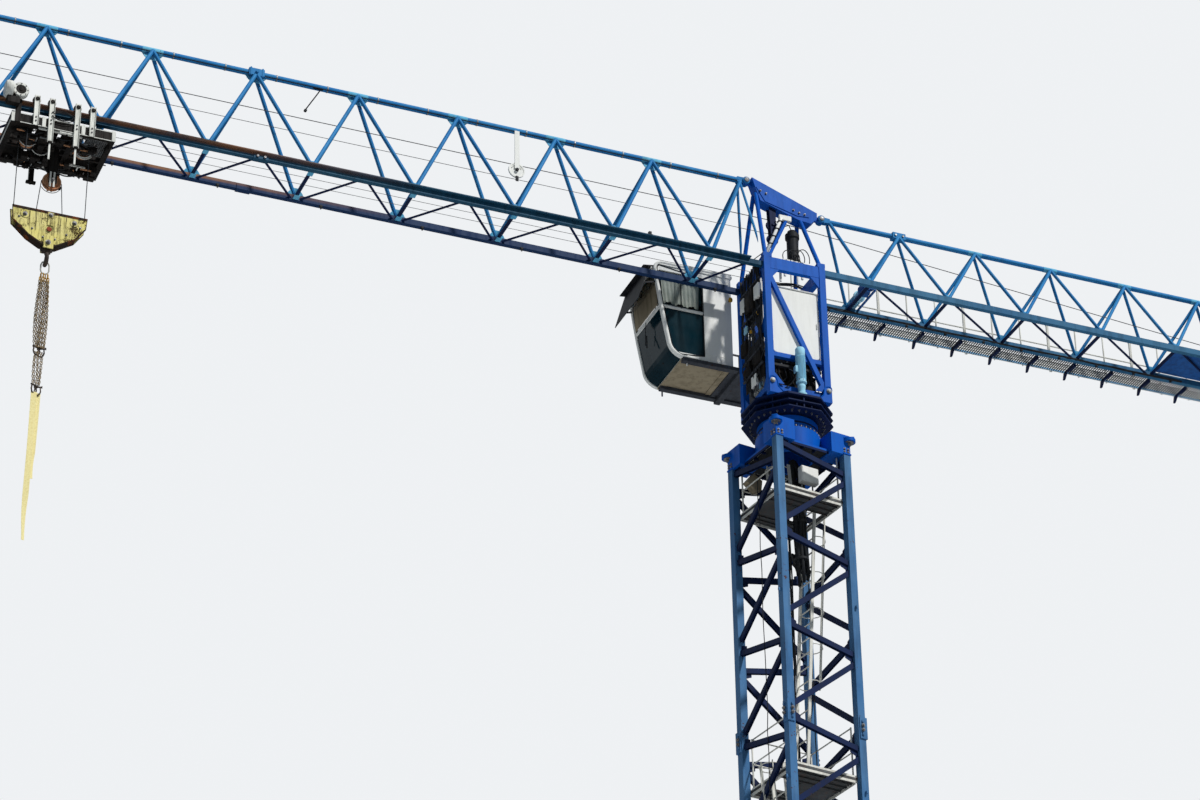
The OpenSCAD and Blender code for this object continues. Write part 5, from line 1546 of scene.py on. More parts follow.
@dataclass
class SlewingHead(Kit):
    """Ring bolts, gussets and finned motors of the slewing head's turning part.

    Attributes:
        deck_low: Underside of the slewing deck.
        deck_top: Top of the slewing deck.
    """

    name: str = "slewing_head"
    body: Body = Body.UPPER
    deck_low: float = 23.86
    deck_top: float = 24.21

    def build(self) -> "SlewingHead":
        """Models the pieces on and under the deck.
        """
        rib = Shop.sheet([(0.56, -0.006, self.deck_low + 0.082), (0.79, -0.006, self.deck_low + 0.082),
                          (0.79, -0.006, self.deck_low + 0.12), (0.70, -0.006, self.deck_top - 0.042),
                          (0.56, -0.006, self.deck_top - 0.042)], (0, 0.012, 0))
        spots = spins(16, math.degrees(0.2))
        self.put(NAVY, *Shop.copies(rib, spots))
        nut = Shop.nut((0, 0, 0), (0, 0, -1), 0.034, 0.03)
        self.put(BOLT_STEEL, *Shop.copies(nut, ring_of(32, 0.70, self.deck_low + 0.04, 5)))
        top_nut = Shop.nut((0, 0, 0), (0, 0, 1), 0.034, 0.026)
        self.put(BOLT_STEEL, *Shop.copies(top_nut, ring_of(32, 0.545, self.deck_top, 2)))
        for x, y in ((0.0, -0.695), (-0.12, 0.695)):
            self.motor(x, y)
        return self

    def motor(self, x: float, y: float) -> None:
        """One upright slewing motor: gearbox, flange with bolts, ribbed housing, fan cowl and terminal box.

        Args:
            x: Place of its axis along X.
            y: Place of its axis along Y.
        """
        z = self.deck_top
        self.put(MOTOR_BLUE,
                 Shop.turned([(0.002, 0.001), (0.1, 0.001), (0.1, 0.05), (0.088, 0.06), (0.07, 0.075),
                              (0.07, 0.16), (0.078, 0.18), (0.078, 0.23), (0.066, 0.25), (0.066, 0.275),
                              (0.101, 0.285), (0.101, 0.318), (0.088, 0.33), (0.082, 0.345), (0.082, 0.88),
                              (0.09, 0.9), (0.094, 0.91), (0.094, 1.03), (0.08, 1.055), (0.002, 1.058)],
                             (x, y, z), Axis.Z, 28))
        fin = Shop.box((0.078, -0.002, 0.36), (0.0945, 0.002, 0.87), 0)
        self.put(MOTOR_BLUE, *Shop.copies(fin, [Matrix.Translation((x, y, z)) @ turn for turn in spins(30)]))
        self.put(BOLT_STEEL,
                 *Shop.copies(Shop.nut((0, 0, 0), (0, 0, 1), 0.02, 0.014),
                              [Matrix.Translation((x, y, z + 0.318)) @ move for move in ring_of(8, 0.09)]))
        way = 1 if x < 0 else -1
        self.put(MOTOR_BLUE, Shop.box((x - 0.13, y - 0.05, z + 0.5), (x - 0.07, y + 0.05, z + 0.64), 0.008, 2))
        self.put(BLACK,
                 Shop.rod([(x - 0.1, y, z + 0.5), (x - 0.12, y, z + 0.38), (x - 0.2, y - way * 0.06, z + 0.25),
                           (x - 0.34, y - way * 0.14, z + 0.16), (x - 0.42, y - way * 0.22, z + 0.02)], 0.012))


@dataclass
class Ring(Kit):
    """Bolts, seal, ribs and pins of the fixed slewing ring, with the plates round the ring support."""

    name: str = "slewing_ring"
    body: Body = Body.MAST

    def build(self) -> "Ring":
        """Models the pieces of the fixed race.
        """
        nut = Shop.nut((0, 0, 0), (0, 0, 1), 0.034, 0.03)
        self.put(BOLT_STEEL, *Shop.copies(nut, ring_of(36, 0.598, 23.60)))
        self.put(NAVY, Shop.turned([(0.581, 23.7), (0.588, 23.705), (0.588, 23.735), (0.581, 23.74)], (0, 0, 0),
                                   Axis.Z, 48))
        rib = Shop.sheet([(0.58, -0.005, 23.602), (0.61, -0.005, 23.602), (0.585, -0.005, 23.69),
                          (0.58, -0.005, 23.69)], (0, 0.01, 0))
        self.put(DEEP_BLUE, *Shop.copies(rib, spins(36, 5)))
        corners = [Matrix.Rotation(math.radians(MAST_TURN + 45), 4, "Z") @ turn for turn in QUARTERS]
        shell = Shop.sheet([(1.02, -0.12, 23.46), (1.27, -0.05, 23.46), (1.27, 0.05, 23.46),
                            (1.02, 0.12, 23.46)], (0, 0, 0.035), 0.006)
        self.put(DEEP_BLUE, *Shop.copies(shell, corners))
        pin = Shop.join([Shop.tube((1.159, 0, 23.33), (1.159, 0, 23.50), 0.04, 16, 0.006),
                         Shop.tube((1.159, 0, 23.385), (1.159, 0, 23.40), 0.09, 24, 0.003)])
        self.put(BOLT_STEEL, *Shop.copies(pin, corners))
        self.support()
        return self

    def support(self) -> None:
        """Dark sheet under the belly as painted shade, bolted leg sockets, seams and stiffeners of the ring
        support.
        """
        quarter = [Matrix.Rotation(math.radians(MAST_TURN), 4, "Z") @ turn for turn in QUARTERS]
        # A thin black sheet under the belly: painted shade where the underside lies in shadow.
        belly_shade_sheet = Shop.sheet([(-0.71, -0.71, 23.142), (0.71, -0.71, 23.142), (0.415, -0.415, 23.142),
                                 (-0.415, -0.415, 23.142)], (0, 0, 0.005))
        self.put(BLACK, *Shop.copies(belly_shade_sheet, quarter))
        socket = Shop.join([Shop.box((0.66, 0.66, 23.115), (0.846, 0.846, 23.15), 0.006),
                            Shop.box((0.42, 0.55, 23.19), (0.432, 0.70, 23.50), 0.003),
                            Shop.box((0.55, 0.42, 23.19), (0.70, 0.432, 23.50), 0.003)])
        self.put(DEEP_BLUE, *Shop.copies(socket, quarter))
        belly = Shop.join([Shop.box((0.12, 0.60, 23.085), (0.14, 0.714, 23.15), 0.003),
                           Shop.box((-0.14, 0.60, 23.085), (-0.12, 0.714, 23.15), 0.003),
                           Shop.box((-0.42, 0.704, 23.10), (0.42, 0.718, 23.15), 0.003)])
        self.put(NAVY, *Shop.copies(belly, quarter))
        nut = Shop.nut((0, 0, 0), (0, -1, 0), 0.034, 0.022)
        spots = [Matrix.Translation((x, -0.831, z)) for x in (-0.78, -0.70, 0.70, 0.78) for z in (23.17, 23.23)]
        self.put(BOLT_STEEL, *Shop.copies(nut, [move @ spot for move in quarter for spot in spots]))


@dataclass
class Column(Kit):
    """Gussets, pins, cabinet fittings, pipes and cable bundles of the slewing column.

    Attributes:
        post: Distance of a post's middle from the slewing axis along X.
        low: Height of the lower frame.
        top: Top of the upper frame.
    """

    name: str = "column"
    body: Body = Body.UPPER
    post: float = 0.5825
    low: float = 24.33
    top: float = 27.26

    def build(self) -> "Column":
        """Models the pieces from the feet up.
        """
        self.corners()
        self.feet()
        self.cabinet()
        self.clutter()
        self.machinery()
        return self

    def machinery(self) -> None:
        """Dark gear housings, hoses, valve blocks and pipes between the column's feet."""
        self.put(DARK_GRIME_AND_SHADE, Shop.box((-0.34, -0.46, 24.23), (0.08, -0.2, 24.62), 0.03, 2),
                 Shop.box((0.14, -0.44, 24.3), (0.44, -0.2, 24.86), 0.03, 2),
                 Shop.box((-0.46, -0.42, 24.7), (-0.16, -0.24, 25.02), 0.025, 2),
                 Shop.tube((-0.05, -0.34, 24.62), (-0.05, -0.34, 25.02), 0.075, 18, 0.012),
                 Shop.tube((0.3, -0.5, 24.52), (0.3, -0.2, 24.52), 0.1, 20, 0.014),
                 Shop.tube((-0.46, -0.33, 24.42), (-0.34, -0.33, 24.42), 0.09, 20, 0.012))
        self.put(BLACK, Shop.box((-0.52, -0.56, 24.88), (0.5, -0.5, 24.94), 0.008),
                 Shop.box((-0.5, -0.5, 24.2), (0.5, -0.44, 24.34), 0.01),
                 Shop.box((-0.5, -0.2, 24.32), (0.5, -0.18, 25.08), 0.004),
                 Shop.box((-0.52, -0.5, 25.02), (0.52, -0.2, 25.1), 0.01))
        draw = random.Random(23)
        for index in range(13):
            x = -0.46 + 0.075 * index
            drop = draw.uniform(0.18, 0.5)
            points = [(x, -0.47, 25.08), (x + draw.uniform(-0.04, 0.04), -0.5, 25.08 - drop * 0.5),
                      (x + draw.uniform(-0.07, 0.07), -0.49, 25.08 - drop),
                      (x + draw.uniform(-0.1, 0.1), -0.42, 24.98 - drop),
                      (x + draw.uniform(-0.12, 0.12), -0.4, 24.36)]
            self.put(BLACK, Shop.rod(points, draw.choice((0.008, 0.012, 0.016))))
        for x, z in ((-0.3, 24.98), (-0.18, 25.04), (0.22, 24.9), (0.36, 24.94)):
            self.put(ZINC, Shop.tube((x, -0.51, z), (x, -0.46, z), 0.02, 10, 0.004))
        self.put(ZINC,
                 Shop.rod([(-0.4, -0.52, 24.92), (-0.2, -0.52, 24.9), (0.0, -0.52, 24.82), (0.1, -0.5, 24.5)],
                          0.008),
                 Shop.box((0.1, -0.53, 24.66), (0.17, -0.49, 24.8), 0.006))

    def corners(self) -> None:
        """Triangular gussets between posts and beams, on both faces of each side."""
        outline = [(0, 0), (0.2, 0), (0, -0.24)]
        for face in (-1, 1):
            y = face * 0.628
            for sx in (-1, 1):
                for z, way in ((self.top - 0.25, 1), (self.low + 0.12, -1)):
                    points = [(sx * (0.52 - a), y, z + way * b) for a, b in outline]
                    self.put(DEEP_BLUE, Shop.sheet(points, (0, -face * 0.014, 0)))
            x = face * 0.62
            for sy in (-1, 1):
                for z, way in ((self.top - 0.25, 1), (self.low + 0.12, -1), (25.685, 1), (25.785, -1)):
                    points = [(x, sy * (0.52 - a), z + way * b) for a, b in outline]
                    self.put(DEEP_BLUE, Shop.sheet(points, (-face * 0.014, 0, 0)))

    def feet(self) -> None:
        """Pins with collars through the foot ears, and rims round the ears' edges."""
        for sx in (-1, 1):
            for sy in (-1, 1):
                x, face = sx * self.post, sy * 0.6713
                self.put(ZINC,
                         Shop.turned([(0.001, face), (0.052, face), (0.052, face + sy * 0.014),
                                      (0.034, face + sy * 0.02), (0.034, face + sy * 0.042),
                                      (0.001, face + sy * 0.045)], (x, 0, 24.46), Axis.Y, 20))
                rim = [(x - sx * 0.26, 24.215), (x - sx * 0.112, 24.36), (x - sx * 0.095, 24.48),
                       (x - sx * 0.07, 24.54), (x, 24.558), (x + sx * 0.05, 24.54), (x + sx * 0.06, 24.48)]
                self.put(DEEP_BLUE, Shop.rod([(a, face, b) for a, b in rim], 0.012))

    def cabinet(self) -> None:
        """Pressed door of the switch cabinet with round corners, hinges, lock, rain edge and side posts."""
        y, low, high, wide, bend = -0.5385, 25.18, 26.645, 0.495, 0.09
        outline = []
        for cx, cz, first in ((wide - bend, high - bend, 0), (bend - wide, high - bend, 90),
                              (bend - wide, low + bend, 180), (wide - bend, low + bend, 270)):
            for step in range(5):
                turn = math.radians(first + 22.5 * step)
                outline.append((cx + bend * math.cos(turn), y - 0.018, cz + bend * math.sin(turn)))
        self.put(WHITE, Shop.sheet(outline, (0, 0.017, 0), 0.006))
        for z in (low + 0.25, high - 0.25):
            self.put(WHITE,
                     Shop.tube((-wide + 0.012, y - 0.022, z - 0.04), (-wide + 0.012, y - 0.022, z + 0.04),
                               0.009, 8, 0.002))
        self.put(ZINC, Shop.box((wide - 0.06, y - 0.03, 25.86), (wide - 0.035, y - 0.016, 25.98), 0.004))
        self.put(WHITE, Shop.box((-0.53, y - 0.04, high + 0.011), (0.53, y + 0.32, high + 0.031), 0.006))
        self.put(DEEP_BLUE, Shop.box((-0.55, -0.6, low - 0.095), (-0.505, -0.54, high + 0.08), 0.006),
                 Shop.box((0.505, -0.6, low - 0.095), (0.55, -0.54, high + 0.08), 0.006))

    def clutter(self) -> None:
        """Cable bundles, mesh guard, conduits, boxes and hanging loops on the jib side of the column, with dark
        sheets behind them as painted shade.
        """
        draw = random.Random(11)
        for index in range(16):
            y = -0.46 + index * 0.058
            x = -0.665 + draw.uniform(-0.025, 0.015)
            points = [(x, y + 0.045 * math.sin(0.9 * step + index), self.top - 0.02 - 0.17 * step)
                      for step in range(draw.randint(5, 17))]
            points.append((x + 0.12, points[-1][1], points[-1][2] - 0.08))
            self.put(BLACK, Shop.rod(points, draw.choice((0.009, 0.013, 0.018, 0.024))))
        for index in range(7):
            y, z = draw.uniform(-0.45, 0.3), draw.uniform(24.7, 26.6)
            reach = draw.uniform(0.08, 0.17)
            loop = [(-0.70 + 0.02 * math.sin(3 * a), y + reach * math.sin(a), z - 0.24 + 0.24 * math.cos(a))
                    for a in [math.radians(40 + 28 * step) for step in range(11)]]
            self.put(BLACK, Shop.rod(loop, draw.choice((0.008, 0.011))))
        for z in (24.95, 25.32, 26.2, 26.85):
            self.put(PLATFORM, Shop.box((-0.69, -0.46, z), (-0.655, 0.42, z + 0.04), 0.004))
        for low, high in (((-0.73, -0.5, 26.42), (-0.655, -0.28, 26.72)),
                          ((-0.70, 0.24, 26.5), (-0.655, 0.42, 26.8)),
                          ((-0.71, -0.2, 24.62), (-0.655, 0.02, 24.86))):
            self.put(WHITE, Shop.box(low, high, 0.012, 2))
        for low, high in (((-0.74, -0.24, 26.3), (-0.655, 0.1, 26.75)),
                          ((-0.73, 0.14, 25.5), (-0.655, 0.4, 25.8)),
                          ((-0.72, -0.44, 25.02), (-0.655, -0.14, 25.24)),
                          ((-0.71, 0.06, 24.98), (-0.655, 0.36, 25.2))):
            self.put(DARK_GRIME_AND_SHADE, Shop.box(low, high, 0.014, 2))
        self.put(MOTOR_BLUE, Shop.box((-0.71, 0.12, 25.95), (-0.655, 0.26, 26.1), 0.012, 2))
        self.put(CONNECTOR_GOLD, Shop.tube((-0.72, -0.05, 25.86), (-0.655, -0.05, 25.86), 0.035, 14, 0.006),
                 Shop.box((-0.70, -0.36, 26.08), (-0.66, -0.3, 26.16), 0.006))
        # Two thin dark sheets on the column's left face: painted shade behind the clutter.
        self.put(DARK_GRIME_AND_SHADE, Shop.box((-0.64, -0.46, 24.7), (-0.63, 0.4, 25.62), 0.003),
                 Shop.box((-0.64, -0.4, 26.05), (-0.63, 0.2, 26.96), 0.003))
        wires = [Shop.tube((-0.69, -0.4 + 0.05 * step, 25.34), (-0.69, -0.4 + 0.05 * step, 26.0), 0.004, 4)
                 for step in range(15)]
        wires += [Shop.tube((-0.69, -0.4, 25.34 + 0.06 * step), (-0.69, 0.3, 25.34 + 0.06 * step), 0.004, 4)
                  for step in range(12)]
        self.put(PLATFORM, *wires)
        for y, x in ((0.5, 0.66), (0.44, 0.655)):
            self.put(BLACK,
                     Shop.rod([(x, y, 27.2), (x + 0.01, y + 0.02, 26.2), (x, y - 0.02, 25.2),
                               (x - 0.1, y, 24.4)], 0.014))


@dataclass
class Head(Kit):
    """Pins, guard, lamp, pressure cylinder and hoses round the sloping head beam."""

    name: str = "head"
    body: Body = Body.UPPER

    def build(self) -> "Head":
        """Models the pieces from the jib's pin to the counter-jib's.
        """
        for x, z in ((-0.676, 29.35), (0.918, 28.817)):
            for side in (-1, 1):
                self.put(BOLT_STEEL,
                         Shop.turned([(0.001, side * 0.088), (0.05, side * 0.088), (0.05, side * 0.1),
                                      (0.032, side * 0.106), (0.001, side * 0.106)], (x, 0, z), Axis.Y, 18))
                eye = arc((x, side * 0.0555, z), (0.075, 0.075), 0, 20, 18)
                self.put(SKY_BLUE, Shop.sheet(eye, (0, side * 0.03, 0), 0.003))
        for side in (-1, 1):
            y = side * 0.121
            self.put(DEEP_BLUE,
                     Shop.sheet([(-0.5, y, 29.2), (-0.32, y, 28.9), (0.36, y, 28.72), (0.62, y, 28.74),
                                 (0.5, y, 28.8)], (0, side * 0.012, 0)))
        nut = Shop.nut((0, 0, 0), (0, -1, 0), 0.034, 0.024)
        places = [(-0.42, 29.12), (-0.3, 29.08), (0.28, 28.83), (0.4, 28.79), (0.52, 28.78)]
        self.put(BOLT_STEEL, *Shop.copies(nut, [Matrix.Translation((x, -0.133, z)) for x, z in places]))
        self.put(BLACK,
                 Shop.turned([(0.001, 27.645), (0.15, 27.65), (0.15, 27.7), (0.115, 27.72), (0.115, 28.2),
                              (0.14, 28.23), (0.14, 28.32), (0.09, 28.34), (0.09, 28.4), (0.001, 28.41)],
                             (0.29, 0, 0), Axis.Z, 24))
        self.put(WHITE, Shop.box((0.0, -0.14, 27.57), (0.47, 0.14, 27.645), 0.012, 2))
        for x in (0.05, 0.42):
            for y in (-0.1, 0.1):
                self.put(WHITE, Shop.box((x - 0.02, y - 0.02, 27.262), (x + 0.02, y + 0.02, 27.575), 0.004))
        for index in range(4):
            hose = arc((0.12 + 0.1 * index, -0.16 - 0.012 * index, 27.68), (0.13, 0.16 + 0.02 * index), -20,
                       22, 11)
            self.put(BLACK, Shop.rod(hose, 0.009))
        self.put(WHITE, Shop.tube((0.0, -0.17, 28.56), (-0.36, -0.17, 27.66), 0.034, 12, 0.006),
                 Shop.box((-0.06, -0.2, 28.5), (0.2, -0.13, 28.62), 0.01))
        steps = Shop.box((-0.05, -0.212, -0.012), (0.05, -0.13, 0.012), 0.004)
        self.put(BLACK,
                 *Shop.shifted(steps, [(-0.04 - 0.075 * index, 0, 28.46 - 0.19 * index) for index in range(4)]))
        self.put(BLACK,
                 Shop.rod([(0.29, 0, 28.41), (0.2, -0.06, 28.5), (0.05, -0.1, 28.4), (-0.2, -0.1, 27.9),
                           (-0.6, -0.1, 27.5), (-0.62, -0.1, 27.28)], 0.011))
        for y, seed in ((0.2, 1), (0.24, 2), (0.28, 6)):
            draw = random.Random(seed)
            points = [(0.62 - 0.13 * step, y + draw.uniform(-0.01, 0.01), 27.31 + 0.03 * math.sin(step))
                      for step in range(9)]
            self.put(BLACK, Shop.rod(points, 0.012))
        return self


@dataclass
class Cab(Kit):
    """Round frame, seals, sun-bleached rails, wiper, handles and underside of the cab.

    The drawing's origin lies in the plane of the rear wall and of the underside.

    Attributes:
        near: Outside of the near wall.
        far: Outside of the far wall.
    """

    name: str = "cab"
    body: Body = Body.UPPER
    near: float = 0.85
    far: float = 2.10
    origin: Point = (-0.68, 0.0, 25.56)

    def side_line(self, inset: float) -> list[tuple[float, float]]:
        """Draws the outline of one side, from the belly round the front to the roof.

        Args:
            inset: Distance by which it is pulled in.

        Returns:
            Its points as X and Z.
        """
        points = [(-0.72, inset)]
        for angle in range(0, 80, 12):
            turn = math.radians(angle)
            points.append((-1.01 - (0.36 - inset) * math.sin(turn), 0.36 - (0.36 - inset) * math.cos(turn)))
        points.append((-1.485 + inset, 0.96))
        for angle in range(0, 100, 18):
            turn = math.radians(angle)
            points.append((-1.44 - (0.19 - inset) * math.cos(turn), 1.93 + (0.19 - inset) * math.sin(turn)))
        return points

    def build(self) -> "Cab":
        """Models the cab's pieces.
        """
        for y, out in ((self.near, -1), (self.far, 1)):
            line = [(x, y + out * 0.004, z) for x, z in self.side_line(0.03)]
            self.put(WHITE, Shop.rod([*line, (-0.3, y + out * 0.004, 2.09)], 0.034, 2))
            self.seal(y, out)
            self.put(WHITE, Shop.box((-0.96, y, 0.012), (-0.03, y + out * 0.012, 0.085), 0.005),
                     Shop.box((-0.58, y, 0.19), (-0.03, y + out * 0.006, 0.2), 0.002))
        self.front()
        self.underside()
        self.roof()
        self.fittings()
        return self

    def seal(self, y: float, out: int) -> None:
        """Black rubber round a side window, with the white rail between its two panes.

        Args:
            y: Outside of the wall.
            out: -1 on the near side, 1 on the far side.
        """
        edge = [(x, y + out * 0.003, z) for x, z in self.side_line(0.075)[2:-2]]
        edge = [(-0.6, y + out * 0.003, 0.135), *edge, (-0.6, y + out * 0.003, 1.9)]
        self.put(BLACK, Shop.rod([*edge, edge[0]], 0.012))
        self.put(WHITE, Shop.box((-1.5, y + out * 0.012, 1.095), (-0.585, y - out * 0.02, 1.125), 0.006))
        self.put(BLACK, Shop.tube((-1.06, y + out * 0.004, 1.12), (-1.06, y + out * 0.004, 1.9), 0.01, 6))

    def front(self) -> None:
        """Rails across the windscreen, its wiper and the dark blind behind the upper pane."""
        for z, lean in ((1.11, 0.03), (1.96, -0.002)):
            x = -1.5 - 0.145 * (z - 0.96) / 0.97 + lean
            self.put(WHITE, Shop.tube((x, self.near + 0.03, z), (x, self.far - 0.03, z), 0.017, 10, 0.003))
        self.put(BLACK, Shop.rod([(-1.565, 1.42, 1.02), (-1.545, 1.5, 0.8), (-1.5, 1.62, 0.62)], 0.008),
                 Shop.box((-1.53, 1.5, 0.5), (-1.505, 1.52, 0.78), 0.004))
        blind = Shop.sheet([(-1.53, 0, 1.16), (-1.58, 0, 1.9), (-1.572, 0, 1.9), (-1.522, 0, 1.16)],
                           (0, 1.08, 0))
        self.put(BEIGE, *Shop.shifted(blind, [(0, self.near + 0.08, 0)]))
        self.lining()
        self.curtain()

    def lining(self) -> None:
        """Dark panels on the inside of the rear, far and near walls and under the roof."""
        back, low, high = -0.058, 0.09, 2.0
        self.put(LINING, Shop.box((back - 0.006, self.near + 0.06, low), (back, self.far - 0.06, high), 0.002),
                 Shop.box((-0.56, self.far - 0.058, low), (back - 0.01, self.far - 0.052, high), 0.002),
                 Shop.box((-0.56, self.near + 0.052, low), (back - 0.01, self.near + 0.058, high), 0.002),
                 Shop.box((-1.4, self.near + 0.07, high - 0.02), (back - 0.01, self.far - 0.07, high), 0.003),
                 Shop.box((-0.9, self.near + 0.07, low), (back - 0.01, self.far - 0.07, low + 0.006), 0.002))
        self.put(LINING, Shop.box((-0.56, self.far - 0.2, low), (-0.1, self.far - 0.07, low + 1.0), 0.03, 2),
                 Shop.rod([(-1.25, self.near + 0.5, low + 0.02), (-1.2, self.near + 0.5, low + 0.5),
                           (-1.1, self.near + 0.5, low + 0.62)], 0.02))

    def curtain(self) -> None:
        """Pale cloth gathered along the upper side window, on its rail."""
        width, length, y = 0.86, 0.62, self.near + 0.125

        def gather(place: Vector, down: float) -> None:
            """Folds the cloth and draws it together towards its lower hem."""
            across = place.x / width + 0.5
            place.z *= 1 - 0.16 * down * math.sin(math.pi * 3 * across) ** 2
            place.y += 0.016 * math.sin(TURN * 9 * across + 0.6 * math.sin(5 * down)) * (0.35 + 0.65 * down)
            place.x *= 0.94 - 0.08 * down

        cloth = Shop.cloth(width, length, (60, 18), gather)
        self.settle(cloth, "curtain", (-1.02, y, 1.56))
        Shop.thicken(cloth, 0.003)
        self.fasten(cloth, CLOTH)
        rail = Shop.tube((-1.45, y, 1.865), (-0.59, y, 1.865), 0.008, 8, 0.002)
        self.settle(rail, "curtain_rail")
        self.fasten(rail, ZINC)

    def underside(self) -> None:
        """Beige belly with pressed ribs, rivets, drain pipes and a hook-on bracket."""
        self.put(BEIGE, Shop.box((-1.06, self.near + 0.03, -0.006), (-0.02, self.far - 0.03, 0.002), 0.002),
                 Shop.box((-1.08, self.near + 0.02, -0.012), (-0.94, self.far - 0.02, 0.004), 0.004),
                 Shop.box((-0.14, self.near + 0.02, -0.022), (-0.02, self.far - 0.02, 0.002), 0.004))
        self.put(PLATFORM, Shop.box((-0.03, self.near + 0.03, -0.05), (0.07, self.far - 0.03, -0.015), 0.004))
        rivet = Shop.turned([(0.001, -0.012), (0.006, -0.011), (0.009, -0.006)], (0, 0, 0), Axis.Z, 8)
        self.put(BEIGE,
                 *Shop.copies(rivet,
                              [Matrix.Translation((-0.2 - 0.24 * a, self.near + 0.2 + 0.28 * b, 0))
                               for a in range(4) for b in range(4)]))
        self.put(WHITE, Shop.tube((-0.96, self.near + 0.03, -0.13), (-0.96, self.near + 0.03, 0.03), 0.013, 10,
                                  0.003))
        self.put(NAVY, Shop.tube((-0.98, self.far - 0.04, -0.16), (-0.98, self.far - 0.04, 0.02), 0.016, 10,
                                 0.003))

    def roof(self) -> None:
        """Rounded gutter and lifting eyes on the roof."""
        top = 2.12
        for y in (self.near - 0.012, self.far + 0.012):
            self.put(WHITE, Shop.tube((-1.42, y, top - 0.01), (0.01, y, top - 0.01), 0.011, 8, 0.003))
        for x in (-0.2, -1.25):
            for y in (self.near + 0.12, self.far - 0.12):
                self.put(ZINC, Shop.rod(arc((x, y, top - 0.004), (0.035, 0.0095), 0, 30, 7), 0.006))

    def fittings(self) -> None:
        """Amber lamp, grab handles and door fittings at the rear."""
        x, y, z = -0.03, self.near - 0.05, 1.52
        self.put(CONNECTOR_GOLD,
                 Shop.turned([(0.001, -0.045), (0.035, -0.035), (0.042, 0), (0.03, 0.04), (0.001, 0.052)],
                             (x, y, z), Axis.Z, 18))
        self.put(BLACK, Shop.box((x - 0.03, y + 0.02, z - 0.02), (x + 0.03, self.near + 0.002, z + 0.02),
                                 0.004))
        for height in (0.6, 1.2):
            handle = [(0.004, 1.05, height), (0.022, 1.05, height + 0.03), (0.022, 1.05, height + 0.4),
                      (0.004, 1.05, height + 0.43)]
            self.put(BLACK, Shop.rod(handle, 0.009))
        for z in (0.4, 1.6):
            self.put(ZINC, Shop.tube((0.006, 1.72, z), (0.006, 1.72, z + 0.12), 0.011, 8, 0.002))


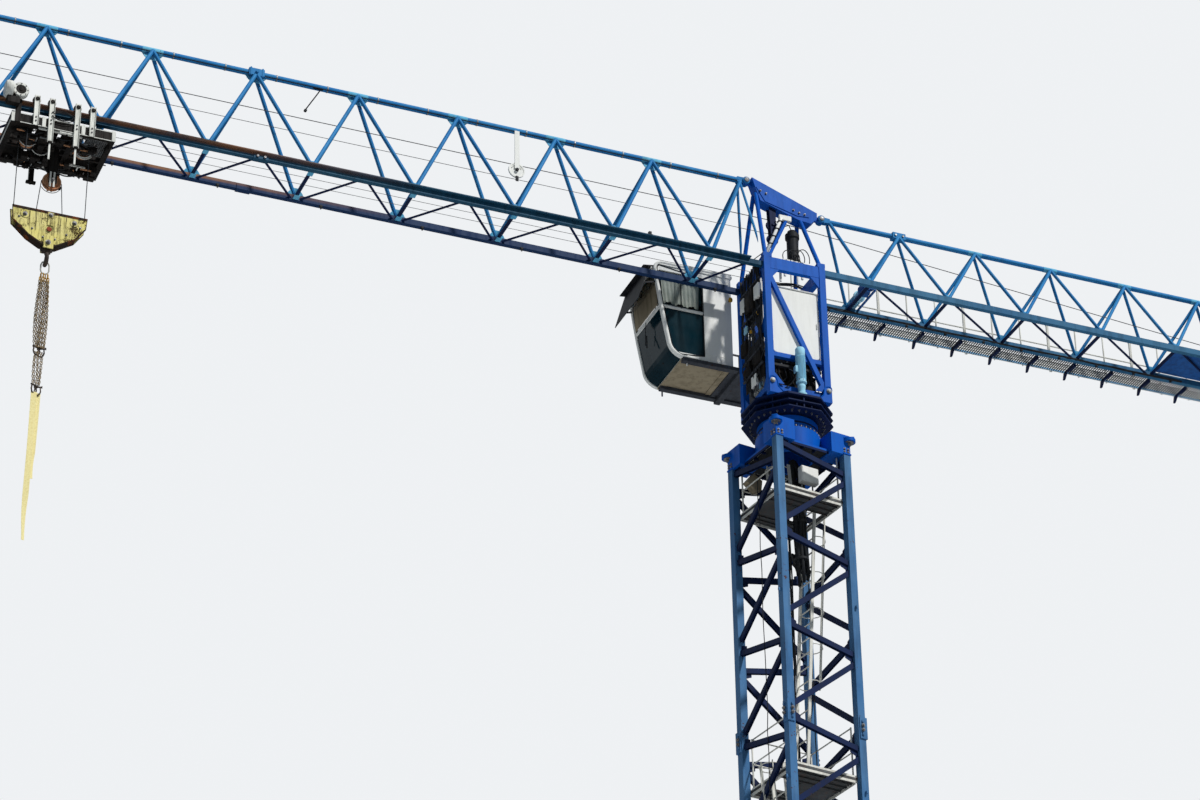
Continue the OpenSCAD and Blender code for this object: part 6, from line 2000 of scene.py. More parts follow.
@dataclass
class Jib(Kit):
    """Node plates, collars, pins, chord clamps, rope guides and rail wear of the jib.

    Attributes:
        chord_z: Height of the bottom chords' centre line.
        top_z: Height of the top chord's centre line.
        chord_y: Distance of a bottom chord from the middle.
        root: Distance of the first top node from the slewing axis.
        pitch: Distance between two top nodes.
        panels: Whole panels.
    """

    name: str = "jib"
    body: Body = Body.UPPER
    chord_z: float = 27.12
    top_z: float = 29.35
    chord_y: float = 0.534
    root: float = 0.676
    pitch: float = 2.0
    panels: int = 12

    def node(self, index: float) -> float:
        """Returns the place of a top node along X."""
        return -(self.root + self.pitch * index)

    def build(self) -> "Jib":
        """Models the jib's pieces.
        """
        self.node_plates()
        self.collars()
        self.top_lugs()
        self.clamps()
        self.guides()
        self.wear()
        self.section_joint()
        return self

    def node_plates(self) -> None:
        """Pale plates between diagonals and bottom chords, with weld beads along their feet."""
        for side in (-1, 1):
            y = side * (self.chord_y - 0.02)
            outline = [(-0.17, 0.055), (0.17, 0.055), (0.13, 0.12), (0.05, 0.2), (-0.05, 0.2), (-0.13, 0.12)]
            plate = Shop.sheet([(x, y - side * (z - 0.06) * 0.22, self.chord_z + z) for x, z in outline],
                               (0, -side * 0.012, 0), 0.002)
            places = [(self.node(index + 0.5), 0, 0) for index in range(self.panels + 1)]
            self.put(NODE_BLUE, *Shop.shifted(plate, places))
            bead = Shop.tube((-0.16, y, self.chord_z + 0.062), (0.16, y, self.chord_z + 0.062), 0.006, 6)
            self.put(NODE_BLUE, *Shop.shifted(bead, places))

    def collars(self) -> None:
        """Weld collars where the diagonals meet the top chord, a paler coat over the welds."""
        collar = Shop.turned([(0.0595, -0.2), (0.0625, -0.19), (0.0625, 0.19), (0.0595, 0.2)], (0, 0, 0),
                             Axis.X, 20)
        self.put(NODE_BLUE,
                 *Shop.shifted(collar,
                               [(self.node(index), 0, self.top_z) for index in range(1, self.panels)
                                if index != 5]))
        web = Shop.sheet([(-0.22, -0.007, -0.05), (0.22, -0.007, -0.05), (0.1, -0.007, -0.2),
                          (-0.1, -0.007, -0.2)], (0, 0.014, 0), 0.002)
        self.put(NODE_BLUE,
                 *Shop.shifted(web, [(self.node(index), 0, self.top_z) for index in range(1, self.panels)]))

    def top_lugs(self) -> None:
        """Lifting lugs and a line of cable clips on the top chord."""
        lug = Shop.sheet([(-0.06, -0.008, 0.055), (0.06, -0.008, 0.055), (0.035, -0.008, 0.062),
                          (-0.035, -0.008, 0.062)], (0, 0.016, 0), 0.001)
        self.put(SKY_BLUE,
                 *Shop.shifted(lug, [(self.node(index + 0.35), 0, self.top_z) for index in range(self.panels)]))
        clip = Shop.turned([(0.0595, -0.012), (0.065, -0.012), (0.065, 0.012), (0.0595, 0.012)], (0, 0, 0),
                           Axis.X, 16)
        self.put(ZINC,
                 *Shop.shifted(clip,
                               [(self.node(0.3 + 0.5 * index), 0, self.top_z)
                                for index in range(self.panels * 2 - 1)]))
        line = [(self.node(0.1 + 0.25 * index), -0.052 - 0.004 * (index % 2),
                 self.top_z - 0.045 - 0.006 * (index % 2)) for index in range(self.panels * 4 - 2)]
        self.put(BLACK, Shop.rod(line, 0.009))

    def clamps(self) -> None:
        """Small black clamps under the far chord, sleeves on the cross struts."""
        clamp = Shop.join([Shop.box((-0.03, 0, 0), (0.03, 0.05, 0.05), 0.008),
                           Shop.box((-0.012, 0.01, -0.035), (0.012, 0.04, 0.0), 0.004)])
        places = [(self.node(0.25 + index), self.chord_y - 0.07, self.chord_z - 0.105)
                  for index in range(self.panels)]
        self.put(BLACK, *Shop.shifted(clamp, places))
        pad = Shop.box((-0.055, -0.07, -0.008), (0.055, 0.07, 0.008), 0.003)
        self.put(NODE_BLUE,
                 *Shop.shifted(pad, [(self.node(index + 0.5), side * (self.chord_y - 0.12), self.chord_z - 0.04)
                                     for index in range(self.panels) for side in (-1, 1)]))

    def guides(self) -> None:
        """White guide sheaves on hanging strips, and the thin hanger that has only a small roller."""
        top = self.top_z
        z = top - 0.78 - 0.165 + 0.02
        for place in (2.4, 7.5, 10.5):
            x = self.node(place)
            self.put(WHITE, Shop.wheel((x, -0.031, z), 0.165, 0.034, 0.014, 0.04),
                     Shop.box((x - 0.05, -0.064, z + 0.02), (x + 0.05, -0.048, top - 0.058), 0.003),
                     Shop.box((x - 0.05, -0.066, top - 0.1), (x + 0.05, -0.03, top - 0.03), 0.004),
                     Shop.rod([(x - 0.1, -0.054, z + 0.05), (x, -0.054, z + 0.19), (x + 0.1, -0.054, z + 0.05)],
                              0.008))
            self.put(BLACK, Shop.tube((x, -0.086, z), (x, -0.046, z), 0.034, 12, 0.006),
                     Shop.box((x - 0.03, -0.066, z - 0.26), (x + 0.03, -0.046, z - 0.14), 0.006),
                     Shop.tube((x, -0.07, z - 0.2), (x, -0.02, z - 0.2), 0.022, 12, 0.004))
        x = self.node(4.45)
        self.put(BLACK,
                 Shop.rod([(x + 0.16, -0.035, top - 0.05), (x + 0.12, -0.035, top - 0.14),
                           (x - 0.14, -0.035, top - 0.62)], 0.013),
                 Shop.tube((x - 0.12, -0.05, top - 0.6), (x - 0.12, 0.0, top - 0.6), 0.03, 14, 0.005),
                 Shop.box((x + 0.02, -0.05, top - 0.07), (x + 0.2, -0.02, top - 0.05), 0.003))

    def wear(self) -> None:
        """Bright strips where the rollers run, grease along the ledges near the trolley."""
        for side in (-1, 1):
            self.put(RUN_STEEL,
                     Shop.box((-25.2, side * 0.6, self.chord_z + 0.06),
                              (-3.2, side * 0.635, self.chord_z + 0.0608), 0),
                     Shop.box((-17.5, side * 0.648, self.chord_z + 0.034),
                              (-11.5, side * 0.6535, self.chord_z + 0.062), 0.001))
        stop = Shop.join([Shop.box((-0.03, -0.03, 0.06), (0.03, 0.03, 0.13), 0.006),
                          Shop.box((-0.05, -0.035, 0.055), (0.05, 0.035, 0.066), 0.002)])
        self.put(BLACK,
                 *Shop.shifted(stop,
                               [(x, side * 0.618, self.chord_z) for x in (-25.45, -3.0) for side in (-1, 1)]))

    def section_joint(self) -> None:
        """Forks and pins where two jib sections meet."""
        x = self.node(5)
        for side in (-1, 1):
            y = side * (self.chord_y + 0.062)
            for shift in (-0.07, 0.07):
                self.put(BOLT_STEEL,
                         Shop.tube((x + shift, y, self.chord_z - 0.03),
                                   (x + shift, y + side * 0.03, self.chord_z - 0.03), 0.026, 14, 0.004))
            for shift in (-0.13, 0.1):
                self.put(SKY_BLUE, Shop.box((x + shift, side * 0.08 - 0.008, self.top_z - 0.09),
                                            (x + shift + 0.03, side * 0.08 + 0.008, self.top_z + 0.09), 0.003))


@dataclass
class CounterJib(Kit):
    """Round handrails, open grating, winch rope, ballast fittings and chord details of the counter-jib.

    Attributes:
        chord_z: Height of the bottom chords' centre line.
        top_z: Height of the top chord's centre line.
        root: Distance of the first top node from the slewing axis.
        pitch: Distance between two top nodes.
        walk_y: Inner edge of the walkway.
        walk_w: Width of the walkway.
        walk_end: Outer end of the walkway.
    """

    name: str = "counter_jib"
    body: Body = Body.UPPER
    chord_z: float = 27.19
    top_z: float = 28.817
    root: float = 0.918
    pitch: float = 1.694
    walk_y: float = 0.5843
    walk_w: float = 0.42
    walk_end: float = 11.276

    def node(self, index: float) -> float:
        """Returns the place of a top node along X."""
        return self.root + self.pitch * index

    def build(self) -> "CounterJib":
        """Models the pieces of the counter-jib.
        """
        self.rails()
        self.grating()
        self.winch()
        self.ballast()
        self.chords()
        self.trolley_winch()
        return self

    def trolley_winch(self) -> None:
        """Pale blue geared motor, drum and frame of the trolley's winch on the first cross struts."""
        x, z = 1.78, 27.36
        self.put(MOTOR_BLUE,
                 Shop.turned([(0.001, 0.62), (0.085, 0.62), (0.1, 0.6), (0.1, 0.46), (0.088, 0.45),
                              (0.088, 0.22), (0.12, 0.21), (0.12, 0.17), (0.09, 0.15), (0.09, 0.04),
                              (0.001, 0.03)], (x, 0, z), Axis.Y, 28))
        fin = Shop.box((0.085, 0.23, -0.002), (0.1, 0.445, 0.002), 0)
        self.put(MOTOR_BLUE,
                 *Shop.copies(fin, [Matrix.Translation((x, 0, z)) @ turn for turn in spins(24, 0.0, "Y")]))
        self.put(WINCH_BLUE, Shop.wheel((x, -0.13, z), 0.13, 0.24, 0.02, 0.04),
                 Shop.box((x - 0.13, -0.3, 27.228), (x - 0.09, 0.5, 27.262), 0.004),
                 Shop.box((x + 0.09, -0.3, 27.228), (x + 0.13, 0.5, 27.262), 0.004),
                 Shop.box((x - 0.1, 0.0, 27.25), (x + 0.1, 0.03, z + 0.06), 0.006),
                 Shop.box((x - 0.1, -0.29, 27.25), (x + 0.1, -0.27, z + 0.06), 0.006))

    def rails(self) -> None:
        """Handrail sections of three panels, each with rounded upper corners and a middle rail."""
        y, foot, top = self.walk_y + self.walk_w + 0.0345, self.chord_z - 0.06, self.chord_z + 1.1
        step, start = self.pitch * 0.375, 0.725
        x = start
        while x + step < self.walk_end:
            end = min(x + 3 * step, start + step * int((self.walk_end - 0.02 - start) / step))
            low, high = x + 0.012, end - 0.012
            bend = 0.09
            corner = [(low, y, foot), (low, y, top - bend), (low + bend * 0.3, y, top - bend * 0.3),
                      (low + bend, y, top), (high - bend, y, top), (high - bend * 0.3, y, top - bend * 0.3),
                      (high, y, top - bend), (high, y, foot)]
            self.put(LADDER_WHITE, Shop.rod(corner, 0.019, 2))
            self.put(LADDER_WHITE, Shop.tube((low, y, self.chord_z + 0.55), (high, y, self.chord_z + 0.55),
                                             0.015, 8))
            inner = x + step
            while inner < end - 0.1:
                self.put(LADDER_WHITE, Shop.tube((inner, y, foot), (inner, y, top - 0.01), 0.016, 8, 0.002))
                inner += step
            x = end
        count = int((self.walk_end - start) / step)
        shoe = Shop.join([Shop.box((-0.03, y - 0.03, foot), (0.03, y - 0.02, foot + 0.14), 0.003),
                          Shop.tube((0, y - 0.045, foot + 0.04), (0, y - 0.02, foot + 0.04), 0.012, 8, 0.002)])
        self.put(NODE_BLUE, *Shop.shifted(shoe, [(start + step * index, 0, 0) for index in range(count + 1)]))

    def grating(self) -> None:
        """Bearing bars, cross bars and edge angles of the walkway, open between the bars."""
        low, high = 0.685, self.walk_end
        y0, y1, z = self.walk_y, self.walk_y + self.walk_w, self.chord_z - 0.05
        for y in (y0, y1 - 0.006):
            self.put(WALKWAY, Shop.box((low, y, z), (high, y + 0.006, z + 0.04), 0.001))
        bar = Shop.box((-0.0025, y0, z), (0.0025, y1, z + 0.03), 0)
        self.put(PLATFORM,
                 *Shop.shifted(bar,
                               [(low + 0.05 * index, 0, 0) for index in range(int((high - low) / 0.05) + 1)]))
        rod = Shop.box((low, -0.004, z + 0.022), (high, 0.004, z + 0.03), 0)
        self.put(PLATFORM, *Shop.shifted(rod, [(0, y0 + 0.084 * index, 0) for index in range(1, 5)]))
        bracket = Shop.sheet(
            [(-0.02, y0, z - 0.09), (-0.02, y0 + 0.36, z - 0.03), (-0.02, y1 + 0.014, z - 0.03),
             (-0.02, y1 + 0.014, z - 0.002), (-0.02, y0, z - 0.002)], (0.04, 0, 0), 0.002)
        self.put(NAVY, *Shop.shifted(bracket, [(self.node(index * 0.5 + 0.44), 0, 0) for index in range(12)]))
        tick = Shop.sheet([(-0.02, y1 - 0.1, z - 0.002), (-0.02, y1 + 0.03, z - 0.13),
                           (-0.02, y1 + 0.08, z - 0.13), (-0.02, y1 + 0.03, z - 0.002)], (0.04, 0, 0), 0.002)
        self.put(NAVY, *Shop.shifted(tick, [(self.node(index * 0.5 + 0.44), 0, 0) for index in range(12)]))
        self.put(WHITE, Shop.box((low, y1 + 0.001, z - 0.01), (high, y1 + 0.012, z + 0.19), 0.003),
                 Shop.box((low, y1 - 0.01, z + 0.185), (high, y1 + 0.014, z + 0.19), 0.001))
        seam = Shop.box((-0.003, y1 - 0.004, z), (0.003, y1 + 0.0125, z + 0.185), 0)
        self.put(NAVY, *Shop.shifted(seam, [(self.node(index), 0, 0) for index in range(1, 6)]))

    def winch(self) -> None:
        """Drum flanges, rope windings, motor fins and guard of the hoist winch."""
        x, z = self.node(5.1), self.chord_z + 0.0345 + 0.32
        for side in (-1, 1):
            y = side * 0.255
            self.put(WINCH_BLUE,
                     Shop.turned([(0.23, y - 0.012), (0.262, y - 0.012), (0.266, y), (0.262, y + 0.012),
                                  (0.23, y + 0.012)], (x, 0, z), Axis.Y, 36))
        coil = Shop.turned([(0.229, -0.0075), (0.236, -0.0065), (0.241, 0), (0.236, 0.0065), (0.229, 0.0075)],
                           (x, 0, z), Axis.Y, 28)
        self.put(WIRE, *Shop.shifted(coil, [(0, -0.225 + 0.0163 * index, 0) for index in range(28)]))
        fin = Shop.box((x - 0.66, -0.156, z - 0.24), (x - 0.655, 0.156, z + 0.016), 0)
        self.put(WINCH_BLUE, *Shop.shifted(fin, [(0.02 * index, 0, 0) for index in range(13)]))
        self.put(WHITE, Shop.box((x + 0.42, -0.3, z - 0.255), (x + 0.78, 0.3, z + 0.3), 0.02, 2))
        self.put(BLACK,
                 Shop.rod([(x + 0.42, 0.1, z), (x + 0.32, 0.2, z - 0.1), (x + 0.2, 0.34, z - 0.24),
                           (x - 0.3, 0.38, z - 0.25), (x - 0.5, 0.2, z - 0.2)], 0.016))

    def ballast(self) -> None:
        """Lifting loops, steel hangers and corner guards of the ballast slabs."""
        first = 12.9454 - 3 * 0.302 - 0.08
        for index in range(3):
            x = first + 0.302 * index + 0.145
            z = self.chord_z + 0.26
            for side in (-1, 1):
                self.put(ZINC, Shop.rod(arc((x, side * 0.28, z - 0.01), (0.07, 0.09), 0, 22.5, 9, Axis.Y),
                                        0.012))
                self.put(SKY_BLUE,
                         Shop.box((x - 0.1, side * 0.534 - 0.05, z - 0.205),
                                  (x + 0.1, side * 0.534 + 0.05, z - 0.195), 0.002))
                self.put(ZINC,
                         Shop.box((x - 0.145, side * 0.612, z - 0.19), (x + 0.145, side * 0.617, z - 0.13),
                                  0.002))

    def chords(self) -> None:
        """Node plates, far chord clamps, cables and the pin joint of the counter-jib's chords."""
        outline = [(-0.14, 0.055), (0.14, 0.055), (0.05, 0.17), (-0.05, 0.17)]
        for side in (-1, 1):
            y = side * 0.514
            plate = Shop.sheet([(x, y - side * (z - 0.06) * 0.3, self.chord_z + z) for x, z in outline],
                               (0, -side * 0.01, 0), 0.002)
            self.put(NODE_BLUE,
                     *Shop.shifted(plate, [(self.node(index + 0.5) - 0.1, 0, 0) for index in range(7)]))
        collar = Shop.turned([(0.0525, -0.15), (0.0555, -0.14), (0.0555, 0.14), (0.0525, 0.15)], (0, 0, 0),
                             Axis.X, 18)
        self.put(NODE_BLUE, *Shop.shifted(collar, [(self.node(index), 0, self.top_z) for index in range(2, 6)]))
        clamp = Shop.box((-0.022, 0.47, -0.1), (0.022, 0.52, -0.055), 0.006)
        self.put(BLACK,
                 *Shop.shifted(clamp, [(self.node(0.2 + 0.5 * index), 0, self.chord_z) for index in range(13)]))
        for y, radius, seed in ((0.44, 0.014, 2), (0.41, 0.011, 4)):
            draw = random.Random(seed)
            line = [(0.7 + 0.4 * index, y + draw.uniform(-0.008, 0.008),
                     self.chord_z - 0.066 - draw.uniform(0.0, 0.012)) for index in range(22)]
            self.put(BLACK, Shop.rod(line, radius))
        self.put(NODE_BLUE,
                 Shop.box((0.74, -0.556, self.chord_z + 0.02),
                          (self.node(1) + 0.05, -0.553, self.chord_z + 0.052), 0.001))
        for side in (-1, 1):
            for shift in (-0.08, 0.08):
                self.put(BOLT_STEEL,
                         Shop.tube((self.node(1) + shift, side * 0.072, self.top_z),
                                   (self.node(1) + shift, side * 0.094, self.top_z), 0.024, 12, 0.003))


@dataclass
class Trolley(Kit):
    """Brackets, rollers, sheaves, housing and grimy mechanisms of the trolley.

    Places along X count from the trolley's middle.

    Attributes:
        rail: Height of the rollers' axes.
        plate_y: Inner face of the roller brackets.
        stations: Places of the roller axles along X.
    """

    name: str = "trolley"
    body: Body = Body.TROLLEY
    origin: Point = (HOOK_X, 0.0, 0.0)
    rail: float = 27.2556
    plate_y: float = 0.656
    stations: tuple[float, ...] = (-0.513, -0.2356, 0.2356, 0.513)

    def build(self) -> "Trolley":
        """Models the trolley's pieces.
        """
        self.brackets()
        self.rollers()
        self.sheaves()
        self.housing()
        self.barrel()
        self.frame_details()
        self.mechanism()
        self.thicket()
        return self

    def brackets(self) -> None:
        """White channels over the roller plates, their bolts, and dark discs on the axles."""
        nut = Shop.nut((0, 0, 0), (0, -1, 0), 0.026, 0.018)
        bolts = []
        for index, x in enumerate(self.stations):
            foot = 26.69 if index in (0, 3) else 26.36
            for side in (-1, 1):
                y = side * (self.plate_y + 0.022)
                for edge in (-0.05, 0.042):
                    self.put(TROLLEY_WHITE,
                             Shop.box((x + edge, y - side * 0.02, foot),
                                      (x + edge + 0.008, y + side * 0.03, self.rail + 0.065), 0.002))
                self.put(TROLLEY_WHITE,
                         Shop.box((x - 0.046, y, foot - 0.004),
                                  (x + 0.046, y + side * 0.006, self.rail + 0.072), 0.002))
                self.put(DARK_GRIME_AND_SHADE,
                         Shop.turned([(0.001, y + side * 0.03), (0.03, y + side * 0.03),
                                      (0.034, y + side * 0.022), (0.04, y + side * 0.018),
                                      (0.04, y + side * 0.004)], (x, 0, self.rail), Axis.Y, 18))
                turn = Matrix.Identity(4) if side < 0 else Matrix.Rotation(math.pi, 4, "Z")
                bolts += [Matrix.Translation((x, y + side * 0.006, z)) @ turn for z in (26.78, 26.86)]
        self.put(BOLT_STEEL, *Shop.copies(nut, bolts))

    def rollers(self) -> None:
        """Flat rollers with hubs and grease caps."""
        roller = Shop.turned([(0.012, -0.027), (0.024, -0.027), (0.026, -0.014), (0.056, -0.014),
                              (0.06, -0.025), (0.07, -0.025), (0.075, -0.02), (0.075, 0.02), (0.07, 0.025),
                              (0.06, 0.025), (0.056, 0.014), (0.026, 0.014), (0.024, 0.03), (0.001, 0.032)],
                             (0, 0, 0), Axis.Y, 28)
        places = [Matrix.Translation((offset, side * 0.617, self.rail)) @
                  (Matrix.Identity(4) if side > 0 else Matrix.Rotation(math.pi, 4, "Z"))
                  for offset in self.stations for side in (-1, 1)]
        self.put(ROLLER_STEEL, *Shop.copies(roller, places))
        axle = Shop.tube((0, 0.0, 0), (0, 0.055, 0), 0.022, 12, 0.002)
        self.put(ROLLER_STEEL, *Shop.copies(axle, places))

    def sheaves(self) -> None:
        """Grooved rope sheaves with shafts and collars."""
        for x, z, radius, width in ((-0.5088, 26.77, 0.13, 0.048), (0.5088, 26.77, 0.13, 0.048),
                                    (0, 26.01, 0.175, 0.06)):
            self.put(SHEAVE_ORANGE, Shop.wheel((x, 0, z), radius, width, 0.016, 0.045))
            reach = 0.069 if width < 0.05 else 0.057
            self.put(ROLLER_STEEL, Shop.tube((x, -reach, z), (x, reach, z), 0.024, 14, 0.002))

    def housing(self) -> None:
        """White round housing with its dark, ribbed core outside one corner of the trolley."""
        x, z = -0.84, 27.3156
        self.put(TROLLEY_WHITE,
                 Shop.turned([(0.1, -0.664), (0.145, -0.664), (0.149, -0.67), (0.149, -0.77), (0.14, -0.782),
                              (0.1, -0.782), (0.094, -0.776), (0.094, -0.67), (0.1, -0.664)], (x, 0, z), Axis.Y,
                             36))
        self.put(DARK_GRIME_AND_SHADE,
                 Shop.turned([(0.001, -0.79), (0.03, -0.79), (0.034, -0.78), (0.05, -0.776), (0.06, -0.779),
                              (0.08, -0.777), (0.0935, -0.777)], (x, 0, z), Axis.Y, 30))
        nut = Shop.nut((0, 0, 0), (0, -1, 0), 0.018, 0.012)
        self.put(BOLT_STEEL, *Shop.shifted(nut, arc((x, -0.782, z), (0.121, 0.121), 0, 45, 8)))

    def frame_details(self) -> None:
        """White end rails, cross angles, bolted plates and the mesh panel of the frame."""
        for side in (-1, 1):
            y = side * 0.656
            for z in (26.70, 26.885):
                self.put(TROLLEY_WHITE, Shop.box((-0.95, y, z - 0.008), (0.95, y + side * 0.008, z + 0.008),
                                                 0.002))
            for x in (-0.92, -0.36, 0.36, 0.92):
                self.put(TROLLEY_WHITE, Shop.box((x - 0.035, y, 26.69), (x + 0.035, y + side * 0.014, 26.91),
                                                 0.004))
        for x in (-0.95, 0.95):
            self.put(TROLLEY_WHITE, Shop.box((x - 0.006, -0.64, 26.71), (x + 0.006, 0.64, 26.76), 0.003))
        wires = [Shop.tube((0.3 + 0.035 * step, -0.6, 26.683), (0.3 + 0.035 * step, -0.12, 26.683), 0.003, 4)
                 for step in range(16)]
        wires += [Shop.tube((0.3, -0.6 + 0.04 * step, 26.68), (0.825, -0.6 + 0.04 * step, 26.68), 0.003, 4)
                  for step in range(13)]
        self.put(ZINC, *wires)

    def thicket(self) -> None:
        """Hoses, levers, small rollers and brackets that crowd the frame, some of them pale."""
        draw = random.Random(31)
        for index in range(26):
            x, y = draw.uniform(-0.86, 0.86), draw.uniform(-0.56, 0.56)
            wide, deep, tall = draw.uniform(0.03, 0.1), draw.uniform(0.02, 0.08), draw.uniform(0.05, 0.13)
            if abs(y) < 0.14 and abs(x) < 0.72:
                y += math.copysign(0.16, y)
            self.put(DARK_GRIME_AND_SHADE,
                     Shop.box((x - wide, y - deep, 26.64 - tall * 0.6), (x + wide, y + deep, 26.70), 0.01))
        for side in (-1, 1):
            for start in (-0.88, -0.43, 0.03, 0.47):
                self.put(DARK_GRIME_AND_SHADE,
                         Shop.box((start, side * 0.17, 26.79), (start + 0.40, side * 0.57, 26.796), 0.002))
        for index in range(30):
            x, y = draw.uniform(-0.84, 0.84), draw.choice((-1, 1)) * draw.uniform(0.18, 0.58)
            long = draw.uniform(0.03, 0.11)
            finish = draw.choice((TROLLEY_WHITE, ZINC, ROLLER_STEEL, SHEAVE_ORANGE))
            if index % 2:
                self.put(finish, Shop.box((x - long, y - 0.01, 26.60), (x + long, y + 0.01, 26.63), 0.004))
            else:
                self.put(finish,
                         Shop.tube((x, y - long * 0.6, 26.615), (x, y + long * 0.6, 26.615), 0.014, 8, 0.003))
        for index in range(16):
            x, y = draw.uniform(-0.84, 0.84), draw.choice((-1, 1)) * draw.uniform(0.2, 0.56)
            wide, tall = draw.uniform(0.03, 0.08), draw.uniform(0.06, 0.17)
            height = 26.66 - tall * 0.7
            self.put(DARK_GRIME_AND_SHADE,
                     Shop.box((x - wide, y - 0.04, 26.66 - tall), (x + wide, y + 0.04, 26.68), 0.012),
                     Shop.tube((x, y - 0.07, height), (x, y + 0.07, height), 0.022, 10, 0.004))
        for index in range(10):
            x, y = draw.uniform(-0.75, 0.6), draw.choice((-1, 1)) * draw.uniform(0.2, 0.55)
            line = [(x + 0.07 * step, y + draw.uniform(-0.03, 0.03),
                     26.66 - 0.09 * math.sin(math.pi * step / 6)) for step in range(7)]
            self.put(BLACK, Shop.rod(line, draw.choice((0.009, 0.013))))
        for x, y, length in ((-0.44, -0.62, 0.5), (-0.06, -0.64, 0.32), (0.1, -0.6, 0.26), (0.3, 0.3, 0.36),
                             (-0.5, 0.35, 0.3)):
            self.put(TROLLEY_WHITE, Shop.box((x, y - 0.012, 26.655), (x + length, y + 0.012, 26.688), 0.003))
        for x in (-0.2356, 0.2356):
            self.put(TROLLEY_WHITE, Shop.box((x - 0.018, -0.684, 26.02), (x + 0.018, -0.668, 26.36), 0.003))
        for side in (-1, 1):
            inner, outer = side * 0.083 - 0.006, side * 0.083 + 0.006
            self.put(TROLLEY_WHITE,
                     Shop.box((0.007, inner, 25.86), (0.043, outer, 26.18), 0.003),
                     Shop.box((-0.06, inner, 25.86), (-0.025, outer, 26.18), 0.003))
        self.put(LINK_WHITE, Shop.rod(arc((0.52, -0.06, 26.76), (0.17, 0.15), 205, 13, 11), 0.014))
        loop = arc((-0.05, -0.7, 26.98), (0.2, 0.09), -160, 20, 17)
        self.put(BLACK, Shop.rod(loop, 0.01),
                 Shop.rod([(x + 0.03, y - 0.01, z - 0.03) for x, y, z in loop], 0.008))

    def barrel(self) -> None:
        """White motor barrel beside the round housing."""
        x, z = -0.86, 27.30
        self.put(TROLLEY_WHITE,
                 Shop.turned([(0, -0.12), (0.15, -0.12), (0.165, -0.14), (0.165, -0.23), (0.15, -0.255),
                              (0.1, -0.27), (0.001, -0.27)], (x, -0.719, z), Axis.X, 32))
        self.put(DARK_GRIME_AND_SHADE, Shop.box((x - 0.12, -0.77, z - 0.11), (x, -0.67, z + 0.11), 0.02, 2),
                 Shop.box((x - 0.22, -0.78, 27.0), (x + 0.02, -0.66, z - 0.15), 0.012))

    def mechanism(self) -> None:
        """Rope anchor springs, levers, stops, curved guards and grease tins under the frame."""
        for x, y in ((-0.62, -0.3), (-0.62, 0.3), (0.62, 0.32)):
            coil = [(x + 0.014 * step, y + 0.03 * math.cos(step), 26.83 + 0.03 * math.sin(step))
                    for step in range(26)]
            self.put(DARK_GRIME_AND_SHADE, Shop.rod(coil, 0.006))
            self.put(ROLLER_STEEL, Shop.tube((x - 0.06, y, 26.83), (x + 0.42, y, 26.83), 0.011, 8, 0.002))
        for x in (-0.3, 0.02, 0.3):
            self.put(DARK_GRIME_AND_SHADE, Shop.box((x - 0.07, -0.45, 26.62), (x + 0.07, -0.24, 26.70), 0.014, 2),
                     Shop.box((x - 0.05, 0.2, 26.60), (x + 0.05, 0.4, 26.70), 0.012, 2))
        for x, side in ((-0.513, -1), (0.513, -1), (-0.2356, 1)):
            self.put(TROLLEY_WHITE, Shop.rod(arc((x, side * 0.1, 26.77), (0.16, 0.16), 200, 14, 11), 0.009))
        for side in (-1, 1):
            self.put(DARK_GRIME_AND_SHADE, Shop.rod(arc((0, side * 0.0585, 26.01), (0.19, 0.19), -30, -12, 11), 0.006))
            self.put(DARK_GRIME_AND_SHADE,
                     Shop.box((-0.078, side * 0.083 - 0.004, 25.94), (0.078, side * 0.083 + 0.004, 26.70),
                              0.003))
            self.put(BOLT_STEEL, Shop.nut((0, side * 0.088, 26.01), (0, side, 0), 0.05, 0.03))
        lever = [(-0.62, -0.56, 26.70), (-0.63, -0.57, 26.40), (-0.63, -0.57, 26.22)]
        self.put(BLACK, Shop.rod(lever, 0.013),
                 Shop.tube((-0.71, -0.57, 26.21), (-0.55, -0.57, 26.21), 0.016, 10, 0.003))
        low = 26.35
        for x in (-0.2356, 0.2356):
            for side in (-1, 1):
                self.put(DARK_GRIME_AND_SHADE,
                         Shop.box((x - 0.09, side * 0.667 - 0.035, low),
                                  (x + 0.09, side * 0.667 + 0.035, low + 0.05), 0.008),
                         Shop.tube((x, side * 0.60, low + 0.025), (x, side * 0.72, low + 0.025), 0.02, 12,
                                   0.003))


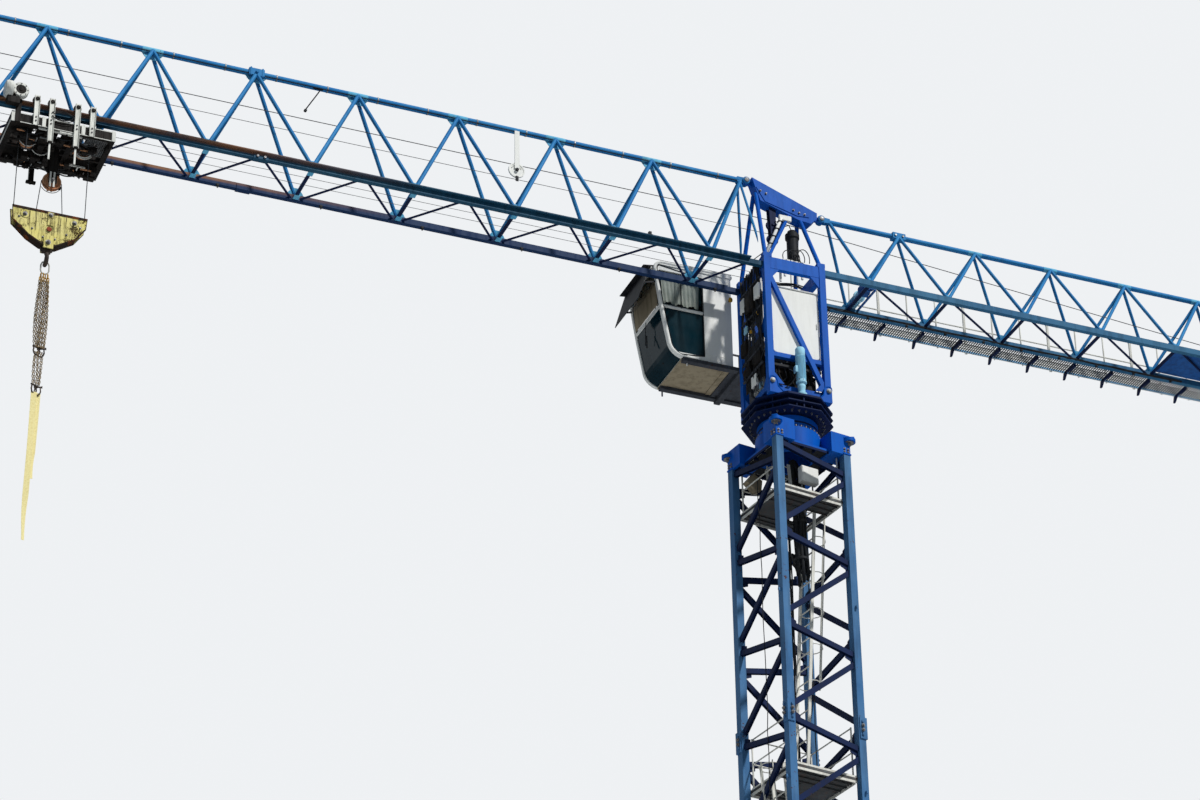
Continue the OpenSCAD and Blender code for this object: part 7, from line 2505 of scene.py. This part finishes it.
@dataclass
class HookBlock(Kit):
    """Grooved sheaves, dark rims, bolts, spacers and crosshead of the hook block, drawn from its upper edge.

    Attributes:
        outline: Corners of a side plate.
        plate_y: Outer face of a side plate.
        sheave_x: Distance of a sheave's axis from the middle.
        sheave_z: Height of the sheaves' axes.
    """

    name: str = "hook_block"
    body: Body = Body.BLOCK
    origin: Point = (HOOK_X, 0.0, 25.32)
    outline: tuple[tuple[float, float], ...] = ((-0.68, 0), (0.68, 0), (0.66, -0.231), (0.49, -0.483),
                                                (0.155, -0.7), (-0.127, -0.7), (-0.37, -0.56), (-0.65, -0.301))
    plate_y: float = 0.0895
    sheave_x: float = 0.4488
    sheave_z: float = -0.15

    def build(self) -> "HookBlock":
        """Models the block's pieces.
        """
        for side in (-1, 1):
            self.rim(side)
            if side > 0:
                self.lips()
            self.bolts(side)
        self.sheaves()
        for side in (-1, 1):
            self.cover(side)
        self.put(HOOK_STEEL, Shop.box((-0.085, -0.05, -0.82), (0.085, 0.05, -0.68), 0.018, 2),
                 Shop.tube((-0.11, 0, -0.76), (0.11, 0, -0.76), 0.035, 16, 0.006))
        self.streaks()
        for x, z in ((-0.25, -0.1), (0.25, -0.1), (-0.2, -0.4), (0.2, -0.4)):
            self.put(BLOCK_EDGE, Shop.tube((x, -0.064, z), (x, 0.064, z), 0.016, 8, 0.002))
        return self

    def rim(self, side: int) -> None:
        """Dark rim of one side plate: a rounded edge, a worn border below and a strip along the top.

        Args:
            side: -1 on the near side, 1 on the far side.
        """
        y = side * self.plate_y
        self.put(BLOCK_EDGE, Shop.rod([(x, y - side * 0.006, z) for x, z in (*self.outline, self.outline[0])],
                                      0.009))
        inner = [(x * 0.965, 0.02 + z * 0.93 - 0.04) for x, z in self.outline]
        border = [(x, y, z) for x, z in (*self.outline[2:], *reversed(inner[2:]))]
        self.put(BLOCK_EDGE, Shop.sheet(border, (0, side * 0.003, 0)),
                 Shop.box((-0.675, y, -0.05), (0.675, y + side * 0.004, 0.004), 0.0015))

    def lips(self) -> None:
        """Narrow strips that close the block along its edges, and wide ones along the lower edges.

        The wide strip at the lower left ends short of the rope that hangs there.
        """
        for (x0, z0), (x1, z1) in zip(self.outline[1:], (*self.outline[2:], self.outline[0])):
            lip = Shop.sheet([(x0, -0.09, z0 - 0.004), (x1, -0.09, z1 - 0.004), (x1, -0.09, z1 + 0.001),
                              (x0, -0.09, z0 + 0.001)], (0, 0.026, 0))
            self.put(BLOCK_EDGE, *Shop.shifted(lip, [(0, 0, 0), (0, 0.154, 0)]))
            if max(z0, z1) < -0.24:
                short = 0.2 if z1 > -0.35 else 0.0
                x2, z2 = x1 + short * (x0 - x1), z1 + short * (z0 - z1)
                self.put(BLOCK_EDGE,
                         Shop.sheet([(x0, -0.064, z0 - 0.004), (x2, -0.064, z2 - 0.004),
                                     (x2, -0.064, z2 + 0.001), (x0, -0.064, z0 + 0.001)], (0, 0.128, 0)))

    def bolts(self, side: int) -> None:
        """Bosses and nuts on the sheaves' axes, and the plate's bolts.

        Args:
            side: -1 on the near side, 1 on the far side.
        """
        y = side * self.plate_y
        for x in (-self.sheave_x, self.sheave_x):
            self.put(HOOK_YELLOW,
                     Shop.turned([(0.001, y + side * 0.012), (0.075, y + side * 0.012), (0.085, y)],
                                 (x, 0, self.sheave_z), Axis.Y, 24))
            self.put(BOLT_STEEL, Shop.nut((x, y + side * 0.012, self.sheave_z), (0, side, 0), 0.06, 0.03))
        nut = Shop.nut((0, 0, 0), (0, side, 0), 0.03, 0.018)
        spots = ((-0.55, -0.22), (-0.3, -0.42), (-0.1, -0.56), (0.12, -0.56), (0.32, -0.42), (0.56, -0.22),
                 (0, -0.1))
        self.put(BOLT_STEEL, *Shop.shifted(nut, [(x, y, z) for x, z in spots]))

    def sheaves(self) -> None:
        """The two rope sheaves on their axles."""
        for x in (-self.sheave_x, self.sheave_x):
            self.put(SHEAVE_ORANGE, Shop.wheel((x, 0, self.sheave_z), 0.19, 0.05, 0.016, 0.05))
            self.put(ROLLER_STEEL, Shop.tube((x, -0.0645, self.sheave_z), (x, 0.0645, self.sheave_z), 0.028,
                                             14, 0.002))

    def cover(self, side: int) -> None:
        """Raised plates, red cap and large nuts on one side plate.

        Args:
            side: -1 on the near side, 1 on the far side.
        """
        y = side * 0.09
        self.put(HOOK_YELLOW, Shop.box((-0.04, y, -0.3), (0.07, y + side * 0.02, -0.02), 0.006),
                 Shop.box((-0.09, y, -0.78), (0.1, y + side * 0.02, -0.5), 0.01))
        self.put(SIGNAL_RED,
                 Shop.turned([(0.001, y + side * 0.026), (0.04, y + side * 0.026), (0.048, y + side * 0.018)],
                             (0, 0, -0.38), Axis.Y, 18))
        self.put(BOLT_STEEL, Shop.nut((0.015, y + side * 0.02, -0.08), (0, side, 0), 0.06, 0.03),
                 Shop.nut((0, y + side * 0.02, -0.66), (0, side, 0), 0.07, 0.04))

    def streaks(self) -> None:
        """Streaks of grease that run down both side plates."""
        for x, low, high in ((-0.52, -0.24, -0.06), (-0.36, -0.4, -0.05), (-0.24, -0.46, -0.16),
                             (-0.14, -0.3, -0.06), (0.2, -0.42, -0.08), (0.3, -0.3, -0.05),
                             (0.42, -0.36, -0.22), (0.53, -0.22, -0.06)):
            for side in (-1, 1):
                y = side * (self.plate_y + 0.0002)
                self.put(BLOCK_EDGE,
                         Shop.sheet([(x - 0.004, y, high), (x + 0.007, y, high - 0.02), (x + 0.002, y, low),
                                     (x - 0.005, y, low + 0.03)], (0, side * 0.0012, 0)))


@dataclass
class Slings(Kit):
    """Hook, oval link, connectors, chain strands, shackles and webbing straps.

    Attributes:
        link_top: Top of the oval link, where it lies in the hook.
        chain_top: Where the chains start.
        chain_length: Length of the chain slings.
    """

    name: str = "slings"
    body: Body = Body.HOOK
    origin: Point = (HOOK_X, 0.0, 0.0)
    link_top: float = 24.3302
    chain_top: float = 24.0402
    chain_length: float = 2.43

    def build(self) -> "Slings":
        """Models the pieces from the hook's nut down to the straps.
        """
        self.hook()
        self.link()
        self.chains()
        self.shackles()
        return self

    def hook(self) -> None:
        """Forged hook that tapers to its tip, with its nut, collar and safety latch."""
        centre = Vector((0, 0, 24.362))
        points, widths = [(0, 0, 24.6), (0, 0, 24.52)], [0.028, 0.028]
        for angle, width in ((90, 0.03), (115, 0.033), (140, 0.034), (165, 0.035), (190, 0.036), (215, 0.037),
                             (240, 0.038), (265, 0.038), (290, 0.036), (315, 0.032), (335, 0.025), (352, 0.016),
                             (362, 0.008)):
            turn = math.radians(angle)
            points.append(centre + Vector((0, 0.107 * math.cos(turn), 0.107 * math.sin(turn))))
            widths.append(width)
        self.put(HOOK_STEEL, Shop.rod(points, 1.0, 3, widths))
        self.put(HOOK_STEEL,
                 Shop.turned([(0.001, 24.617), (0.034, 24.617), (0.034, 24.5), (0.03, 24.488), (0.001, 24.486)],
                             (0, 0, 0), Axis.Z, 20))
        self.put(ZINC,
                 Shop.sheet([(-0.012, 0.008, 24.464), (-0.012, 0.02, 24.468), (-0.012, 0.098, 24.368),
                             (-0.012, 0.088, 24.362)], (0.024, 0, 0), 0.002))

    def oval(self, top: float, width: float, length: float, radius: float, x: float = 0.0, y: float = 0.0,
             turn: float = 0.0) -> bpy.types.Object:
        """A closed oval link that hangs from a height.

        Args:
            top: Height of its upper edge.
            width: Outer width.
            length: Outer length.
            radius: Radius of the bar.
            x: Offset along X from the hook.
            y: Offset along Y.
            turn: Angle about the vertical in degrees.

        Returns:
            The piece.
        """
        bend = width / 2 - radius
        line = []
        for start, z in ((0, top - width / 2), (180, top - length + width / 2)):
            for step in range(5):
                a = math.radians(start + 45 * step)
                line.append((bend * math.cos(a), 0, z + bend * math.sin(a)))
        piece = Shop.rod([*line, line[0]], radius, 1)
        piece.data.transform(Matrix.Translation((x, y, 0)) @ Matrix.Rotation(math.radians(turn), 4, "Z"))
        return piece

    def link(self) -> None:
        """White oval link in the hook, and four gold connectors with their pins below it."""
        self.put(LINK_WHITE, self.oval(self.link_top, 0.18, 0.29, 0.015))
        for x, y, turn in ((-0.06, 0.004, 24), (-0.02, -0.012, 8), (0.022, 0.012, -10), (0.062, -0.004, -26)):
            self.put(CONNECTOR_GOLD, self.oval(self.chain_top + 0.032, 0.05, 0.1, 0.009, x, y, turn + 80),
                     self.oval(self.chain_top - 0.05, 0.052, 0.09, 0.01, x * 1.15, y, turn))
            self.put(CONNECTOR_GOLD,
                     Shop.tube((x * 1.1 - 0.02, y, self.chain_top - 0.058),
                               (x * 1.1 + 0.02, y, self.chain_top - 0.058), 0.011, 8, 0.002))

    def chains(self) -> None:
        """Strands of chain links that hang side by side with a little slack, then the thinner lower ones."""
        link = self.oval(0.0, 0.036, 0.062, 0.0066)
        link.data.transform(Matrix.Translation((0, 0, 0.031)))
        moves, mid, low = [], self.chain_top - 0.64 * self.chain_length, self.chain_top - self.chain_length
        for x0, x1, y, seed in ((-0.085, -0.112, 0.008, 1), (-0.068, -0.09, -0.02, 2),
                                (-0.05, -0.066, 0.016, 3), (-0.034, -0.044, -0.012, 4),
                                (-0.016, -0.02, 0.02, 5), (0.0, 0.002, -0.018, 6), (0.018, 0.024, 0.012, 7),
                                (0.036, 0.048, -0.016, 8), (0.052, 0.07, 0.018, 14), (0.07, 0.092, -0.01, 15),
                                (0.086, 0.112, 0.006, 16)):
            draw = random.Random(seed)
            count = int((self.chain_top - 0.12 - mid) / 0.048)
            for step in range(count):
                share = step / count
                x = x0 + (x1 - x0) * math.sin(math.pi * share) + 0.006 * math.sin(5 * share + seed)
                z = self.chain_top - 0.14 - 0.048 * step
                moves.append(Matrix.Translation((x, y, z)) @
                             Matrix.Rotation(math.radians(90 * (step % 2) + draw.uniform(-22, 22)), 4, "Z"))
        for x, y, seed in ((-0.066, 0.0, 9), (-0.04, 0.014, 10), (-0.012, -0.012, 11), (0.016, 0.014, 17),
                           (0.042, -0.008, 12), (0.068, 0.004, 13)):
            draw = random.Random(seed)
            for step in range(int((mid - low - 0.16) / 0.048)):
                moves.append(Matrix.Translation(
                    (x + 0.008 * math.sin(0.3 * step + seed), y, mid - 0.06 - 0.048 * step)) @
                             Matrix.Rotation(math.radians(90 * (step % 2) + draw.uniform(-20, 20)), 4, "Z"))
        self.put(CHAIN_STEEL, *Shop.copies(link, moves))

    def bow(self, z: float, width: float, radius: float, x: float = 0.0, turn: float = 0.0) -> list[
        bpy.types.Object]:
        """A bow shackle with its pin, its pin at the top.

        Args:
            z: Height of the pin.
            width: Outer width.
            radius: Radius of the bar.
            x: Offset along X from the hook.
            turn: Angle about the vertical in degrees.

        Returns:
            The bow, the pin and the pin's head.
        """
        line = [(width * 0.42, 0, z), (width * 0.44, 0, z - 0.05), (width * 0.5, 0, z - 0.09),
                (width * 0.36, 0, z - 0.14), (0, 0, z - 0.165), (-width * 0.36, 0, z - 0.14),
                (-width * 0.5, 0, z - 0.09), (-width * 0.44, 0, z - 0.05), (-width * 0.42, 0, z)]
        pieces = [Shop.rod(line, radius, 1),
                  Shop.tube((-width * 0.62, 0, z), (width * 0.6, 0, z), radius * 1.2, 10, 0.003),
                  Shop.tube((width * 0.6, 0, z), (width * 0.74, 0, z), radius * 1.9, 8, 0.003)]
        for piece in pieces:
            piece.data.transform(Matrix.Translation((x, 0, 0)) @ Matrix.Rotation(math.radians(turn), 4, "Z"))
        return pieces

    def shackles(self) -> None:
        """Dark shackles between the chains, and those that hold the straps."""
        mid, low = self.chain_top - 0.64 * self.chain_length, self.chain_top - self.chain_length
        self.put(HOOK_STEEL, *self.bow(mid + 0.06, 0.13, 0.014, -0.035, 18),
                 *self.bow(mid + 0.03, 0.12, 0.013, 0.045, -24))
        self.put(HOOK_STEEL, *self.bow(low + 0.16, 0.12, 0.014, -0.03, 30),
                 *self.bow(low + 0.13, 0.11, 0.013, 0.035, -15))

    def straps(self, rests_on: Sequence[bpy.types.Object]) -> None:
        """Hangs the two webbing straps, each a woven sheet that waves a little.

        Args:
            rests_on: Pieces that hold the straps; not used.
        """
        top, width = self.chain_top - self.chain_length + 0.02, 0.105
        for name, x, y, share, seed in (("long", -0.032, -0.014, 1.0, 1), ("short", 0.036, 0.014, 0.58, 4)):
            length = 2.9 * share + 0.015
            draw = random.Random(seed)
            phase, bend = draw.uniform(0, 6), draw.uniform(0.003, 0.005)

            def wave(place: Vector, down: float) -> None:
                """Bends the strap to and fro and twists its narrow lower end."""
                narrow = min(1.0, max(0.0, (down - 0.7) / 0.25))
                place.y += bend * math.sin(9 * down + phase) + 0.004 * math.sin(40 * place.x) * math.sin(
                    5 * down)
                place.x = (place.x * (1 - 0.5 * narrow) + 0.008 * math.sin(4 * down + phase)
                           + 0.02 * narrow * math.sin(7 * down))
                place.y += 0.4 * narrow * place.x

            strap = Shop.cloth(width, length, (4, 64), wave)
            for item in strap.data.uv_layers.active.data:
                item.uv.y *= length / width
            self.settle(strap, f"{name}_strap", (x, y, top - length / 2))
            Shop.thicken(strap, 0.005)
            self.fasten(strap, SLING_YELLOW)
            if name == "long":
                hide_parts("webbing_slings")


NODE_FINISH: dict[str, Finish] = {"base_cross": BASE_BLUE, "mast_legs": LEG_BLUE, "mast_fish_plates": LEG_BLUE,
                                  "mast_bracing_front": BRACE_NAVY, "mast_bracing_left": BRACE_NAVY,
                                  "mast_bracing_right": BRACE_NAVY, "mast_bracing_rear": BRACE_NAVY,
                                  # The landings take zinc darkened as painted shade.
                                  "mast_ladders": LADDER_WHITE, "mast_landings": SHADE_DARK_ZINC,
                                  "ring_support": DEEP_BLUE, "slewing_ring": DEEP_BLUE, "slewing_deck": NAVY,
                                  "slewing_motors": MOTOR_BLUE, "column_frame": DEEP_BLUE,
                                  "column_feet": DEEP_BLUE, "column_ladder": LADDER_WHITE,
                                  "switch_cabinet": WHITE, "head_beam": DEEP_BLUE, "head_sheaves": NAVY,
                                  "head_struts": DEEP_BLUE, "cab_walls": WHITE, "cab_floor": BEIGE,
                                  "cab_roof": WHITE, "cab_glazing": CAB_GLASS, "cab_door": WHITE,
                                  "cab_visor": BLACK, "cab_platform": PLATFORM, "jib_top_chord": SKY_BLUE,
                                  "jib_bottom_chords": RAIL_STEEL, "jib_lattice_near": SKY_BLUE,
                                  "jib_lattice_far": SKY_BLUE, "jib_floor_lattice": NAVY, "jib_tip": SKY_BLUE,
                                  "jib_ropes": WIRE, "rope_guides": WHITE, "counter_jib_top_chord": SKY_BLUE,
                                  "counter_jib_bottom_chords": CHORD_TEAL, "counter_jib_lattice_near": SKY_BLUE,
                                  "counter_jib_lattice_far": SKY_BLUE, "counter_jib_floor": NAVY,
                                  "walkway": WALKWAY, "handrails": LADDER_WHITE, "hoist_winch": WINCH_BLUE,
                                  "ballast_slabs": CONCRETE, "trolley_frame": DARK_GRIME_AND_SHADE,
                                  "trolley_rollers": ROLLER_STEEL, "trolley_sheaves": SHEAVE_ORANGE,
                                  "hoist_falls_outer": WIRE, "hoist_falls_inner": WIRE,
                                  "hook_block_plates": HOOK_YELLOW, "hook_block_sheaves": SHEAVE_ORANGE,
                                  "load_hook": HOOK_STEEL, "sling_chains": CHAIN_STEEL,
                                  "webbing_slings": SLING_YELLOW,}


def dress_frame() -> None:
    """Gives every CAD node its finish."""
    for name, finish in NODE_FINISH.items():
        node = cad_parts[name]
        node.data.materials.clear()
        node.data.materials.append(finish.material())


def build_crane() -> None:
    """Builds each sub-assembly's pieces and puts them in place of the CAD nodes that they stand for."""
    for kit in (Mast(), Ring(), Column(), Head(), Cab()):
        kit.build().dress()
    Jib().build().dress({WHITE: ("rope_guides",)})
    SlewingHead().build().dress({MOTOR_BLUE: ("slewing_motors",)})
    CounterJib().build().dress({LADDER_WHITE: ("handrails",), PLATFORM: ("walkway",)})
    Trolley().build().dress({ROLLER_STEEL: ("trolley_rollers",), SHEAVE_ORANGE: ("trolley_sheaves",)})
    HookBlock().build().dress({SHEAVE_ORANGE: ("hook_block_sheaves",)})
    slings = Slings()
    pieces = slings.build().dress({HOOK_STEEL: ("load_hook",), CHAIN_STEEL: ("sling_chains",)})
    slings.straps([piece for piece in pieces if HOOK_STEEL.name in piece.name])


def main() -> None:
    """Builds the studio, the crane's sub-assemblies and their finishes in order."""
    Studio().build()
    dress_frame()
    build_crane()


if __name__ == "__main__":
    logging.basicConfig(level=logging.INFO, format="%(name)s: %(message)s")
    main()
